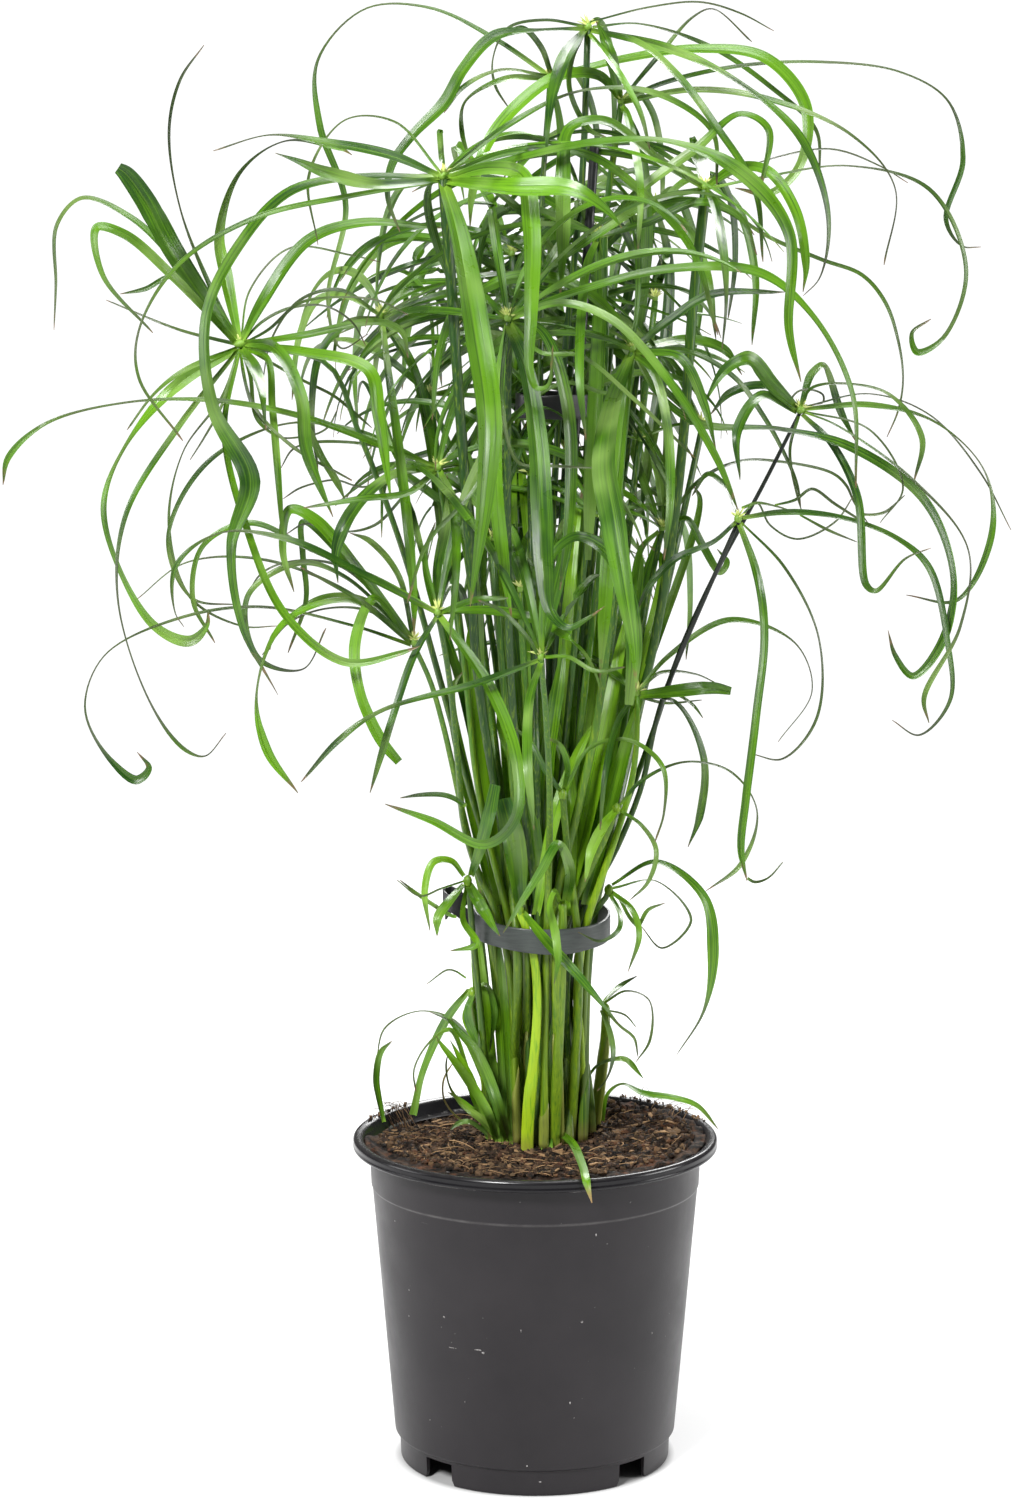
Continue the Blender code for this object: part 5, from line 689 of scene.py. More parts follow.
# Small leaves that grow from a crown or shoot in the same way as its others
EXTRA_LEAVES = {
    "c": (
        (0.01, (300, 415, 5), (308, 430, 7), (323, 460, 7), (337, 482, 7), (345, 500, 4)),
        (0.02, (240, 345, 2), (243, 372, 3), (252, 405, 3), (263, 421, 3), (279, 435, 3), (302, 453, 3),
         (335, 471, 2), (352, 480, 1)),
        (0.02, (240, 345, 3), (250, 375, 4), (254, 411, 4), (260, 423, 4), (279, 437, 2), (301, 437, 2),
         (319, 433, 2), (329, 426, 2), (338, 408, 1)),
        (0.03, (240, 345, 2), (268, 361, 3), (302, 380, 3), (334, 396, 3), (356, 414, 3), (372, 428, 1)),
        (-0.03, (240, 345, 2), (268, 330, 3), (300, 303, 3), (340, 297, 2), (380, 301, 2), (408, 315, 1)),
        (-0.03, (240, 345, 2), (232, 372, 3), (222, 405, 3), (204, 438, 2), (190, 460, 1)),
        (0.01, (240, 345, 2), (262, 322, 3), (290, 308, 3), (325, 306, 2), (352, 322, 2), (366, 346, 1)),
    ),
    "x": (
        (-0.01, (438, 468, 4), (460, 520, 9), (475, 600, 12), (480, 680, 9), (483, 720, 2)),
        (0.02, (438, 468, 3), (400, 475, 3), (363, 487, 2), (336, 480, 2), (316, 483, 2), (298, 489, 2),
         (283, 499, 1)),
        (0.02, (438, 468, 4), (400, 452, 4), (357, 443, 3), (316, 442, 3), (301, 445, 2), (291, 451, 2),
         (281, 468, 1)),
        (0.00, (438, 468, 3), (408, 492, 3), (375, 525, 3), (340, 532, 2), (305, 524, 2), (285, 535, 1)),
    ),
    "k": (
        (0.02, (414, 643, 3), (380, 600, 3), (340, 566, 3), (293, 561, 2), (262, 573, 2), (246, 597, 1)),
        (0.00, (414, 643, 3), (372, 612, 3), (330, 608, 2), (290, 622, 2), (262, 655, 1)),
    ),
    "w": (
        (0.01, (598, 236, 5), (601, 290, 12), (596, 400, 15), (590, 500, 13), (588, 560, 6)),
    ),
    "y": (
        (0.01, (470, 262, 4), (485, 300, 10), (500, 370, 13), (505, 450, 12), (500, 520, 4)),
    ),
    "z": (
        (0.01, (655, 205, 4), (668, 260, 10), (664, 350, 13), (650, 450, 12), (640, 520, 4)),
        (0.01, (655, 205, 4), (640, 250, 8), (622, 330, 10), (618, 410, 3)),
    ),
    "p": (
        (0.02, (550, 77, 4), (560, 130, 8), (556, 220, 11), (545, 300, 9), (540, 360, 3)),
    ),
    "i": (
        (0.00, (508, 319, 4), (500, 380, 10), (496, 470, 13), (503, 560, 12), (512, 620, 3)),
        (0.00, (508, 319, 4), (540, 330, 9), (566, 400, 12), (570, 500, 11), (560, 590, 3)),
    ),
    "o": (
        (-0.01, (662, 529, 4), (645, 580, 9), (634, 640, 12), (625, 720, 9), (620, 760, 2)),
        (0.04, (662, 529, 3), (700, 480, 4), (741, 461, 3), (783, 462, 3), (832, 473, 3), (846, 485, 3),
         (855, 504, 2), (870, 526, 1)),
    ),
    "j": (
        (0.00, (632, 350, 5), (622, 420, 12), (612, 520, 15), (604, 620, 12), (600, 680, 3)),
        (0.04, (632, 350, 4), (690, 352, 5), (735, 378, 5), (762, 414, 5), (782, 449, 4), (797, 484, 3),
         (801, 510, 1)),
    ),
    "f": (
        (0.02, (705, 188, 3), (760, 232, 4), (820, 259, 4), (862, 275, 4), (885, 302, 4), (898, 340, 3),
         (903, 380, 2), (898, 411, 2), (887, 437, 1)),
    ),
    "e": (
        (0.01, (621, 102, 4), (640, 150, 9), (646, 240, 12), (636, 340, 10), (625, 420, 3)),
    ),
    "d": (
        (-0.01, (381, 316, 4), (410, 360, 8), (430, 440, 11), (440, 520, 9), (446, 580, 2)),
        (0.00, (381, 316, 3), (340, 290, 4), (300, 300, 3), (272, 338, 2), (262, 385, 1)),
    ),
    "g": (
        (0.01, (775, 505, 2), (795, 500, 3), (812, 489, 3), (835, 504, 3), (868, 525, 2)),
        (0.02, (857, 513, 2), (870, 515, 3), (885, 512, 3), (905, 495, 1)),
        (0.00, (800, 515, 2), (828, 530, 3), (857, 542, 1)),
        (-0.01, (800, 411, 2), (792, 399, 2), (799, 391, 2), (813, 390, 2), (823, 395, 2), (823, 402, 2),
         (812, 405, 1)),
    ),
    "h": (
        (0.01, (742, 508, 3), (757, 503, 3), (775, 506, 2), (792, 511, 1)),
        (-0.03, (747, 878, 3), (755, 882, 3), (768, 878, 2), (783, 862, 1)),
    ),
    "m": (
        (-0.02, (660, 690, 3), (680, 696, 3), (694, 706, 3), (703, 718, 1)),
        (0.01, (640, 697, 3), (665, 703, 3), (702, 700, 1)),
    ),
    "l": (
        (0.0, (466, 806, 4), (455, 799, 5), (443, 795, 5), (420, 795, 4), (400, 798, 1)),
    ),
    "right": (
        (-0.02, (618, 895, 3), (630, 918, 4), (638, 925, 4), (648, 910, 4), (665, 903, 1)),
    ),
    "left": (
        (0.01, (456, 917, 3), (450, 915, 4), (420, 896, 4), (400, 880, 1)),
    ),
    "low_right": (
        (0.0, (590, 1074, 3), (597, 1066, 3), (610, 1060, 4), (626, 1060, 6), (643, 1078, 5)),
        (0.0, (606, 1010, 2), (625, 1015, 2), (636, 1027, 1)),
    ),
    "low_left": (
        (0.0, (466, 978, 2), (455, 971, 2), (447, 970, 2), (427, 984, 1)),
    ),
    "near_left": (
        (0.01, (495, 1124, 4), (475, 1112, 6), (460, 1100, 5), (448, 1092, 1)),
        ((0.030, 0.031, 0.032, 0.033, 0.032), (384, 1122, 4), (379, 1100, 6), (376, 1078, 7),
         (381, 1052, 6), (392, 1041, 2)),
    ),
}

# Soil, and the fibres, crumbs and bark chips on it
SOIL_ROUGH = 0.0022
SOIL_CLOD = 0.0032
ROUGH_TURNS = 90
CLOD_TURNS = 130
SOIL_EDGE = 0.0062
LOW_PART = 0.0105
LOW_MIDDLE = math.radians(128)
LOW_SPREAD = 0.60
SOIL_RINGS = 100
SOIL_TURNS = 280
FIBRES = 1000
FIBRE_LENGTH = (0.004, 0.024)
FIBRE_RADIUS = (0.00010, 0.00024)
FIBRE_RINGS = 7
FIBRE_CURL = 1.6
FIBRE_LIFT = (-0.0012, 0.001)
FIBRE_BOW = 0.1
CRUMBS = 3000
CRUMB_SIZE = (0.0005, 0.0019)
CHIPS = 260
CHIP_LENGTH = (0.002, 0.007)
CHIP_WIDTH = (0.0008, 0.0022)
CHIP_HALF = 0.0004
CHIP_TILT = 0.35
CHIP_LIFT = 0.0006
RIM_CRUMBS = ((150, 40, 13), (38, 70, 22))
RIM_CRUMB_SIZE = (0.0003, 0.0008)
RIM_FIBRES = ((34, 12, 16), (147, 26, 8), (80, 4, 30))
RIM_FIBRE_ROOT = 0.012
RIM_FIBRE_REACH = (0.010, 0.018)
RIM_FIBRE_LIFT = (0.002, 0.008)
GOLDEN = (1 + math.sqrt(5)) / 2
LUMP_POINTS = np.array([
    (0, 1, GOLDEN), (0, -1, GOLDEN), (0, 1, -GOLDEN), (0, -1, -GOLDEN),
    (1, GOLDEN, 0), (-1, GOLDEN, 0), (1, -GOLDEN, 0), (-1, -GOLDEN, 0),
    (GOLDEN, 0, 1), (-GOLDEN, 0, 1), (GOLDEN, 0, -1), (-GOLDEN, 0, -1),
]) / GOLDEN
LUMP_FACES = [
    (0, 1, 8), (0, 8, 4), (0, 4, 5), (0, 5, 9), (0, 9, 1), (1, 6, 8), (8, 6, 10), (8, 10, 4), (4, 10, 2),
    (4, 2, 5), (5, 2, 11), (5, 11, 9), (9, 11, 7), (9, 7, 1), (1, 7, 6), (3, 6, 7), (3, 7, 11), (3, 11, 2),
    (3, 2, 10), (3, 10, 6),
]
CHIP_POINTS = np.array([(x, y, z) for z in (-1, 1) for x, y in ((-1, -1), (1, -1), (1, 1), (-1, 1))], float)
CHIP_FACES = [(3, 2, 1, 0), (4, 5, 6, 7)] + [(k, (k + 1) % 4, (k + 1) % 4 + 4, k + 4) for k in range(4)]

# Pale specks and scuffs on the pot's front: (u, v), length and height in millimetres
SPECKS = (
    (395, 1221, 0.8, 0.8), (409, 1290, 0.9, 0.5), (409, 1316, 0.6, 0.6), (444, 1317, 1.2, 0.9),
    (453, 1348, 4.5, 0.4), (478, 1350, 3.5, 0.6), (483, 1353, 1.6, 1.0), (596, 1235, 0.7, 1.3),
    (582, 1322, 1.0, 1.0), (521, 1331, 0.6, 1.4), (570, 1403, 0.6, 1.2), (540, 1482, 1.2, 0.7),
    (527, 1466, 0.7, 0.7), (652, 1333, 0.7, 1.1), (430, 1420, 0.5, 0.5), (565, 1187, 2.2, 0.6),
    (628, 1181, 2.0, 0.7), (448, 1172, 1.8, 0.5), (465, 1402, 0.4, 0.9), (574, 1418, 0.5, 0.6),
)
SPECK_THICKNESS = 0.12
SPECK_PALE = (0.30, 0.29, 0.28)

# The lip's blacker, shinier plastic: how far it is mixed in, its colour and its change in roughness
LIP_DARKER = 0.75
LIP_BLACK = (0.004, 0.004, 0.005)
LIP_SMOOTHER = -0.16

# The strap's knot: strips of strap by their lines and width directions, in millimetres from its middle
KNOT_RIBBONS = (
    (((9, -5, -10), (4, -6, -5), (-3, -5, 0), (-6, 0, 3), (-2, 4, 4), (4, 2, 2)),
     ((0.5, 0, 1), (0.4, 0, 1), (0.3, 0.2, 1), (0.1, 0.3, 1), (-0.2, 0.2, 1), (-0.3, 0, 1)), 7),
    (((-5, -2, -5), (-3, -5, -2), (2, -6, 1), (6, -3, 3), (5, 2, 4)),
     ((0, 0, 1), (0.1, 0, 1), (0.2, 0, 1), (0.2, 0.2, 1), (0, 0.2, 1)), 8),
)

# Colours, and how some patterns are moved or stretched
LEAF_DARK = (0.007, 0.043, 0.004)
LEAF_LIGHT = (0.118, 0.290, 0.008)
YOUNG_DARK = (0.020, 0.100, 0.005)
YOUNG_LIGHT = (0.190, 0.400, 0.010)
LEAF_ROOT = (0.300, 0.500, 0.060)
LEAF_THIN = (2.2, 1.8, 0.5)
LEAF_THROUGH = 0.22
# Painted sheen: pale grey-green patches that stand for the lamps' reflection on the leaves, and how far they
# are mixed in
LEAF_BLOOM = ((0.290, 0.440, 0.120), 0.45)
BLOOM_SHIFT = (0.37, 0.37, 0.37)
# Painted shade: the grey colour of leaves seen edge-on
LEAF_DULL = (0.062, 0.072, 0.036)
TIP_BROWN = (0.190, 0.115, 0.060)
DRY_TAN = (0.360, 0.240, 0.110)
STEM_LOW = ((0.016, 0.060, 0.005), (0.310, 0.460, 0.012))
STEM_HIGH = ((0.009, 0.042, 0.005), (0.090, 0.250, 0.010))
# Painted shade: from where to where up its height a shaded stem turns near-black
BLACK_FROM = (0.60, 0.74)
FOOT_SHARE = (0.68, 0.34)
# Painted shade: the near-black of shaded stems
STEM_BLACK = (0.006, 0.010, 0.006)
FOOT_BROWN = (0.150, 0.095, 0.035)
FLORET = ((0.38, 0.50, 0.08), (0.66, 0.70, 0.26))
FLORET_POINT = (0.34, 0.24, 0.08)
KNOB_GREEN = (0.16, 0.30, 0.03)
SOIL_DARK = (0.004, 0.003, 0.002)
SOIL_BROWN = (0.062, 0.032, 0.017)
SOIL_RED = (0.120, 0.044, 0.018)
FIBRE_PALE = (0.400, 0.245, 0.120)
POT_DARK = (0.0125, 0.0108, 0.0125)
POT_LIGHT = (0.019, 0.0165, 0.0185)
RIM_DUST = (0.20, 0.19, 0.18)
POT_SPECK = (0.24, 0.23, 0.22)
POT_SCRATCH = (0.12, 0.115, 0.11)
# The pale colour of the line along the step
POT_WORN = (0.22, 0.21, 0.205)
# Painted highlight: the broken bright line under the lip
LIP_FLASH = (0.36, 0.35, 0.34)
SCRATCHES = (60.0, 60.0, 900.0)
STRAP_DARK = (0.028, 0.034, 0.032)
STRAP_LIGHT = (0.052, 0.062, 0.056)
STAKE_DARK = (0.004, 0.004, 0.005)
STAKE_LIGHT = (0.009, 0.009, 0.010)
TIE_GRAIN = (120.0, 120.0, 1400.0)

# Floor and light
FLOOR_REACH = 1.6
FLOOR_GREYS = ((0.40, 0.40, 0.40), (0.43, 0.43, 0.43))
FLOOR_DROP = -0.0003
FLOOR_GLOW = 0.50
FLOOR_SHADE = (FOOT_RADIUS - 0.002, FOOT_RADIUS + 0.003)
WORLD_LIGHT = 0.13
BACKDROP_LIGHT = 1.1
LAMP_TARGET = (0, 0, 0.4)
LAMPS = (
    ("key", (-1.1, -2.1, 2.1), 0.7, 135),
    ("top", (0.2, -0.3, 2.7), 1.2, 52),
    ("right", (2.3, -0.2, 0.8), 1.0, 42),
    ("left", (-2.3, 0.0, 0.8), 1.0, 18),
    ("back", (0.5, 2.1, 1.7), 1.2, 60),
)



# Lines of sight

def sight(u, v, depth):
    """The point at this depth on the line of sight through a picture point."""
    across = (np.asarray(u, float) - MIDDLE[0]) / FOCUS
    up = (MIDDLE[1] - np.asarray(v, float)) / FOCUS
    cos, sin = math.cos(EYE_PITCH), math.sin(EYE_PITCH)
    forward = cos + up * sin
    reach = (np.asarray(depth, float) - EYE[1]) / forward
    rise = (up * cos - sin) * reach
    return np.stack([EYE[0] + across * reach, EYE[1] + forward * reach, EYE[2] + rise], -1)


def picture_point(point):
    """Where a point lies in the picture: u, v, and its depth."""
    x, y, z = np.asarray(point, float) - EYE
    cos, sin = math.cos(EYE_PITCH), math.sin(EYE_PITCH)
    ahead = y * cos - z * sin
    above = y * sin + z * cos
    return np.array((MIDDLE[0] + FOCUS * x / ahead, MIDDLE[1] - FOCUS * above / ahead, point[1]))


def picture_points(points):
    """Where points lie in the picture: u, v, and their depths."""
    return np.array([picture_point(point) for point in points])


def depth_on_level(u, v, level):
    """The depth at which the line of sight through a picture point meets a level plane."""
    near, far = sight(u, v, 0.0), sight(u, v, 1.0)
    return float((level - near[2]) / (far[2] - near[2]))


# Places in the bundle

def bundle_place(key):
    """A stem's foot on the soil and its place in the strap, as points."""
    foot, tie = BUNDLE[key]
    foot = (foot[0] * MILLIMETRE, foot[1] * MILLIMETRE, SOIL_LEVEL + TOUCH)
    if tie is not None:
        tie = (tie[0] * MILLIMETRE, tie[1] * MILLIMETRE)
        tie = (*tie, strap_level(*tie) + STRAP_HEIGHT / 2 + ABOVE_STRAP)
    return foot, tie


def strap_level(x, y):
    """The height of the strap's middle line over a point."""
    return STRAP_LEVEL + STRAP_SLOPE[0] * (x - STRAP_CENTRE[0]) + STRAP_SLOPE[1] * (y - STRAP_CENTRE[1])


def upper_tie_centre():
    """The middle of the upper tie."""
    return sight(*UPPER_TIE_VIEW)


def stake_line(count):
    """Points up the stake's middle line."""
    low = np.array((*STAKE_LOW, SOIL_LEVEL + TOUCH))
    return low + (sight(*STAKE_TOP_VIEW) - low) * np.linspace(0, 1, count)[:, None]


# Curves through points

def hermite(values, slopes, span, t, length):
    """Points of a smooth curve, each a share t of its way through a span between known values and slopes."""
    return (
        values[span] * (2 * t**3 - 3 * t**2 + 1)
        + values[span + 1] * (3 * t**2 - 2 * t**3)
        + slopes[span] * (t**3 - 2 * t**2 + t) * length
        + slopes[span + 1] * (t**3 - t**2) * length
    )


def running_length(points):
    """How far along a line each of its points lies."""
    return np.concatenate([[0.0], np.cumsum(np.linalg.norm(np.diff(points, axis=0), axis=1))])


def smooth_curve(points, count, turn_weight=LEAF_TURN):
    """Samples of a smooth curve through points, closer together where it turns in the picture."""
    points = np.asarray(points, float)
    steps = np.sqrt(np.maximum(np.linalg.norm(np.diff(points[:, :2], axis=0), axis=1), 1.0))
    knots = np.concatenate([[0.0], np.cumsum(steps)])
    slopes = np.empty_like(points)
    inner = np.diff(points, axis=0) / np.diff(knots)[:, None]
    slopes[0], slopes[-1] = inner[0], inner[-1]
    left, right = np.diff(knots)[:-1, None], np.diff(knots)[1:, None]
    slopes[1:-1] = (inner[:-1] * right + inner[1:] * left) / (left + right)
    fine = np.linspace(0, knots[-1], FINE_STEPS * len(points))
    span = np.clip(np.searchsorted(knots, fine, "right") - 1, 0, len(points) - 2)
    length = np.diff(knots)[span][:, None]
    curve = hermite(points, slopes, span, (fine - knots[span])[:, None] / length, length)
    moves = np.diff(curve[:, :2], axis=0)
    heading = np.unwrap(np.arctan2(moves[:, 1], moves[:, 0]))
    turn = np.concatenate([[0.0], np.abs(np.diff(heading))])
    measure = np.concatenate([[0.0], np.cumsum(np.linalg.norm(moves, axis=1) + turn_weight * turn)])
    wanted = np.linspace(0, measure[-1], count)
    return np.stack([np.interp(wanted, measure, column) for column in curve.T], 1)


def drawn_through(points, count):
    """Points along a smooth line through a few points in space."""
    points = np.asarray(points, float)
    known = running_length(points)
    if known[-1] < TINY:
        return np.repeat(points[:1], count, axis=0)
    known += np.arange(len(known)) * TINY
    slopes = np.gradient(points, known, axis=0)
    wanted = np.linspace(0, known[-1], count)
    span = np.clip(np.searchsorted(known, wanted, "right") - 1, 0, len(known) - 2)
    length = np.diff(known)[span][:, None]
    return hermite(points, slopes, span, (wanted - known[span])[:, None] / length, length)


def even_curve(known, values, wanted):
    """Values between known places, on a curve with no overshoot."""
    known, values = np.asarray(known, float), np.asarray(values, float)
    steps = np.diff(known)
    rises = np.diff(values) / steps
    slopes = np.zeros(len(values))
    slopes[0], slopes[-1] = rises[0], rises[-1]
    same = rises[:-1] * rises[1:] > 0
    slopes[1:-1][same] = 2 * rises[:-1][same] * rises[1:][same] / (rises[:-1] + rises[1:])[same]
    span = np.clip(np.searchsorted(known, wanted, "right") - 1, 0, len(steps) - 1)
    return hermite(values, slopes, span, (wanted - known[span]) / steps[span], steps[span])


# Routes of leaves and stems

def picture_measure(points):
    """A leaf's length in the picture, with its turns counted as length."""
    moves = np.diff(np.asarray(points, float)[:, :2], axis=0)
    heading = np.unwrap(np.arctan2(moves[:, 1], moves[:, 0]))
    return np.linalg.norm(moves, axis=1).sum() + LEAF_TURN * np.abs(np.diff(heading)).sum()


def leaf_points(leaf, hub_depth):
    """A leaf's points as given: u, v, apparent width in pixels, depth."""
    reach, *points = leaf
    points = np.array(points, float)
    along = running_length(points[:, :2])
    along /= along[-1]
    if isinstance(reach, tuple):
        depth = np.array(reach)
    else:
        depth = hub_depth + reach * np.sin(np.minimum(along / REACH_SHARE, 1.0) * math.pi / 2)
    return np.column_stack([points, depth])


def leaf_route(leaf, hub_depth):
    """A leaf's samples, the few that its solid has."""
    points = leaf_points(leaf, hub_depth)
    rings = int(np.clip(round(picture_measure(points) / RING_SPACING), *SEGMENTS)) + 1
    return smooth_curve(points, rings)


def full_widths(route):
    """A leaf's real width in pixels: a lance shape that its apparent widths fit under."""
    along = running_length(route[:, :2])
    along /= along[-1]
    rise = np.minimum(LANCE_ROOT + LANCE_RISE * along, 1.0)
    shape = rise * np.minimum((LANCE_END - along) / LANCE_FALL, 1.0) ** LANCE_POINT
    widest = min(np.max(route[:, 2] / shape), LANCE_SPARE * route[:, 2].max())
    return np.maximum(widest * shape, route[:, 2])


def stem_route(hub, passes, foot, tie, count):
    """A stem's samples from its foot up to its crown: u, v, depth. It runs straight up to the strap."""
    u, v, depth = hub
    start = picture_point(foot)
    straight = []
    if tie is not None and picture_point(tie)[1] > v + ABOVE_TIE:
        straight = [start]
        start = picture_point(tie)
    points = [start]
    for pu, pv, *own in passes[::-1]:
        if start[1] - POINTS_APART > pv > v + UNDER_HUB:
            share = (start[1] - pv) / (start[1] - v)
            points.append((pu, pv, own[0] if own else start[2] + (depth - start[2]) * share))
    points.append((u, v + INTO_HUB, depth))
    return np.vstack(straight + [smooth_curve(np.array(points), count - len(straight), STEM_TURN)])


# Curves that may move in depth, and what stays where it is

def movable(u, v, depth, half, thick, fixed, family, group=0, near=0, hub=FAR_OFF):
    """A line in the picture, its reach across it and in depth, and which of its points may move in depth."""
    free = np.ones(len(u), bool)
    free[fixed] = False
    half, thick = (np.broadcast_to(value, len(u)) for value in (half, thick))
    return {"u": u, "v": v, "depth": depth, "half": half, "thick": thick, "free": free, "hub": hub,
            "family": family, "group": group, "near": near}


def leaf_curve(leaf, depth, hub, family, near):
    """A leaf's route as a curve that may move along the lines of sight, unless its depths are given."""
    route = leaf_route(leaf, depth)
    full = full_widths(route)
    cos = np.clip(route[:, 2] / full, EDGE_ON, 1.0)
    half = route[:, 2] / 2 + LEAF_MARGIN
    thick = full * PIXEL / 2 * np.sqrt(1 - cos**2) + LEAF_KEEL * KEEL_SHARE
    fixed = ALL if isinstance(leaf[0], tuple) else [0]
    return movable(route[:, 0], route[:, 1], route[:, 3], half, thick, fixed, family, 0, near, hub)


def stem_curve(route, radii, hub, family):
    """A stem's route as a curve that may move, but for its foot, its place in the strap and its top."""
    return movable(*route.T, radii / PIXEL, radii, [0, 1, -1], family, STEM, CROWN_NEAR, hub)


def obstacle(points, half, thick, family, group):
    """A line of points in space that stays where it is."""
    return movable(*picture_points(points).T, half / PIXEL, thick, ALL, family, group)


def oval_arc(centre, half, first, last, slope=(0.0, 0.0)):
    """Points along part of an oval, from one angle to another in degrees."""
    angles = np.radians(np.linspace(first, last, 9))
    x, y = half[0] * np.cos(angles), half[1] * np.sin(angles)
    return np.stack([centre[0] + x, centre[1] + y, centre[2] + slope[0] * x + slope[1] * y], 1)


def obstacles():
    """The strap, the upper tie, the stake and the rim as lines that stay where they are."""
    strap = (*STRAP_CENTRE, STRAP_LEVEL)
    outer = (STRAP_HALF[0] + STRAP_THICKNESS / 2, STRAP_HALF[1] + STRAP_THICKNESS / 2)
    lip = RIM_RADIUS - LIP_WIDTH / 2
    rim = (0, 0, POT_HEIGHT - LIP_HEIGHT / 2)
    rings = (
        (strap, outer, STRAP_HEIGHT, STRAP_THICKNESS, STRAP_SLOPE, RING),
        (upper_tie_centre(), UPPER_TIE_HALF, UPPER_TIE_HEIGHT, STRAP_THICKNESS, (0, 0), 0),
        (rim, (lip, lip), LIP_HEIGHT, LIP_WIDTH / 2, (0, 0), RING),
    )
    knot = [np.array(KNOT_CENTRE) + (x * KNOT_HALF[0], 0, 0) for x in (-1, 0, 1)]
    made = [
        obstacle(stake_line(14), STAKE_RADIUS, STAKE_RADIUS, STAKE_FAMILY, 0),
        obstacle(knot, KNOT_HALF[2], KNOT_HALF[1], KNOT_FAMILY, RING),
    ]
    for index, (centre, half, height, thick, slope, group) in enumerate(rings):
        for near, angles in ((1, (180, 360)), (0, (0, 180))):
            arc = oval_arc(centre, half, *angles, slope)
            made.append(obstacle(arc, height / 2, thick, RING_FAMILY + 2 * index + near, group))
    return made


# Keeping crossing leaves clear of each other

def cells_of(curves, starts):
    """Short stretches of all the curves, a row each: u, v, half width, reach in depth, curve, ring before it,
    share of the way to the next ring, family, whether it is near its hub, and group."""
    cells = []
    for index, curve in enumerate(curves):
        hub = curve["hub"]
        for ring in range(len(curve["depth"]) - 1):
            for step in range(CELLS):
                t = (step + 0.5) / CELLS
                measures = (curve[key] for key in ("u", "v", "half", "thick"))
                mix = [values[ring] * (1 - t) + values[ring + 1] * t for values in measures]
                near = math.hypot(mix[0] - hub[0], mix[1] - hub[1]) < curve["near"]
                cells.append((*mix, index, starts[index] + ring, t, curve["family"], near, curve["group"]))
    return np.array(cells, float)


def crossings(cells):
    """Pairs of cells that cover each other in the picture and have to keep clear of each other in depth."""
    pairs = []
    for start in range(0, len(cells), BLOCK):
        block = cells[start:start + BLOCK]
        apart = np.hypot(block[:, None, 0] - cells[None, :, 0], block[:, None, 1] - cells[None, :, 1])
        close = apart < block[:, None, 2] + cells[None, :, 2] + MARGIN
        close &= np.arange(start, start + len(block))[:, None] < np.arange(len(cells))[None, :]
        same_leaf = block[:, None, 4] == cells[None, :, 4]
        same_family = block[:, None, 7] == cells[None, :, 7]
        at_hub = (block[:, None, 8] > 0) & (cells[None, :, 8] > 0)
        close &= ~(same_leaf & (np.abs(block[:, None, 5] - cells[None, :, 5]) < OWN_RINGS))
        close &= ~(same_family & at_hub)
        close &= block[:, None, 9] * cells[None, :, 9] != STEM * RING
        one, other = np.nonzero(close)
        pairs.append(np.stack([one + start, other], 1))
    return np.concatenate(pairs).T


def settle(curves):
    """Moves leaves and stems along the lines of sight, and only along them, until those that cross in
    the picture pass in front of or behind each other."""
    starts = np.cumsum([0] + [len(c["depth"]) for c in curves])
    depth = np.concatenate([c["depth"] for c in curves])
    first = depth.copy()
    free = np.concatenate([c["free"] for c in curves])
    cells = cells_of(curves, starts)
    owner, ring, t = cells[:, 4].astype(int), cells[:, 5].astype(int), cells[:, 6]
    one, other = crossings(cells)
    fixed = np.array([not c["free"].any() for c in curves])
    keep = ~(fixed[owner[one]] & fixed[owner[other]])
    one, other = one[keep], other[keep]

    def cell_depth(which):
        return depth[ring[which]] * (1 - t[which]) + depth[ring[which] + 1] * t[which]

    key = owner[one] * len(curves) + owner[other]
    _, group = np.unique(key, return_inverse=True)
    mean = np.bincount(group, cell_depth(other) - cell_depth(one)) / np.bincount(group)
    side = np.where(mean >= 0, 1.0, -1.0)[group]
    need = cells[one, 3] + cells[other, 3] + CLEAR
    total = len(depth)
    inner = np.ones(total, bool)
    inner[starts[:-1]] = inner[starts[1:] - 1] = False
    last = np.zeros(total, bool)
    last[starts[1:] - 1] = True
    before, after = np.arange(total) - 1, np.minimum(np.arange(total) + 1, total - 1)
    for turn in range(ROUNDS):
        lack = need - (cell_depth(other) - cell_depth(one)) * side
        hit = lack > 0
        if not hit.any():
            break
        a, b = one[hit], other[hit]
        both = (~fixed[owner[a]]).astype(float) + (~fixed[owner[b]])
        push = np.minimum(lack[hit], LARGEST_PUSH) * side[hit] / both
        move, weight = np.zeros(total), np.full(total, TINY)
        for cell, direction in ((a, -push), (b, push)):
            for offset, part in ((0, 1 - t[cell]), (1, t[cell])):
                move += np.bincount(ring[cell] + offset, direction * part, total)
                weight += np.bincount(ring[cell] + offset, part, total)
        depth += np.where(free, move / weight, 0)
        if turn < SMOOTH_ROUNDS:
            shift = depth - first
            even = STIFFNESS * shift + (1 - STIFFNESS) * (shift[before] + shift[after]) / 2
            even = np.where(last, STIFFNESS * shift + (1 - STIFFNESS) * shift[before], even)
            depth = first + np.where(free & (inner | last), even, shift)
    for index, curve in enumerate(curves):
        curve["depth"] = depth[starts[index]:starts[index + 1]]


def settled_line(curve):
    """A settled curve's points in space."""
    return sight(curve["u"], curve["v"], curve["depth"])


# Meshes

def linked(name, data, place=(0, 0, 0), turn=(0, 0, 0)):
    """A new object in the scene."""
    made = bpy.data.objects.new(name, data)
    made.location = place
    made.rotation_euler = turn
    bpy.context.scene.collection.objects.link(made)
    return made


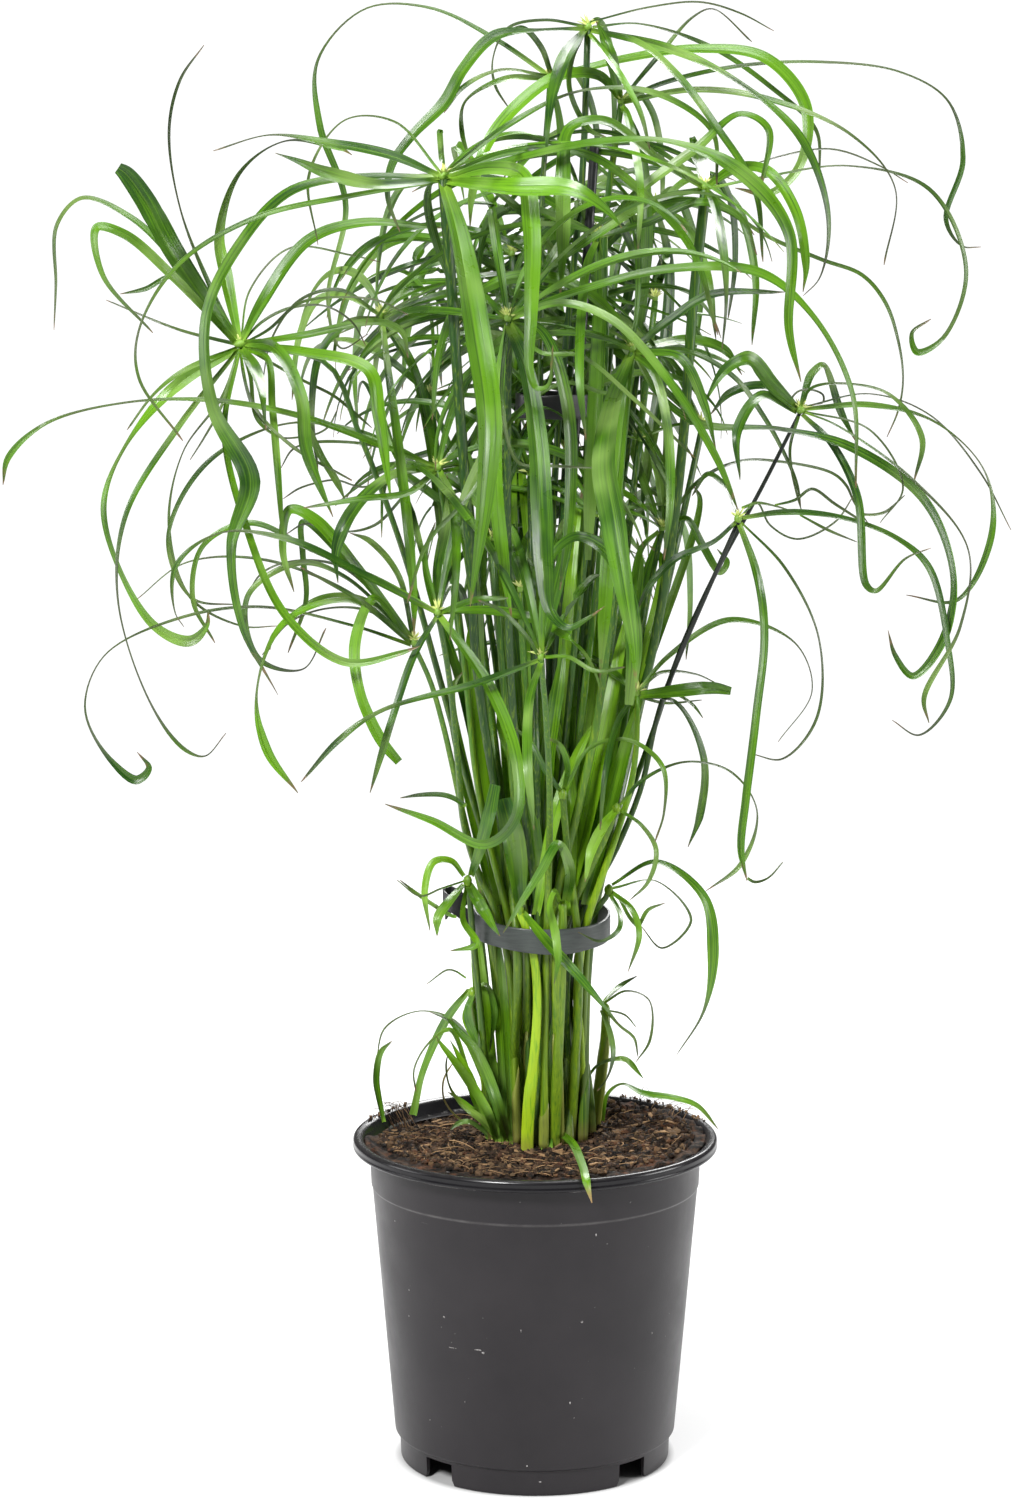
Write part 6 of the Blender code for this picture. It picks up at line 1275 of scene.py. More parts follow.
class Piece:
    """Points, faces and the values their material reads, gathered for one mesh."""

    def __init__(self, name):
        self.name = name
        self.points, self.faces, self.skins = [], [], []
        self.values = {"along": [], "across": [], "tone": [], "dry": [], "dull": []}
        self.total = 0

    def add(self, points, faces, skin=0, **values):
        """Adds one closed body, its faces turned outwards."""
        points = np.asarray(points, float)
        volume = 0.0
        for sides in sorted({len(face) for face in faces}):
            corners = points[np.array([face for face in faces if len(face) == sides])]
            for k in range(1, sides - 1):
                volume += (corners[:, 0] * np.cross(corners[:, k], corners[:, k + 1])).sum()
        turn = -1 if volume < 0 else 1
        self.points.append(points)
        self.faces += [tuple(int(c) + self.total for c in face[::turn]) for face in faces]
        self.skins += [skin] * len(faces)
        for key, kept in self.values.items():
            kept.append(np.broadcast_to(np.asarray(values.get(key, 0.0), float), (len(points),)))
        self.total += len(points)

    def finish(self, materials, slot, *nodes, sharp=None):
        """The mesh as an object that rides on the root body, and stands for CAD nodes if any are given."""
        mesh = bpy.data.meshes.new(self.name)
        mesh.from_pydata(np.concatenate(self.points).tolist(), [], self.faces)
        for material in materials:
            mesh.materials.append(material)
        mesh.polygons.foreach_set("material_index", self.skins)
        mesh.polygons.foreach_set("use_smooth", [True] * len(self.faces))
        for key, kept in self.values.items():
            layer = mesh.attributes.new(key, "FLOAT", "POINT")
            layer.data.foreach_set("value", np.concatenate(kept).astype(np.float32))
        if sharp is not None:
            mesh.set_sharp_from_angle(angle=math.radians(sharp))
        made = linked(self.name, mesh)
        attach(made, "root")
        if nodes:
            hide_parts(*nodes)
        return made


def tube(rings):
    """Points and faces of a closed body drawn through rings of points."""
    count, sides = rings.shape[:2]
    low = np.arange((count - 1) * sides).reshape(count - 1, sides)
    after = np.roll(low, -1, axis=1)
    quads = np.stack([low, after, after + sides, low + sides], -1).reshape(-1, 4)
    caps = [tuple(range(sides))[::-1], tuple(range((count - 1) * sides, count * sides))]
    return rings.reshape(-1, 3), [tuple(q) for q in quads] + caps


def directions(centre):
    """Unit directions along a line of points."""
    tangent = np.gradient(centre, axis=0)
    return tangent / np.maximum(np.linalg.norm(tangent, axis=1), 1e-12)[:, None]


def round_rings(centre, radii, sides, ribs=0.0, turn=0.0, grooves=0.0):
    """Rings of points round a line, three-sided and finely grooved if asked for."""
    tangent = directions(centre)
    side = np.cross(tangent, (0.0, 1.0, 0.0))
    flat = np.linalg.norm(side, axis=1) < 0.15
    side[flat] = np.cross(tangent[flat], (1.0, 0.0, 0.0))
    side /= np.linalg.norm(side, axis=1)[:, None]
    back = np.cross(side, tangent)
    angles = np.arange(sides) * math.tau / sides + turn
    shape = 1 + ribs * np.cos(3 * (angles - turn)) + grooves * np.cos(sides / 2 * (angles - turn))
    reach = np.asarray(radii, float)[:, None] * shape[None, :]
    return (
        centre[:, None, :]
        + (reach * np.cos(angles))[:, :, None] * side[:, None, :]
        + (reach * np.sin(angles))[:, :, None] * back[:, None, :]
    )


# Leaves

def fine_route(leaf, hub_depth, curve):
    """A leaf's route in fine steps, at the depth that its settled curve has."""
    coarse = leaf_route(leaf, hub_depth)
    points = leaf_points(leaf, hub_depth)
    points[:, 2] = [SLIMMER.get((round(point[0]), round(point[1])), point[2]) for point in points]
    count = int(np.clip(picture_measure(points) / FINE_SPACING, *FINE_RINGS))
    fine = smooth_curve(points, count)
    share, known = np.linspace(0, 1, count), np.linspace(0, 1, len(coarse))
    fine[:, 3] += even_curve(known, curve["depth"] - coarse[:, 3], share)
    return fine


def leaf_frames(route):
    """A leaf's rings in metres: centres, width vectors, upper-side normals, full widths and seen widths."""
    centre = sight(route[:, 0], route[:, 1], route[:, 3])
    tangent = directions(centre)
    view = EYE - centre
    view -= (view * tangent).sum(1)[:, None] * tangent
    view /= np.linalg.norm(view, axis=1)[:, None]
    across = np.cross(view, tangent)
    upward = 1.0 if across[: max(2, len(route) // 2), 2].sum() >= 0 else -1.0
    full = np.minimum(full_widths(route), FULL_SHARE * np.maximum(route[:, 2], LEAST_SEEN))
    cos = np.clip(route[:, 2] / full, EDGE_ON, 1.0)
    sin = np.sqrt(1 - cos**2) * upward
    normal = view * cos[:, None] + across * sin[:, None]
    return centre, np.cross(tangent, normal), normal, full * PIXEL, route[:, 2] * PIXEL


def blade(piece, centre, side, normal, full, seen, tone, dry=0.0, blunt=False, tip_dry=0.0):
    """One ribbon leaf: a shallow fold along its midrib, flatter where it is seen edge-on, and a fine tip."""
    count = len(centre)
    steps = WIDE_STEPS if full.max() > WIDE_LEAF else NARROW_STEPS
    upper = np.linspace(-1, 1, 2 * steps + 1)
    across = np.concatenate([upper, upper[1:-1][::-1]])
    under = np.arange(len(across)) >= len(upper)
    along = np.linspace(0, 1, count)
    half = full / 2
    if not blunt:
        half = np.minimum(half, (1.002 - along) * count * TIP_SLOPE + TIP_HALF)
    open_share = np.clip(seen / full, EDGE_ON, 1.0)
    fold = FOLD_ROOT + (FOLD_TIP - FOLD_ROOT) * np.minimum(along / 0.5, 1.0) ** 0.6
    fold *= open_share
    rise = np.abs(across)[None, :] * (fold * half)[:, None] - (fold * half / 2)[:, None]
    rise -= RIPPLE * (half / half.max())[:, None] * np.cos(across * math.pi * steps)[None, :] ** 2
    depth = np.where(under, THICKNESS * (1.0 + KEEL * (np.abs(across) < 0.01)), 0)
    share = np.minimum(half / half.max() + THIN_TIP, 1.0) * np.maximum(open_share, THIN_EDGE)
    rise -= depth[None, :] * share[:, None]
    rings = (
        centre[:, None, :]
        + across[None, :, None] * half[:, None, None] * side[:, None, :]
        + rise[:, :, None] * normal[:, None, :]
    )
    # Painted shade: a leaf that looks narrow from the camera, being seen edge-on, gets a grey shade colour in
    # place of its lit green
    dull = np.clip((DULL_WIDTH - seen) / DULL_RANGE, 0, 1) * np.minimum(along / DULL_ROOT, 1)
    shown = along * (BLUNT_SHOWN if blunt else 1.0)
    dry = dry + tip_dry * np.clip((along - DRY_TIP[0]) / (DRY_TIP[1] - DRY_TIP[0]), 0, 1)
    shown, dry, dull = (np.repeat(value, len(across)) for value in (shown, dry, dull))
    across = np.tile(across, count)
    piece.add(*tube(rings), along=shown, across=across, tone=tone, dry=dry, dull=dull)


# Inner arching leaves

def in_region(u, v):
    """Whether picture points lie inside the region that inner leaves keep to."""
    inside = np.zeros(np.shape(u), bool)
    for (u0, v0), (u1, v1) in zip(FILL_REGION, FILL_REGION[1:] + FILL_REGION[:1]):
        crosses = (v0 > v) != (v1 > v)
        inside ^= crosses & (u < (u1 - u0) * (v - v0) / (v1 - v0 + 1e-9) + u0)
    return inside


def arching_path(rng, hub):
    """The points of a leaf that springs from a hub, arches outwards and hangs, and its width; None if the
    region has no room for it."""
    share = np.linspace(0, 1, INNER_RINGS)
    for _ in range(TRIES):
        heading = rng.uniform(*ARCH_HEADING)
        length = rng.uniform(*INNER_LENGTH)
        first = math.radians(rng.uniform(*ARCH_FIRST))
        last = math.radians(rng.uniform(*ARCH_LAST))
        bend = rng.uniform(*ARCH_BEND)
        swerve = rng.uniform(-ARCH_SWERVE, ARCH_SWERVE)
        width = rng.uniform(*INNER_WIDTH)
        climb = first + (last - first) * share**bend
        course = heading + swerve * share
        step = length / (INNER_RINGS - 1)
        moves = np.stack([np.cos(climb) * np.cos(course), np.cos(climb) * np.sin(course), np.sin(climb)], 1)
        path = hub + np.vstack([np.zeros(3), np.cumsum(moves[:-1], axis=0)]) * step
        seen = picture_points(path)
        if in_region(seen[:, 0], seen[:, 1]).all() and (path[:, 1] < INNER_BACK).all():
            return path, width
    return None, None


def arching_leaves(rng, head, count):
    """Inner leaves of a crown: their paths, widths and curves, and their rings' places and first depths."""
    made = []
    for _ in range(count):
        path, width = arching_path(rng, head["hub"])
        if path is not None:
            places = np.linspace(0, len(path) - 1, INNER_SEGMENTS + 1).round().astype(int)
            u, v, depth = picture_points(path[places]).T
            thick = width * ARCH_THICK + LEAF_KEEL
            half = width / PIXEL / 2
            curve = movable(u, v, depth, half, thick, [0], head["family"], 0, CROWN_NEAR, head["view"])
            made.append({"path": path, "width": width, "curve": curve, "places": places, "before": depth})
    return made


def arching_frames(path, rng):
    """Width and upper-side directions of an inner leaf, turning a little along it: of a few rolls tried, the
    one that shows most of its face."""
    tangent = directions(path)
    side = np.cross(tangent, (0.0, 0.0, 1.0))
    side /= np.maximum(np.linalg.norm(side, axis=1), 1e-6)[:, None]
    for k in range(1, len(side)):
        if np.dot(side[k], side[k - 1]) < 0:
            side[k] = -side[k]
    normal = np.cross(side, tangent)
    view = EYE - path
    view /= np.linalg.norm(view, axis=1)[:, None]
    best, shown = None, -1.0
    for _ in range(ROLLS):
        roll = rng.uniform(-ROLL, ROLL) + rng.uniform(-TWIST, TWIST) * np.linspace(0, 1, len(path))
        cos, sin = np.cos(roll)[:, None], np.sin(roll)[:, None]
        frames = side * cos + normal * sin, normal * cos - side * sin
        facing = np.abs((frames[1] * view).sum(1)).mean()
        if facing > shown:
            best, shown = frames, facing
    return best


def add_arching(piece, leaf, rng, tone):
    """An inner leaf at its settled depth."""
    count = len(leaf["path"])
    u, v, depth = picture_points(leaf["path"]).T
    shift = even_curve(leaf["places"], leaf["curve"]["depth"] - leaf["before"], np.arange(count))
    centre = sight(u, v, depth + shift)
    side, normal = arching_frames(centre, rng)
    tone = np.clip(tone + rng.uniform(*ARCH_TONE), 0, 1)
    along = np.linspace(0, 1, count)
    full = leaf["width"] * np.minimum(0.45 + 2.4 * along, 1.0) * np.minimum((1.04 - along) / 0.5, 1.0) ** 0.8
    blade(piece, centre, side, normal, full, full + DULL_WIDTH, tone)


# Crown middles and stems

def add_hub(piece, hub, rng, leaves):
    """The crown's middle: a small knob under the leaves and a tuft of pointed spikelets on top."""
    radius = (HUB_RADIUS + HUB_GROWTH * leaves) * KNOB
    heights = np.linspace(*KNOB_LEVELS, KNOB_RINGS) * HUB_HEIGHT
    shape = radius * np.sqrt(np.maximum(1 - (np.linspace(-1, 1, KNOB_RINGS) * 0.93) ** 2, 0.02))
    centre = hub + heights[:, None] * (0, 0, 1)
    piece.add(*tube(round_rings(centre, shape, 12)), skin=1, along=0.0, tone=0.0, dull=1.0)
    share = np.linspace(0, 1, len(SPIKELET_SHAPE))
    for _ in range(rng.integers(*SPIKELETS)):
        heading, climb = rng.uniform(0, math.tau), math.radians(rng.uniform(*SPIKELET_CLIMB))
        length = rng.uniform(*SPIKELET_LENGTH)
        out = math.cos(climb)
        way = np.array((out * math.cos(heading), out * math.sin(heading), math.sin(climb)))
        line = hub + np.array((0, 0, HUB_HEIGHT * 0.4)) + way * length * share[:, None]
        line[:, 2] -= SPIKELET_SAG * length * share**2
        radii = SPIKELET_RADIUS * np.array(SPIKELET_SHAPE)
        piece.add(*tube(round_rings(line, radii, 5)), skin=1, along=share.repeat(5), tone=rng.uniform(0.2, 1))


def add_stalk(piece, line, radii, tone, rng, skin=0, black=0.0):
    """A stem: a blunt three-sided rod, finely grooved, with an oblique papery sheath round its foot."""
    centre = drawn_through(line, STALK_RINGS)
    wide = np.interp(np.linspace(0, 1, STALK_RINGS), np.linspace(0, 1, len(radii)), radii)
    turn = rng.uniform(0, math.tau)
    along = np.repeat((centre[:, 2] - centre[0, 2]) / STALK_FADE, STALK_SIDES)
    rings = round_rings(centre, wide, STALK_SIDES, STALK_RIB, turn, STALK_GROOVE)
    # Painted shade: the upper part of a shaded stem is painted near-black
    dark = black * np.clip((along - BLACK_FROM[0]) / (BLACK_FROM[1] - BLACK_FROM[0]), 0, 1)
    piece.add(*tube(rings), skin=skin, along=along, across=turn, tone=tone, dull=dark)
    tall = rng.uniform(*SHEATH_HEIGHT)
    fine = drawn_through(line, SHEATH_SAMPLES)
    rise = np.searchsorted(fine[:, 2], fine[0, 2] + tall)
    core = fine[np.linspace(0, max(rise, SHEATH_RINGS), SHEATH_RINGS).astype(int)]
    shell = np.full(SHEATH_RINGS, wide[0] + SHEATH_GAP)
    shell[-1] = wide[0] * SHEATH_MOUTH
    rings = round_rings(core, shell, STALK_SIDES, STALK_RIB, turn, STALK_GROOVE)
    slant = np.cos(np.arange(STALK_SIDES) * math.tau / STALK_SIDES - rng.uniform(0, math.tau))
    up = directions(core)[-1]
    for ring, share in ((-1, 1.0), (-2, 0.9), (-3, 0.5), (-4, 0.2)):
        rings[ring] += (slant * share * tall * SHEATH_SLANT)[:, None] * up
    along = np.repeat(np.linspace(0, 0.3, SHEATH_RINGS), STALK_SIDES)
    piece.add(*tube(rings), skin=skin, along=along, across=turn, tone=tone, dry=rng.uniform(*SHEATH_DRY))


def build_stem(job, materials, rng):
    """The stem under a crown, thinner towards its top."""
    key = job["key"]
    line = settled_line(job["stem"])
    line[-1] = job["hub"] - (0, 0, HUB_HEIGHT * HUB_SINK)
    tone = STEM_TONES.get(key, STEM_TONE)
    foot = STEM_FOOT_RADIUS * (FOOT_SHARE[0] + FOOT_SHARE[1] * tone)
    radii = np.linspace(foot, THIN_STALKS.get(key, STALK_TOP), len(line))
    stalk = Piece("stalk_" + key)
    add_stalk(stalk, line, radii, tone, rng, black=float(key in BLACK_STALKS))
    stalk.finish([materials["stem"]], "stem", "stem_" + key)


def add_shoot_stem(piece, job, rng):
    """A shoot's stem and the cup from which its leaves come."""
    line = settled_line(job["stem"])
    line[-1] = job["hub"] + (0, 0, HUB_HEIGHT * HUB_SINK)
    tone = STEM_TONES.get(job["key"], SHOOT_TONE)
    radii = job["radii"] * (SHOOT_SHARE + (1 - SHOOT_SHARE) * min(2 * tone, 1.0))
    add_stalk(piece, line, radii, tone, rng, skin=1)
    heights = np.linspace(*CUP_LEVELS, len(CUP_SHAPE)) * HUB_HEIGHT
    cup = line[-1] + heights[:, None] * (0, 0, 1)
    girth = STEM_TOP_RADIUS * np.array(CUP_SHAPE)
    piece.add(*tube(round_rings(cup, girth, 16, STALK_RIB)), skin=1, along=0.5, tone=0.6)


# The plant

def head_job(family, key, head):
    """A crown, shoot or sprout: its hub, its stem's curve, and its leaves with their curves."""
    (u, v, *given), passes, leaves = head
    kind = "crown" if key in CROWNS else "shoot" if key in SHOOTS else "sprout"
    depth = given[0] if given else depth_on_level(u, v, SOIL_LEVEL + HUB_HEIGHT)
    job = {"key": key, "kind": kind, "family": family, "view": (u, v), "depth": depth}
    job["hub"] = sight(u, v, depth)
    if kind != "sprout":
        count = STEM_RINGS if kind == "crown" else SHOOT_RINGS
        route = stem_route((u, v, depth), STEMS_BEHIND.get(key, passes), *bundle_place(key), count)
        job["radii"] = np.linspace(STEM_FOOT_RADIUS, STEM_TOP_RADIUS, len(route))
        job["stem"] = stem_curve(route, job["radii"], (u, v), family)
    near = CROWN_NEAR if kind == "crown" else SHOOT_NEAR
    shapes = [RESHAPED.get((key, number), leaf) for number, leaf in enumerate(leaves)]
    job["leaves"] = [(leaf, leaf_curve(leaf, depth, (u, v), family, near)) for leaf in shapes]
    return job


def free_place(rng, taken, centre, half):
    """A place inside an oval that keeps its distance from the places taken, and is then taken too."""
    best, widest = None, -1.0
    for _ in range(TRIES):
        reach, angle = math.sqrt(rng.random()), rng.uniform(0, math.tau)
        way = (math.cos(angle), math.sin(angle))
        place = np.array([c + h * reach * w for c, h, w in zip(centre, half, way)])
        apart = min(np.hypot(*(np.array(other) - place)) for other in taken)
        if apart > widest:
            best, widest = place, apart
        if apart > STEM_ROOM:
            break
    taken.append(tuple(best))
    return best


def inner_stems(rng):
    """Stems between the others: each from a free place in the soil, through the strap, to its small crown."""
    feet = [tuple(value * MILLIMETRE for value in foot) for foot, _ in BUNDLE.values()]
    ties = [tuple(value * MILLIMETRE for value in tie) for _, tie in BUNDLE.values() if tie is not None]
    foot_half = [CLUMP_RADIUS * share for share in INNER_CLUMP]
    strap_half = [half - STRAP_ROOM for half in STRAP_HALF]
    places = []
    for _ in INNER_STEMS:
        tie = free_place(rng, ties, STRAP_CENTRE, strap_half)
        places.append((tie, free_place(rng, feet, CLUMP_CENTRE, foot_half)))
    ties, feet = (sorted(side, key=lambda place: place[0]) for side in zip(*places))
    made = []
    for number, (hub, foot, tie) in enumerate(zip(sorted(INNER_STEMS), feet, ties)):
        foot = (*foot, SOIL_LEVEL + TOUCH)
        tie = (*tie, strap_level(*tie) + STRAP_HEIGHT / 2 + ABOVE_STRAP)
        route = stem_route(hub, (), foot, tie, STEM_RINGS + 2)
        radii = np.linspace(*INNER_STEM_RADIUS, len(route))
        family = INNER_FAMILY + number
        curve = stem_curve(route, radii, hub[:2], family)
        made.append({"stem": curve, "family": family, "hub": sight(*hub), "view": hub[:2], "radii": radii})
    return made


def upright_leaf(leaf, rng):
    """A young leaf that stands between the stems, as its leaf points, its curve and how dry it is."""
    root, middle, tip, width, depth = leaf
    top = (tip[0] + rng.uniform(-14, 14), tip[1] - rng.uniform(10, 40), 2)
    points = ((*root, width * 0.7), (*middle, width), (*tip, width * 0.6), top)
    leaf = ((depth * 0.5 - 0.012, depth, depth + 0.008, depth + 0.012), *points)
    curve = leaf_curve(leaf, depth, root, UPRIGHT_FAMILY, SHOOT_NEAR)
    curve["free"] = np.ones(len(curve["free"]), bool)
    return leaf, curve, 0.0


def low_leaf(number, leaf):
    """A leaf that grows from the soil, as its leaf points, its curve and how dry it is."""
    lean, dry, *points = leaf
    u, v, _ = points[0]
    depth = depth_on_level(u, v, SOIL_LEVEL - TOUCH)
    curve = leaf_curve((lean, *points), depth, (u, v), LOW_FAMILY + number, SHOOT_NEAR)
    depths = tuple(depth + lean * share for share in np.linspace(0, 1, len(points)))
    return (depths, *points), curve, dry


def build_head(job, materials, rng):
    """One crown, shoot or sprout with its stem, as pieces that stand for their CAD nodes."""
    key, kind = job["key"], job["kind"]
    light = TONES.get(key, LEAF_TONE)
    piece = Piece("leaves_" + key)
    for leaf, curve in job["leaves"]:
        route = fine_route(leaf, job["depth"], curve)
        tone = np.clip(light + rng.uniform(*TONE_SPREAD), 0, 1)
        blade(piece, *leaf_frames(route), tone, blunt=route[-1, 2] >= BLUNT, tip_dry=DRY_TIPS.get(key, 0.0))
    for leaf in job["arching"]:
        add_arching(piece, leaf, rng, light)
    if kind == "crown":
        add_hub(piece, job["hub"], rng, len(job["leaves"]))
        build_stem(job, materials, rng)
        piece.finish([materials["leaf"], materials["floret"]], "leaf", "crown_" + key, sharp=CREASE)
        return
    if kind == "shoot":
        add_shoot_stem(piece, job, rng)
    piece.finish([materials["young"], materials["stem"]], "young_growth", kind + "_" + key, sharp=CREASE)


def build_inner(inner, young_leaves, materials, rng):
    """The inner stems, their small crowns, and the young leaves round them, as three pieces."""
    stalks, crowns, young = Piece("inner_stems"), Piece("inner_crowns"), Piece("upright_leaves")
    for stem in inner:
        line = settled_line(stem["stem"])
        line[-1] = stem["hub"] - (0, 0, HUB_HEIGHT * HUB_SINK)
        add_stalk(stalks, line, stem["radii"], rng.uniform(0.0, INNER_LIGHTEST), rng)
        add_hub(crowns, stem["hub"], rng, 4)
        for leaf in stem["arching"]:
            add_arching(crowns, leaf, rng, INNER_TONE)
    for leaf, curve, dry in young_leaves:
        blade(young, *leaf_frames(fine_route(leaf, 0.0, curve)), rng.uniform(-0.3, 1.2), dry)
    stalks.finish([materials["stem"]], "stem")
    crowns.finish([materials["leaf"], materials["floret"]], "leaf", sharp=CREASE)
    young.finish([materials["young"]], "young_growth", sharp=CREASE)


def plant(materials):
    """All the stems, crowns, shoots and sprouts, clear of each other, with the inner growth between them."""
    rng = np.random.default_rng(SEED)
    heads = {**CROWNS, **SHOOTS, **SPROUTS}
    jobs = [head_job(family, key, head) for family, (key, head) in enumerate(heads.items())]
    curves = []
    for job in jobs:
        curves += [job["stem"]] if "stem" in job else []
        curves += [curve for _, curve in job["leaves"]]
    settle(curves + obstacles())
    added = []
    for job in jobs:
        place = job["depth"], job["view"], job["family"], CROWN_NEAR
        extras = [(leaf, leaf_curve(leaf, *place)) for leaf in EXTRA_LEAVES.get(job["key"], ())]
        job["leaves"] += extras
        job["arching"] = arching_leaves(rng, job, INNER_LEAVES.get(job["key"], 0))
        added += [curve for _, curve in extras] + [leaf["curve"] for leaf in job["arching"]]
    inner = inner_stems(rng)
    for stem in inner:
        stem["arching"] = arching_leaves(rng, stem, INNER_STEM_LEAVES)
        added += [stem["stem"]] + [leaf["curve"] for leaf in stem["arching"]]
    young = [upright_leaf(leaf, rng) for leaf in UPRIGHT]
    young += [low_leaf(number, leaf) for number, leaf in enumerate(LOW_LEAVES)]
    added += [curve for _, curve, _ in young]
    for curve in curves:
        curve["free"] = np.zeros(len(curve["free"]), bool)
    settle(added + curves + obstacles())
    for job in jobs:
        build_head(job, materials, rng)
    build_inner(inner, young, materials, rng)


# Soil

def soil_height(x, y):
    """The height of the soil: level in the clump, lumpy round it, lower at the back on the left."""
    away = math.hypot(x - CLUMP_CENTRE[0], y - CLUMP_CENTRE[1])
    out = min(max((away - CLUMP_RADIUS) / 0.02, 0.0), 1.0)
    lumps = LUMP_HEIGHTS[0] * math.sin(LUMP_TURNS[0] * x + 0.7) * math.cos(LUMP_TURNS[1] * y)
    lumps += LUMP_HEIGHTS[1] * math.sin(LUMP_TURNS[2] * (x + y))
    edge = min(math.hypot(x, y) / NECK_RADIUS, 1.0) ** 2
    low = max(0.0, math.cos(math.atan2(y, x) - LOW_MIDDLE) - LOW_SPREAD) / (1 - LOW_SPREAD)
    return SOIL_LEVEL + out * (lumps * (1 - 0.6 * edge) + edge * (SOIL_EDGE - LOW_PART * low))


def soil_top(x, y):
    """The height of the soil with its crumbs and clods."""
    rough = noise.fractal(Vector((x, y, 0.3)) * ROUGH_TURNS, 0.9, 2.1, 5)
    clods = noise.voronoi(Vector((x, y, 0.1)) * CLOD_TURNS)[0][0]
    return soil_height(x, y) + SOIL_ROUGH * rough - SOIL_CLOD * clods


def inner_radius(height):
    """The radius of the pot's inner side at a height between its neck and its lip."""
    known = (POT_HEIGHT - LIP_HEIGHT - EDGE, POT_HEIGHT - EDGE)
    return float(np.interp(height, known, (NECK_RADIUS - WALL, RIM_RADIUS - LIP_WIDTH)))


def scattered(rng, count, reach):
    """Points spread evenly over a round patch of the soil."""
    found = []
    for _ in range(count):
        radius, angle = reach * math.sqrt(rng.random()), rng.uniform(0, math.tau)
        found.append((radius * math.cos(angle), radius * math.sin(angle)))
    return found


def soil_plug(material):
    """The body of the soil: a lumpy top that reaches the pot's inner wall, and the sides below it."""
    slope = (STEP_RADIUS - SHOULDER_RADIUS) / (STEP_HEIGHT - FOOT_HEIGHT)
    low = SHOULDER_RADIUS + slope * (FLOOR_TOP - FOOT_HEIGHT) - WALL - SOIL_GAP
    angles = np.arange(SOIL_TURNS) * math.tau / SOIL_TURNS
    edge = [soil_height(SOIL_RIM * math.cos(a), SOIL_RIM * math.sin(a)) for a in angles]
    reach = [inner_radius(height) - SOIL_GAP for height in edge]
    rings = []
    for share in np.linspace(0.006, 1, SOIL_RINGS):
        places = [(r * share * math.cos(a), r * share * math.sin(a)) for r, a in zip(reach, angles)]
        rings.append([(x, y, soil_top(x, y)) for x, y in places])
    sides = (
        (SOIL_RIM, POT_HEIGHT - LIP_HEIGHT - EDGE),
        (SOIL_RIM, STEP_HEIGHT + EDGE),
        (STEP_RADIUS - WALL - SOIL_GAP, STEP_HEIGHT - EDGE),
        (low, FLOOR_TOP + SOIL_GAP),
        (low * 0.01, FLOOR_TOP + SOIL_GAP),
    )
    for radius, height in sides:
        rings.append([(radius * math.cos(a), radius * math.sin(a), height) for a in angles])
    piece = Piece("soil_mix")
    piece.add(*tube(np.array(rings)), tone=0.3)
    piece.finish([material], "soil", "soil")


def add_fibre(piece, rng, x, y):
    """A coir fibre that lies curled on the soil, a little bowed upwards."""
    length, radius = rng.uniform(*FIBRE_LENGTH), rng.uniform(*FIBRE_RADIUS)
    share = np.linspace(-0.5, 0.5, FIBRE_RINGS)
    heading, curl = rng.uniform(0, math.tau), rng.uniform(-FIBRE_CURL, FIBRE_CURL)
    course = heading + curl * share
    moves = np.stack([np.cos(course), np.sin(course), np.zeros(FIBRE_RINGS)], 1)
    line = np.cumsum(moves, axis=0) * length / FIBRE_RINGS
    line += (x, y, 0) - line.mean(0)
    away = np.maximum(np.hypot(line[:, 0], line[:, 1]), 1e-6)
    line *= np.minimum((SOIL_RIM - 0.002) / away, 1.0)[:, None]
    line[:, 2] = [soil_height(px, py) for px, py, _ in line]
    line[:, 2] += rng.uniform(*FIBRE_LIFT) + rng.uniform(0, FIBRE_BOW) * length * (1 - (2 * share) ** 2)
    radii = radius * (1.1 - 0.8 * np.abs(2 * share) ** 3)
    piece.add(*tube(round_rings(line, radii, 4)), tone=1.1 * rng.random() ** 2.4)


def add_crumb(piece, rng, centre, size, uneven, stretch, lightest):
    """A crumb of soil: a lump with uneven corners, stretched its own way."""
    points = LUMP_POINTS * rng.uniform(*uneven, (len(LUMP_POINTS), 1)) * size * rng.uniform(*stretch, 3)
    piece.add(np.array(centre) + points, LUMP_FACES, tone=rng.random() * lightest)


def add_chip(piece, rng, x, y):
    """A flat chip of bark, turned and tilted."""
    length, wide = rng.uniform(*CHIP_LENGTH), rng.uniform(*CHIP_WIDTH)
    points = CHIP_POINTS * (length / 2, wide / 2, CHIP_HALF) * rng.uniform(0.7, 1.1, (8, 1))
    turn, tilt = rng.uniform(0, math.tau), rng.uniform(-CHIP_TILT, CHIP_TILT)
    points[:, 2] += points[:, 0] * tilt
    px, py, pz = points.T
    cos, sin = math.cos(turn), math.sin(turn)
    points = np.stack([px * cos - py * sin, px * sin + py * cos, pz], 1)
    piece.add(points + (x, y, soil_height(x, y) + CHIP_LIFT), CHIP_FACES, tone=rng.uniform(0.3, 0.85))


def rim_fibre(rng, turn):
    """A thin root that arches from the soil's edge over the lip."""
    share = np.linspace(0, 1, 9)
    inside = RIM_RADIUS - RIM_FIBRE_ROOT
    radius = inside + rng.uniform(*RIM_FIBRE_REACH) * share
    angles = turn + rng.uniform(-0.16, 0.16) * share + rng.uniform(-0.05, 0.05) * share**2
    lift = rng.uniform(*RIM_FIBRE_LIFT)
    start = soil_height(inside * math.cos(turn), inside * math.sin(turn))
    height = start + (POT_HEIGHT + rng.uniform(0.0, 0.002) - start) * share + lift * np.sin(math.pi * share)
    line = np.stack([radius * np.cos(angles), radius * np.sin(angles), height], 1)
    return tube(round_rings(line, rng.uniform(*FIBRE_RADIUS) * (1.1 - 0.8 * share), 4))


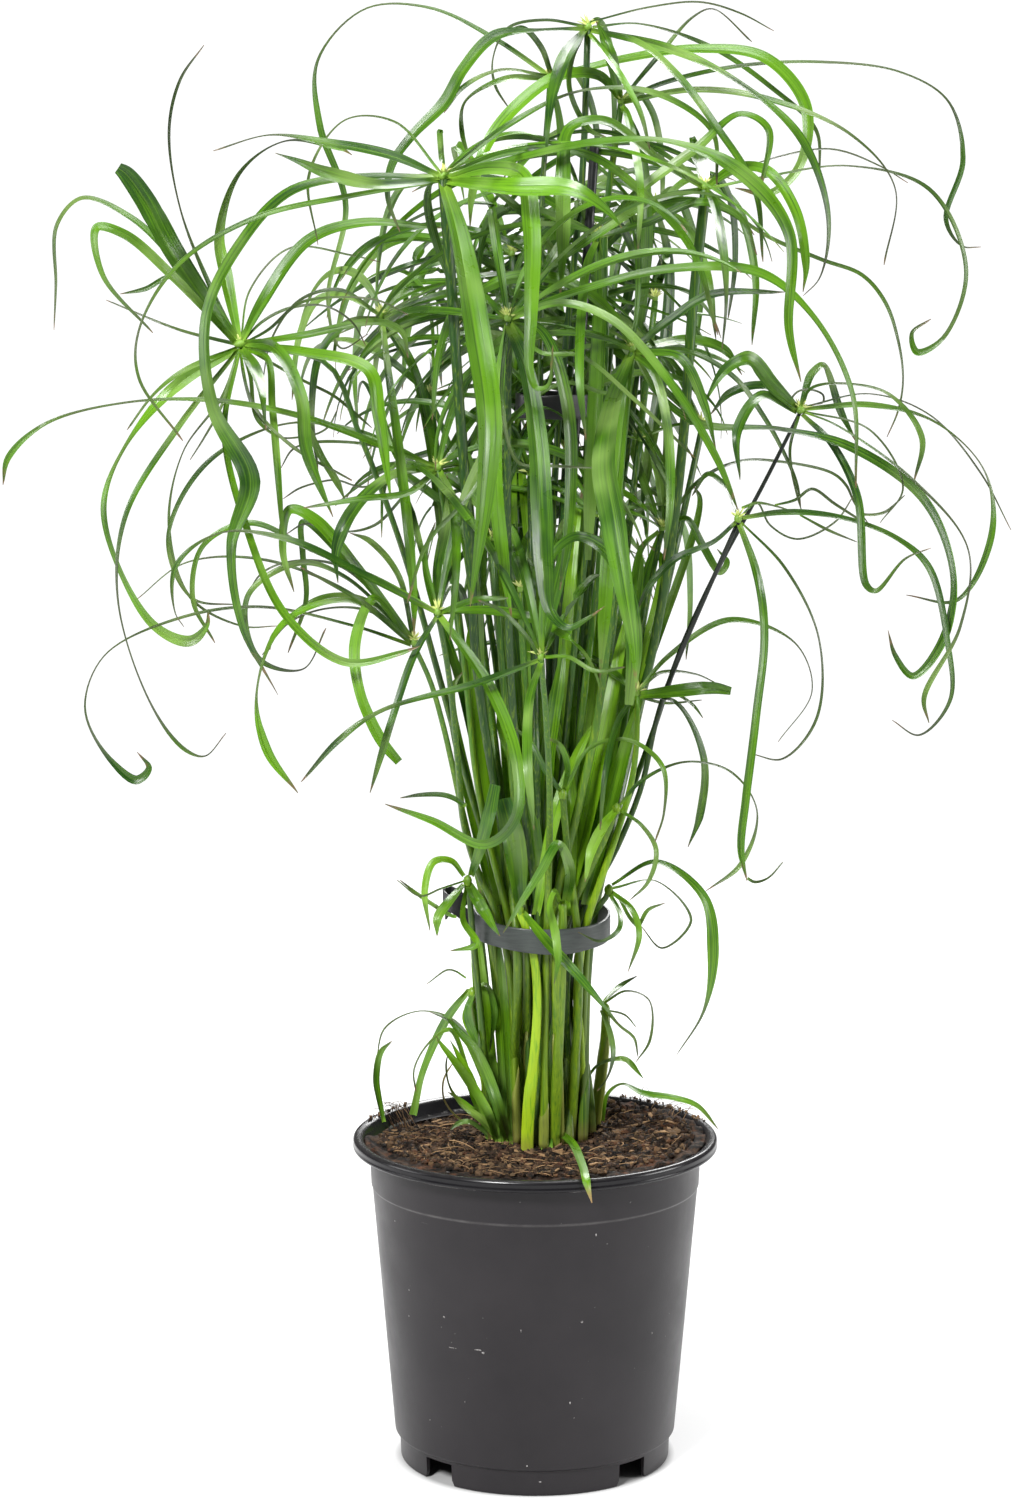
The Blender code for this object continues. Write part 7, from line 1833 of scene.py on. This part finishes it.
def make_soil(material, crumb_material):
    """The soil, and the fibres, crumbs and bark chips of the potting mix on it and on the pot's rim."""
    soil_plug(material)
    rng = np.random.default_rng(SEED + 1)
    loose = Piece("soil_fibres")
    for x, y in scattered(rng, FIBRES, SOIL_RIM - 0.004):
        add_fibre(loose, rng, x, y)
    for x, y in scattered(rng, CRUMBS, SOIL_RIM - 0.002):
        size = rng.uniform(*CRUMB_SIZE)
        centre = (x, y, soil_height(x, y) + rng.uniform(-0.5, 0.5) * size)
        add_crumb(loose, rng, centre, size, (0.6, 1.2), (0.5, 1.2), 0.5)
    for x, y in scattered(rng, CHIPS, SOIL_RIM - 0.006):
        add_chip(loose, rng, x, y)
    for angle, count, spread in RIM_CRUMBS:
        for _ in range(count):
            turn = math.radians(angle + rng.uniform(-spread, spread))
            radius = RIM_RADIUS - LIP_WIDTH / 2 + rng.uniform(-0.002, 0.002)
            size = rng.uniform(*RIM_CRUMB_SIZE)
            centre = (radius * math.cos(turn), radius * math.sin(turn), POT_HEIGHT + size * 0.4)
            add_crumb(loose, rng, centre, size, (0.5, 1.2), (0.6, 1.5), 0.8)
    for angle, count, spread in RIM_FIBRES:
        for _ in range(count):
            turn = math.radians(angle + rng.uniform(-spread, spread))
            loose.add(*rim_fibre(rng, turn), tone=rng.random() * 0.7)
    made = loose.finish([crumb_material], "soil")
    made.data.polygons.foreach_set("use_smooth", [False] * len(made.data.polygons))


# Pot

def softened(profile, radius, steps):
    """A closed outline with its corners rounded by short curves."""
    profile = np.asarray(profile, float)
    out = []
    for before, corner, after in zip(np.roll(profile, 1, axis=0), profile, np.roll(profile, -1, axis=0)):
        if corner[0] < radius:
            out.append(tuple(corner))
            continue
        one, two = before - corner, after - corner
        cut = min(radius, 0.45 * np.linalg.norm(one), 0.45 * np.linalg.norm(two))
        start, end = corner + one / np.linalg.norm(one) * cut, corner + two / np.linalg.norm(two) * cut
        for t in np.linspace(0, 1, steps):
            out.append(tuple((1 - t) ** 2 * start + 2 * t * (1 - t) * corner + t**2 * end))
    return out


def turned(profile, sides):
    """Points and faces of a closed profile turned round Z; a profile point at radius 0 stays one point."""
    points, rings = [], []
    for radius, height in profile:
        if radius < 1e-6:
            rings.append([len(points)] * sides)
            points.append((0, 0, height))
        else:
            rings.append(list(range(len(points), len(points) + sides)))
            points += [
                (radius * math.cos(k * math.tau / sides), radius * math.sin(k * math.tau / sides), height)
                for k in range(sides)
            ]
    faces = []
    for low, high in zip(rings, rings[1:] + rings[:1]):
        for k in range(sides):
            corners = [low[k], low[(k + 1) % sides], high[(k + 1) % sides], high[k]]
            face = [c for n, c in enumerate(corners) if c not in corners[:n]]
            if len(face) > 2:
                faces.append(tuple(face))
    return points, faces


def notch_cutter(angle):
    """A wedge across the foot ring, a little wider at the floor, as high as the ring."""
    reach, rise = FOOT_WALL * 2, FOOT_HEIGHT - EDGE
    points = [
        (x * reach, y * (NOTCH_WIDTH / 2 + flare), z)
        for z, flare in ((-EDGE, 0.0022), (EDGE * 2.2, 0.0), (rise, 0.0))
        for x, y in ((-1, -1), (1, -1), (1, 1), (-1, 1))
    ]
    faces = [(3, 2, 1, 0), (8, 9, 10, 11)]
    for low in (0, 4):
        faces += [(low + k, low + (k + 1) % 4, low + (k + 1) % 4 + 4, low + k + 4) for k in range(4)]
    mesh = bpy.data.meshes.new("notch")
    mesh.from_pydata(points, [], faces)
    turn = math.radians(angle)
    place = (FOOT_RADIUS * math.cos(turn), FOOT_RADIUS * math.sin(turn), 0)
    return linked("notch", mesh, place, (0, 0, turn))


def applied(made):
    """Puts an object's modifiers into its mesh."""
    bpy.context.view_layer.update()
    shaped = bpy.data.meshes.new_from_object(made.evaluated_get(bpy.context.evaluated_depsgraph_get()))
    made.modifiers.clear()
    made.data = shaped


def make_pot(material):
    """The pot: tapered wall with a rolled lip, a faint step, a shoulder and a foot ring with four notches."""
    slope = (STEP_RADIUS - SHOULDER_RADIUS) / (STEP_HEIGHT - FOOT_HEIGHT)
    floor_radius = SHOULDER_RADIUS + slope * (FLOOR_TOP - FOOT_HEIGHT) - WALL
    lip_foot = POT_HEIGHT - LIP_HEIGHT
    profile = (
        (0, FLOOR_TOP - FLOOR),
        (FOOT_RADIUS - FOOT_WALL, FLOOR_TOP - FLOOR),
        (FOOT_RADIUS - FOOT_WALL, 0),
        (FOOT_RADIUS - 0.0006, 0),
        (FOOT_RADIUS, FOOT_HEIGHT),
        (SHOULDER_RADIUS, FOOT_HEIGHT + EDGE),
        (STEP_RADIUS, STEP_HEIGHT),
        (STEP_RADIUS + STEP_DEPTH, STEP_HEIGHT + EDGE / 2),
        (NECK_RADIUS, lip_foot),
        (RIM_RADIUS - EDGE, lip_foot + EDGE * 0.2),
        (RIM_RADIUS, lip_foot + EDGE),
        (RIM_RADIUS - 0.0005, lip_foot + LIP_HEIGHT * 0.45),
        (RIM_RADIUS - 0.0001, POT_HEIGHT - EDGE * 1.2),
        (RIM_RADIUS - EDGE, POT_HEIGHT),
        (RIM_RADIUS - LIP_WIDTH + EDGE, POT_HEIGHT - 0.0004),
        (RIM_RADIUS - LIP_WIDTH, POT_HEIGHT - EDGE),
        (NECK_RADIUS - WALL, lip_foot - EDGE),
        (STEP_RADIUS - WALL, STEP_HEIGHT),
        (floor_radius, FLOOR_TOP),
        (0, FLOOR_TOP),
    )
    piece = Piece("pot_shell")
    piece.add(*turned(softened(profile, 0.0009, 4), POT_TURNS))
    pot = piece.finish([material], "pot", "pot", sharp=30)
    cutters = []
    for angle in NOTCH_ANGLES:
        cut = pot.modifiers.new("notch", "BOOLEAN")
        cut.operation = "DIFFERENCE"
        cut.solver = "EXACT"
        cut.object = notch_cutter(angle)
        cutters.append(cut.object)
    applied(pot)
    for cutter in cutters:
        bpy.data.objects.remove(cutter, do_unlink=True)


def make_specks(material):
    """The pale specks and scuffs, as thin flakes on the pot's side."""
    piece = Piece("pot_specks")
    levels = (FOOT_HEIGHT, STEP_HEIGHT, POT_HEIGHT - LIP_HEIGHT, POT_HEIGHT)
    sides = (SHOULDER_RADIUS, STEP_RADIUS, NECK_RADIUS, NECK_RADIUS)
    for u, v, length, height in SPECKS:
        near, far = -RIM_RADIUS, 0.0
        for _ in range(30):
            depth = (near + far) / 2
            place = sight(u, v, depth)
            outside = math.hypot(place[0], place[1]) > np.interp(place[2], levels, sides)
            near, far = (depth, far) if outside else (near, depth)
        out = np.array((place[0], place[1], 0)) / math.hypot(place[0], place[1])
        side = np.array((-out[1], out[0], 0))
        points = CHIP_POINTS * np.array((length, SPECK_THICKNESS, height)) * MILLIMETRE / 2
        piece.add(place + points[:, :1] * side + points[:, 1:2] * out + points[:, 2:] * (0, 0, 1), CHIP_FACES)
    piece.finish([material], "pot")


# Strap, ties and stake

def band(piece, centre, half, height, thickness, slope=(0.0, 0.0)):
    """A flat band bent round an oval, with rounded edges and a slightly uneven pull."""
    section = softened([(0, -0.5), (1, -0.5), (1, 0.5), (0, 0.5)], 0.2, 4)
    rings = []
    for a in np.arange(BAND_TURNS) * math.tau / BAND_TURNS:
        pull = BAND_WAVER * (math.sin(3 * a + 1) + 0.6 * math.sin(5 * a + 2.2) + 0.4 * math.sin(9 * a))
        ring = []
        for grow, rise in section:
            x = (half[0] + grow * thickness + pull) * math.cos(a)
            y = (half[1] + grow * thickness + pull) * math.sin(a)
            lean = rise * BAND_LEAN * math.sin(4 * a + 0.5)
            z = centre[2] + rise * height + slope[0] * x + slope[1] * y + lean
            ring.append((centre[0] + x, centre[1] + y, z))
        rings.append(ring)
    rings = np.array(rings)
    count, sides = rings.shape[:2]
    low = np.arange(count * sides).reshape(count, sides)
    high = np.roll(low, -1, axis=0)
    corners = (low, np.roll(low, -1, axis=1), np.roll(high, -1, axis=1), high)
    faces = [tuple(face) for face in np.stack(corners, -1).reshape(-1, 4)]
    piece.add(rings.reshape(-1, 3), faces, tone=TIE_TONE)


def ribbon(piece, line, across, width, thickness):
    """A strip of strap along a line, its width along the directions given."""
    line = drawn_through(line, RIBBON_RINGS)
    across = drawn_through(across, RIBBON_RINGS)
    across /= np.linalg.norm(across, axis=1)[:, None]
    normal = np.cross(directions(line), across)
    normal /= np.linalg.norm(normal, axis=1)[:, None]
    section = softened([(-0.5, -0.5), (0.5, -0.5), (0.5, 0.5), (-0.5, 0.5)], 0.06, 3)
    rings = np.stack([line + across * width * a + normal * thickness * b for a, b in section], 1)
    piece.add(*tube(rings), tone=TIE_TONE)


def make_ties(material, stake_material):
    """The strap with its knot and tail, the upper tie, and the stake."""
    strap = Piece("strap_band")
    band(strap, (*STRAP_CENTRE, STRAP_LEVEL), STRAP_HALF, STRAP_HEIGHT, STRAP_THICKNESS, STRAP_SLOPE)
    strap.finish([material], "strap", "strap", sharp=40)
    knot = Piece("strap_loop")
    centre = np.array(KNOT_CENTRE)
    for line, across, width in KNOT_RIBBONS:
        ribbon(knot, centre + np.array(line) * MILLIMETRE, across, width * MILLIMETRE, STRAP_THICKNESS)
    knot.finish([stake_material], "strap", "strap_knot", sharp=40)
    tie = Piece("tie_band")
    band(tie, upper_tie_centre(), UPPER_TIE_HALF, UPPER_TIE_HEIGHT, STRAP_THICKNESS)
    tie.finish([stake_material], "strap", "upper_tie", sharp=40)
    stake = Piece("stake_rod")
    radii = np.full(STAKE_RINGS, STAKE_RADIUS)
    stake.add(*tube(round_rings(stake_line(STAKE_RINGS), radii, STAKE_TURNS)))
    stake.finish([stake_material], "stake", "stake", sharp=40)


# Shader nodes

def feed(tree, socket, value):
    """Links a socket, or sets a value."""
    if isinstance(value, bpy.types.NodeSocket):
        tree.links.new(value, socket)
    elif isinstance(value, tuple) and len(value) == 3 and len(socket.default_value) == 4:
        socket.default_value = (*value, 1)
    else:
        socket.default_value = value


def node(tree, kind, wires=(), **settings):
    made = tree.nodes.new("ShaderNode" + kind)
    for key, value in settings.items():
        setattr(made, key, value)
    for where, value in wires:
        feed(tree, made.inputs[where], value)
    return made


def mixed(tree, factor, first, second, kind="MIX"):
    made = node(tree, "Mix", data_type="RGBA", blend_type=kind)
    for place, value in ((0, factor), (6, first), (7, second)):
        feed(tree, made.inputs[place], value)
    return made.outputs[2]


def maths(tree, operation, first, second):
    return node(tree, "Math", [(0, first), (1, second)], operation=operation).outputs[0]


def ranged(tree, value, low, high, first=0.0, last=1.0):
    made = node(tree, "MapRange", [(0, value), (1, low), (2, high), (3, first), (4, last)])
    return made.outputs[0]


def attribute(tree, name):
    return node(tree, "Attribute", attribute_name=name).outputs["Fac"]


def object_place(tree):
    return node(tree, "TexCoord").outputs["Object"]


def mapped(tree, where, value):
    """Object places, moved or stretched."""
    return node(tree, "Mapping", [("Vector", object_place(tree)), (where, value)]).outputs[0]


def speckle(tree, scale, detail=3.0, roughness=0.6, place=None):
    made = node(tree, "TexNoise", [("Scale", scale), ("Detail", detail), ("Roughness", roughness)])
    tree.links.new(place or object_place(tree), made.inputs["Vector"])
    return made.outputs["Fac"]


def spots(tree, scale, low, high, first=0.0, last=1.0, detail=3.0, roughness=0.6, place=None):
    """A noise pattern between two levels, as values from first to last."""
    return ranged(tree, speckle(tree, scale, detail, roughness, place), low, high, first, last)


def between(tree, height, low, high):
    """A line round the pot: 1 between two heights, with soft edges."""
    above = ranged(tree, height, *low)
    below = ranged(tree, height, *high, 1.0, 0.0)
    return maths(tree, "MULTIPLY", above, below)


def new_material(name, roughness, gloss=0.5):
    material = bpy.data.materials.new(name)
    material.use_nodes = True
    tree = material.node_tree
    shader = tree.nodes["Principled BSDF"]
    shader.inputs["Roughness"].default_value = roughness
    shader.inputs["Specular IOR Level"].default_value = gloss
    return material, tree, shader


def surfaced(material, tree, shader, colour, roughness, height, strength, distance):
    """The material with its colour, its roughness and its fine relief connected."""
    feed(tree, shader.inputs["Base Color"], colour)
    feed(tree, shader.inputs["Roughness"], roughness)
    bump = node(tree, "Bump", [("Height", height), ("Strength", strength), ("Distance", distance)])
    feed(tree, shader.inputs["Normal"], bump.outputs[0])
    return material


# Materials

def leaf_material(name, dark, light, root, thin):
    """Waxy leaf, its green by leaf, with pale fine veins, pale patches of painted sheen, a painted grey shade
    where it is seen edge-on, a yellow root, a brown tip and light through it.
    """
    material, tree, shader = new_material(name, 0.4, 0.55)
    tone, along, across = (attribute(tree, key) for key in ("tone", "along", "across"))
    colour = mixed(tree, tone, dark, light)
    colour = mixed(tree, spots(tree, 22.0, 0.42, 0.68, 0.0, 0.5), colour, light)
    colour = mixed(tree, spots(tree, 13.0, 0.50, 0.64, 0.0, 0.65, 2.0), colour, dark)
    waves = veins(tree, across, along, tone)
    colour = mixed(tree, ranged(tree, waves, 0.50, 0.66, 0.0, 0.55), colour, light)
    colour = mixed(tree, ranged(tree, waves, 0.34, 0.48, 0.6, 0.0), colour, dark)
    # Painted sheen: pale patches mixed into the leaf colour, standing for reflected light
    elsewhere = mapped(tree, "Location", BLOOM_SHIFT)
    bloom = spots(tree, 17.0, 0.54, 0.66, 0.0, LEAF_BLOOM[1], 2.0, 0.5, elsewhere)
    colour = mixed(tree, bloom, colour, LEAF_BLOOM[0])
    rib = node(tree, "Math", [(0, across)], operation="ABSOLUTE").outputs[0]
    colour = mixed(tree, ranged(tree, rib, 0.02, 0.10, 0.12, 0.0), colour, root)
    colour = mixed(tree, ranged(tree, along, 0.0, 0.05, 0.6, 0.0), colour, root)
    # Painted shade: the grey of leaves seen edge-on
    dull = maths(tree, "MULTIPLY", attribute(tree, "dull"), spots(tree, 35.0, 0.3, 0.7, 0.6, 1.0))
    colour = mixed(tree, dull, colour, LEAF_DULL)
    ends = maths(tree, "ADD", along, spots(tree, 220.0, 0.4, 0.75, -0.02, 0.05))
    colour = mixed(tree, ranged(tree, ends, 0.955, 1.0, 0.0, 0.85), colour, TIP_BROWN)
    colour = mixed(tree, attribute(tree, "dry"), colour, DRY_TAN)
    surfaced(material, tree, shader, colour, spots(tree, 60.0, 0.3, 0.7, 0.25, 0.39), waves, 0.6, 0.0003)
    through = node(tree, "BsdfTranslucent", [("Color", mixed(tree, 1.0, colour, thin, "MULTIPLY"))])
    blend = node(tree, "MixShader", [(0, LEAF_THROUGH), (1, shader.outputs[0]), (2, through.outputs[0])])
    tree.links.new(blend.outputs[0], tree.nodes["Material Output"].inputs["Surface"])
    return material


def veins(tree, across, along, tone):
    """Uneven streaks that run the length of a leaf, other ones on each leaf."""
    parts = [maths(tree, "MULTIPLY", value, scale) for value, scale in zip((across, along, tone), VEINS)]
    place = node(tree, "CombineXYZ", list(enumerate(parts))).outputs[0]
    return speckle(tree, 1.0, 3.0, 0.6, place)


def stem_material():
    """Waxy stem: brown foot, yellow-green above it, deeper green higher up, uneven streaks along it, and
    painted near-black shade on the upper part of shaded stems.
    """
    material, tree, shader = new_material("stem_skin", 0.38, 0.4)
    tone, along = (attribute(tree, key) for key in ("tone", "along"))
    low = mixed(tree, tone, *STEM_LOW)
    high = mixed(tree, tone, *STEM_HIGH)
    low_light = mixed(tree, 0.35, low, STEM_LOW[1])
    uneven = maths(tree, "ADD", along, spots(tree, 25.0, 0.2, 0.8, -0.12, 0.12))
    colour = mixed(tree, ranged(tree, uneven, 0.12, 0.75), low, high)
    waves = speckle(tree, 1.0, 3.0, 0.6, mapped(tree, "Scale", STREAKS))
    colour = mixed(tree, ranged(tree, waves, 0.52, 0.66, 0.0, 0.6), colour, low_light)
    colour = mixed(tree, ranged(tree, waves, 0.32, 0.47, 0.75, 0.0), colour, high)
    colour = mixed(tree, ranged(tree, uneven, -0.09, 0.08, 0.8, 0.0), colour, FOOT_BROWN)
    # Painted shade: near-black on the upper parts of shaded stems
    colour = mixed(tree, attribute(tree, "dull"), colour, STEM_BLACK)
    colour = mixed(tree, attribute(tree, "dry"), colour, DRY_TAN)
    rough = spots(tree, 70.0, 0.3, 0.7, 0.32, 0.48)
    return surfaced(material, tree, shader, colour, rough, waves, 0.3, 0.0001)


def floret_material():
    """The crown's middle: pale yellow-green with browner points, on a greener knob."""
    material, tree, shader = new_material("floret_skin", 0.5)
    colour = mixed(tree, attribute(tree, "tone"), *FLORET)
    colour = mixed(tree, ranged(tree, attribute(tree, "along"), 0.7, 1.0, 0.0, 0.5), colour, FLORET_POINT)
    colour = mixed(tree, attribute(tree, "dull"), colour, KNOB_GREEN)
    return surfaced(material, tree, shader, colour, 0.5, speckle(tree, 900.0), 0.4, 0.0002)


def soil_material(name, dark, brown, pale):
    """Moist potting mix, nearly black in patches, or its loose fibres and crumbs by their tone."""
    material, tree, shader = new_material(name, 0.9, 0.3)
    colour = mixed(tree, spots(tree, 170.0, 0.45, 0.62, detail=6.0, roughness=0.75), dark, brown)
    colour = mixed(tree, spots(tree, 95.0, 0.55, 0.68, 0.0, 0.8, 4.0, 0.7), colour, SOIL_RED)
    colour = mixed(tree, ranged(tree, attribute(tree, "tone"), 0.3, 1.0), colour, pale)
    rough = spots(tree, 300.0, 0.3, 0.7, 0.75, 1.0)
    return surfaced(material, tree, shader, colour, rough, speckle(tree, 1200.0, 4.0, 0.7), 0.8, 0.0005)


def pot_material():
    """Charcoal moulded plastic: satin, with a dusty rim, fine scuffs, a pale line along the step, a blacker
    lip and a painted broken highlight line under the lip.
    """
    material, tree, shader = new_material("pot_plastic", 0.4, 0.27)
    height = node(tree, "SeparateXYZ", [(0, object_place(tree))]).outputs[2]
    colour = mixed(tree, spots(tree, 18.0, 0.3, 0.7, 0.0, 1.0, 4.0, 0.6), POT_DARK, POT_LIGHT)
    dust = ranged(tree, height, POT_HEIGHT - 0.0016, POT_HEIGHT - 0.0003, 0.0, 0.5)
    dust = maths(tree, "MULTIPLY", dust, spots(tree, 120.0, 0.35, 0.65, 0.3, 1.0, 6.0, 0.75))
    colour = mixed(tree, dust, colour, RIM_DUST)
    colour = mixed(tree, spots(tree, 430.0, 0.775, 0.80, 0.0, 0.4, 2.0, 0.5), colour, POT_SPECK)
    scratch = spots(tree, 1.0, 0.70, 0.78, 0.0, 1.0, 5.0, 0.7, mapped(tree, "Scale", SCRATCHES))
    scratch = maths(tree, "MULTIPLY", scratch, spots(tree, 12.0, 0.5, 0.6, detail=2.0))
    colour = mixed(tree, scratch, colour, POT_SCRATCH)
    step, lip_foot = STEP_HEIGHT, POT_HEIGHT - LIP_HEIGHT
    # A pale, broken line along the step
    worn = between(tree, height, (step - 0.0006, step + 0.0001), (step + 0.0006, step + 0.0014))
    worn = maths(tree, "MULTIPLY", worn, spots(tree, 38.0, 0.45, 0.65, 0.12, 0.32, 5.0, 0.7))
    colour = mixed(tree, worn, colour, POT_WORN)
    lip = ranged(tree, height, lip_foot - 0.001, lip_foot + 0.0005, 0.0, 1.0)
    colour = mixed(tree, maths(tree, "MULTIPLY", lip, LIP_DARKER), colour, LIP_BLACK)
    # Painted highlight: a broken bright line just under the lip
    flash = between(tree, height, (lip_foot - 0.0006, lip_foot), (lip_foot + 0.0003, lip_foot + 0.0009))
    flash = maths(tree, "MULTIPLY", flash, spots(tree, 46.0, 0.50, 0.60, 0.0, 0.9, 5.0, 0.7))
    colour = mixed(tree, flash, colour, LIP_FLASH)
    rough = spots(tree, 40.0, 0.3, 0.7, 0.33, 0.43, 5.0, 0.65)
    rough = maths(tree, "ADD", rough, maths(tree, "MULTIPLY", lip, LIP_SMOOTHER))
    return surfaced(material, tree, shader, colour, rough, speckle(tree, 700.0, 3.0), 0.12, 0.0002)


def tie_material(name, dark, light, roughness):
    """Soft plastic strap or stake: faint lengthwise grain and uneven roughness."""
    material, tree, shader = new_material(name, roughness)
    lines = speckle(tree, 1.0, 3.0, 0.6, mapped(tree, "Scale", TIE_GRAIN))
    colour = mixed(tree, ranged(tree, lines, 0.3, 0.7), dark, light)
    rough = spots(tree, 200.0, 0.3, 0.7, roughness - 0.06, roughness + 0.08)
    return surfaced(material, tree, shader, colour, rough, lines, 0.2, 0.0002)


def speck_material():
    """Dried lime and dust."""
    material, tree, shader = new_material("speck_dust", 0.8)
    feed(tree, shader.inputs["Base Color"], mixed(tree, spots(tree, 900.0, 0.35, 0.6), POT_LIGHT, SPECK_PALE))
    return material


def floor_material():
    """Pale paper that glows a little, but not under the pot."""
    material, tree, shader = new_material("floor_paper", 0.9, 0.1)
    feed(tree, shader.inputs["Base Color"], mixed(tree, speckle(tree, 6.0), *FLOOR_GREYS))
    shader.inputs["Emission Color"].default_value = (1, 1, 1, 1)
    away = node(tree, "VectorMath", [(0, object_place(tree))], operation="LENGTH").outputs["Value"]
    feed(tree, shader.inputs["Emission Strength"], ranged(tree, away, *FLOOR_SHADE, 0.0, FLOOR_GLOW))
    return material


# The stage

def make_stage():
    """A plain pale floor, the camera where the photograph was taken from, and soft studio light."""
    scene = bpy.context.scene
    scene.view_settings.view_transform = "Standard"
    mesh = bpy.data.meshes.new("floor")
    corners = [(x * FLOOR_REACH, y * FLOOR_REACH, 0) for x, y in ((-1, -1), (1, -1), (1, 1), (-1, 1))]
    mesh.from_pydata(corners, [], [(0, 1, 2, 3)])
    mesh.materials.append(floor_material())
    floor = linked("floor", mesh, (0, 0, FLOOR_DROP))
    world = bpy.data.worlds.new("studio")
    world.use_nodes = True
    tree = world.node_tree
    tree.nodes["Background"].inputs["Color"].default_value = (1, 1, 1, 1)
    seen = node(tree, "LightPath").outputs["Is Camera Ray"]
    strength = ranged(tree, seen, 0, 1, WORLD_LIGHT, BACKDROP_LIGHT)
    feed(tree, tree.nodes["Background"].inputs["Strength"], strength)
    scene.world = world
    for name, place, size, power in LAMPS:
        lamp = bpy.data.lights.new(name, "AREA")
        lamp.energy, lamp.size = power, size
        aim = Vector(LAMP_TARGET) - Vector(place)
        linked(name, lamp, place, aim.to_track_quat("-Z", "Y").to_euler())
    lens = bpy.data.cameras.new("camera")
    lens.sensor_width = SENSOR
    lens.lens = FOCUS * SENSOR / PICTURE_HEIGHT
    scene.camera = linked("camera", lens, EYE, (math.pi / 2 - EYE_PITCH, 0, 0))


def main():
    """The stage and every piece of the potted plant."""
    materials = {
        "leaf": leaf_material("leaf_skin", LEAF_DARK, LEAF_LIGHT, LEAF_ROOT, LEAF_THIN),
        "young": leaf_material("young_leaf_skin", YOUNG_DARK, YOUNG_LIGHT, LEAF_ROOT, LEAF_THIN),
        "stem": stem_material(),
        "floret": floret_material(),
    }
    make_stage()
    make_pot(pot_material())
    make_specks(speck_material())
    make_soil(soil_material("soil_mix", SOIL_DARK, SOIL_BROWN, SOIL_BROWN),
              soil_material("soil_crumbs", SOIL_DARK, SOIL_BROWN, FIBRE_PALE))
    make_ties(tie_material("strap_plastic", STRAP_DARK, STRAP_LIGHT, 0.42),
              tie_material("stake_plastic", STAKE_DARK, STAKE_LIGHT, 0.4))
    plant(materials)


main()
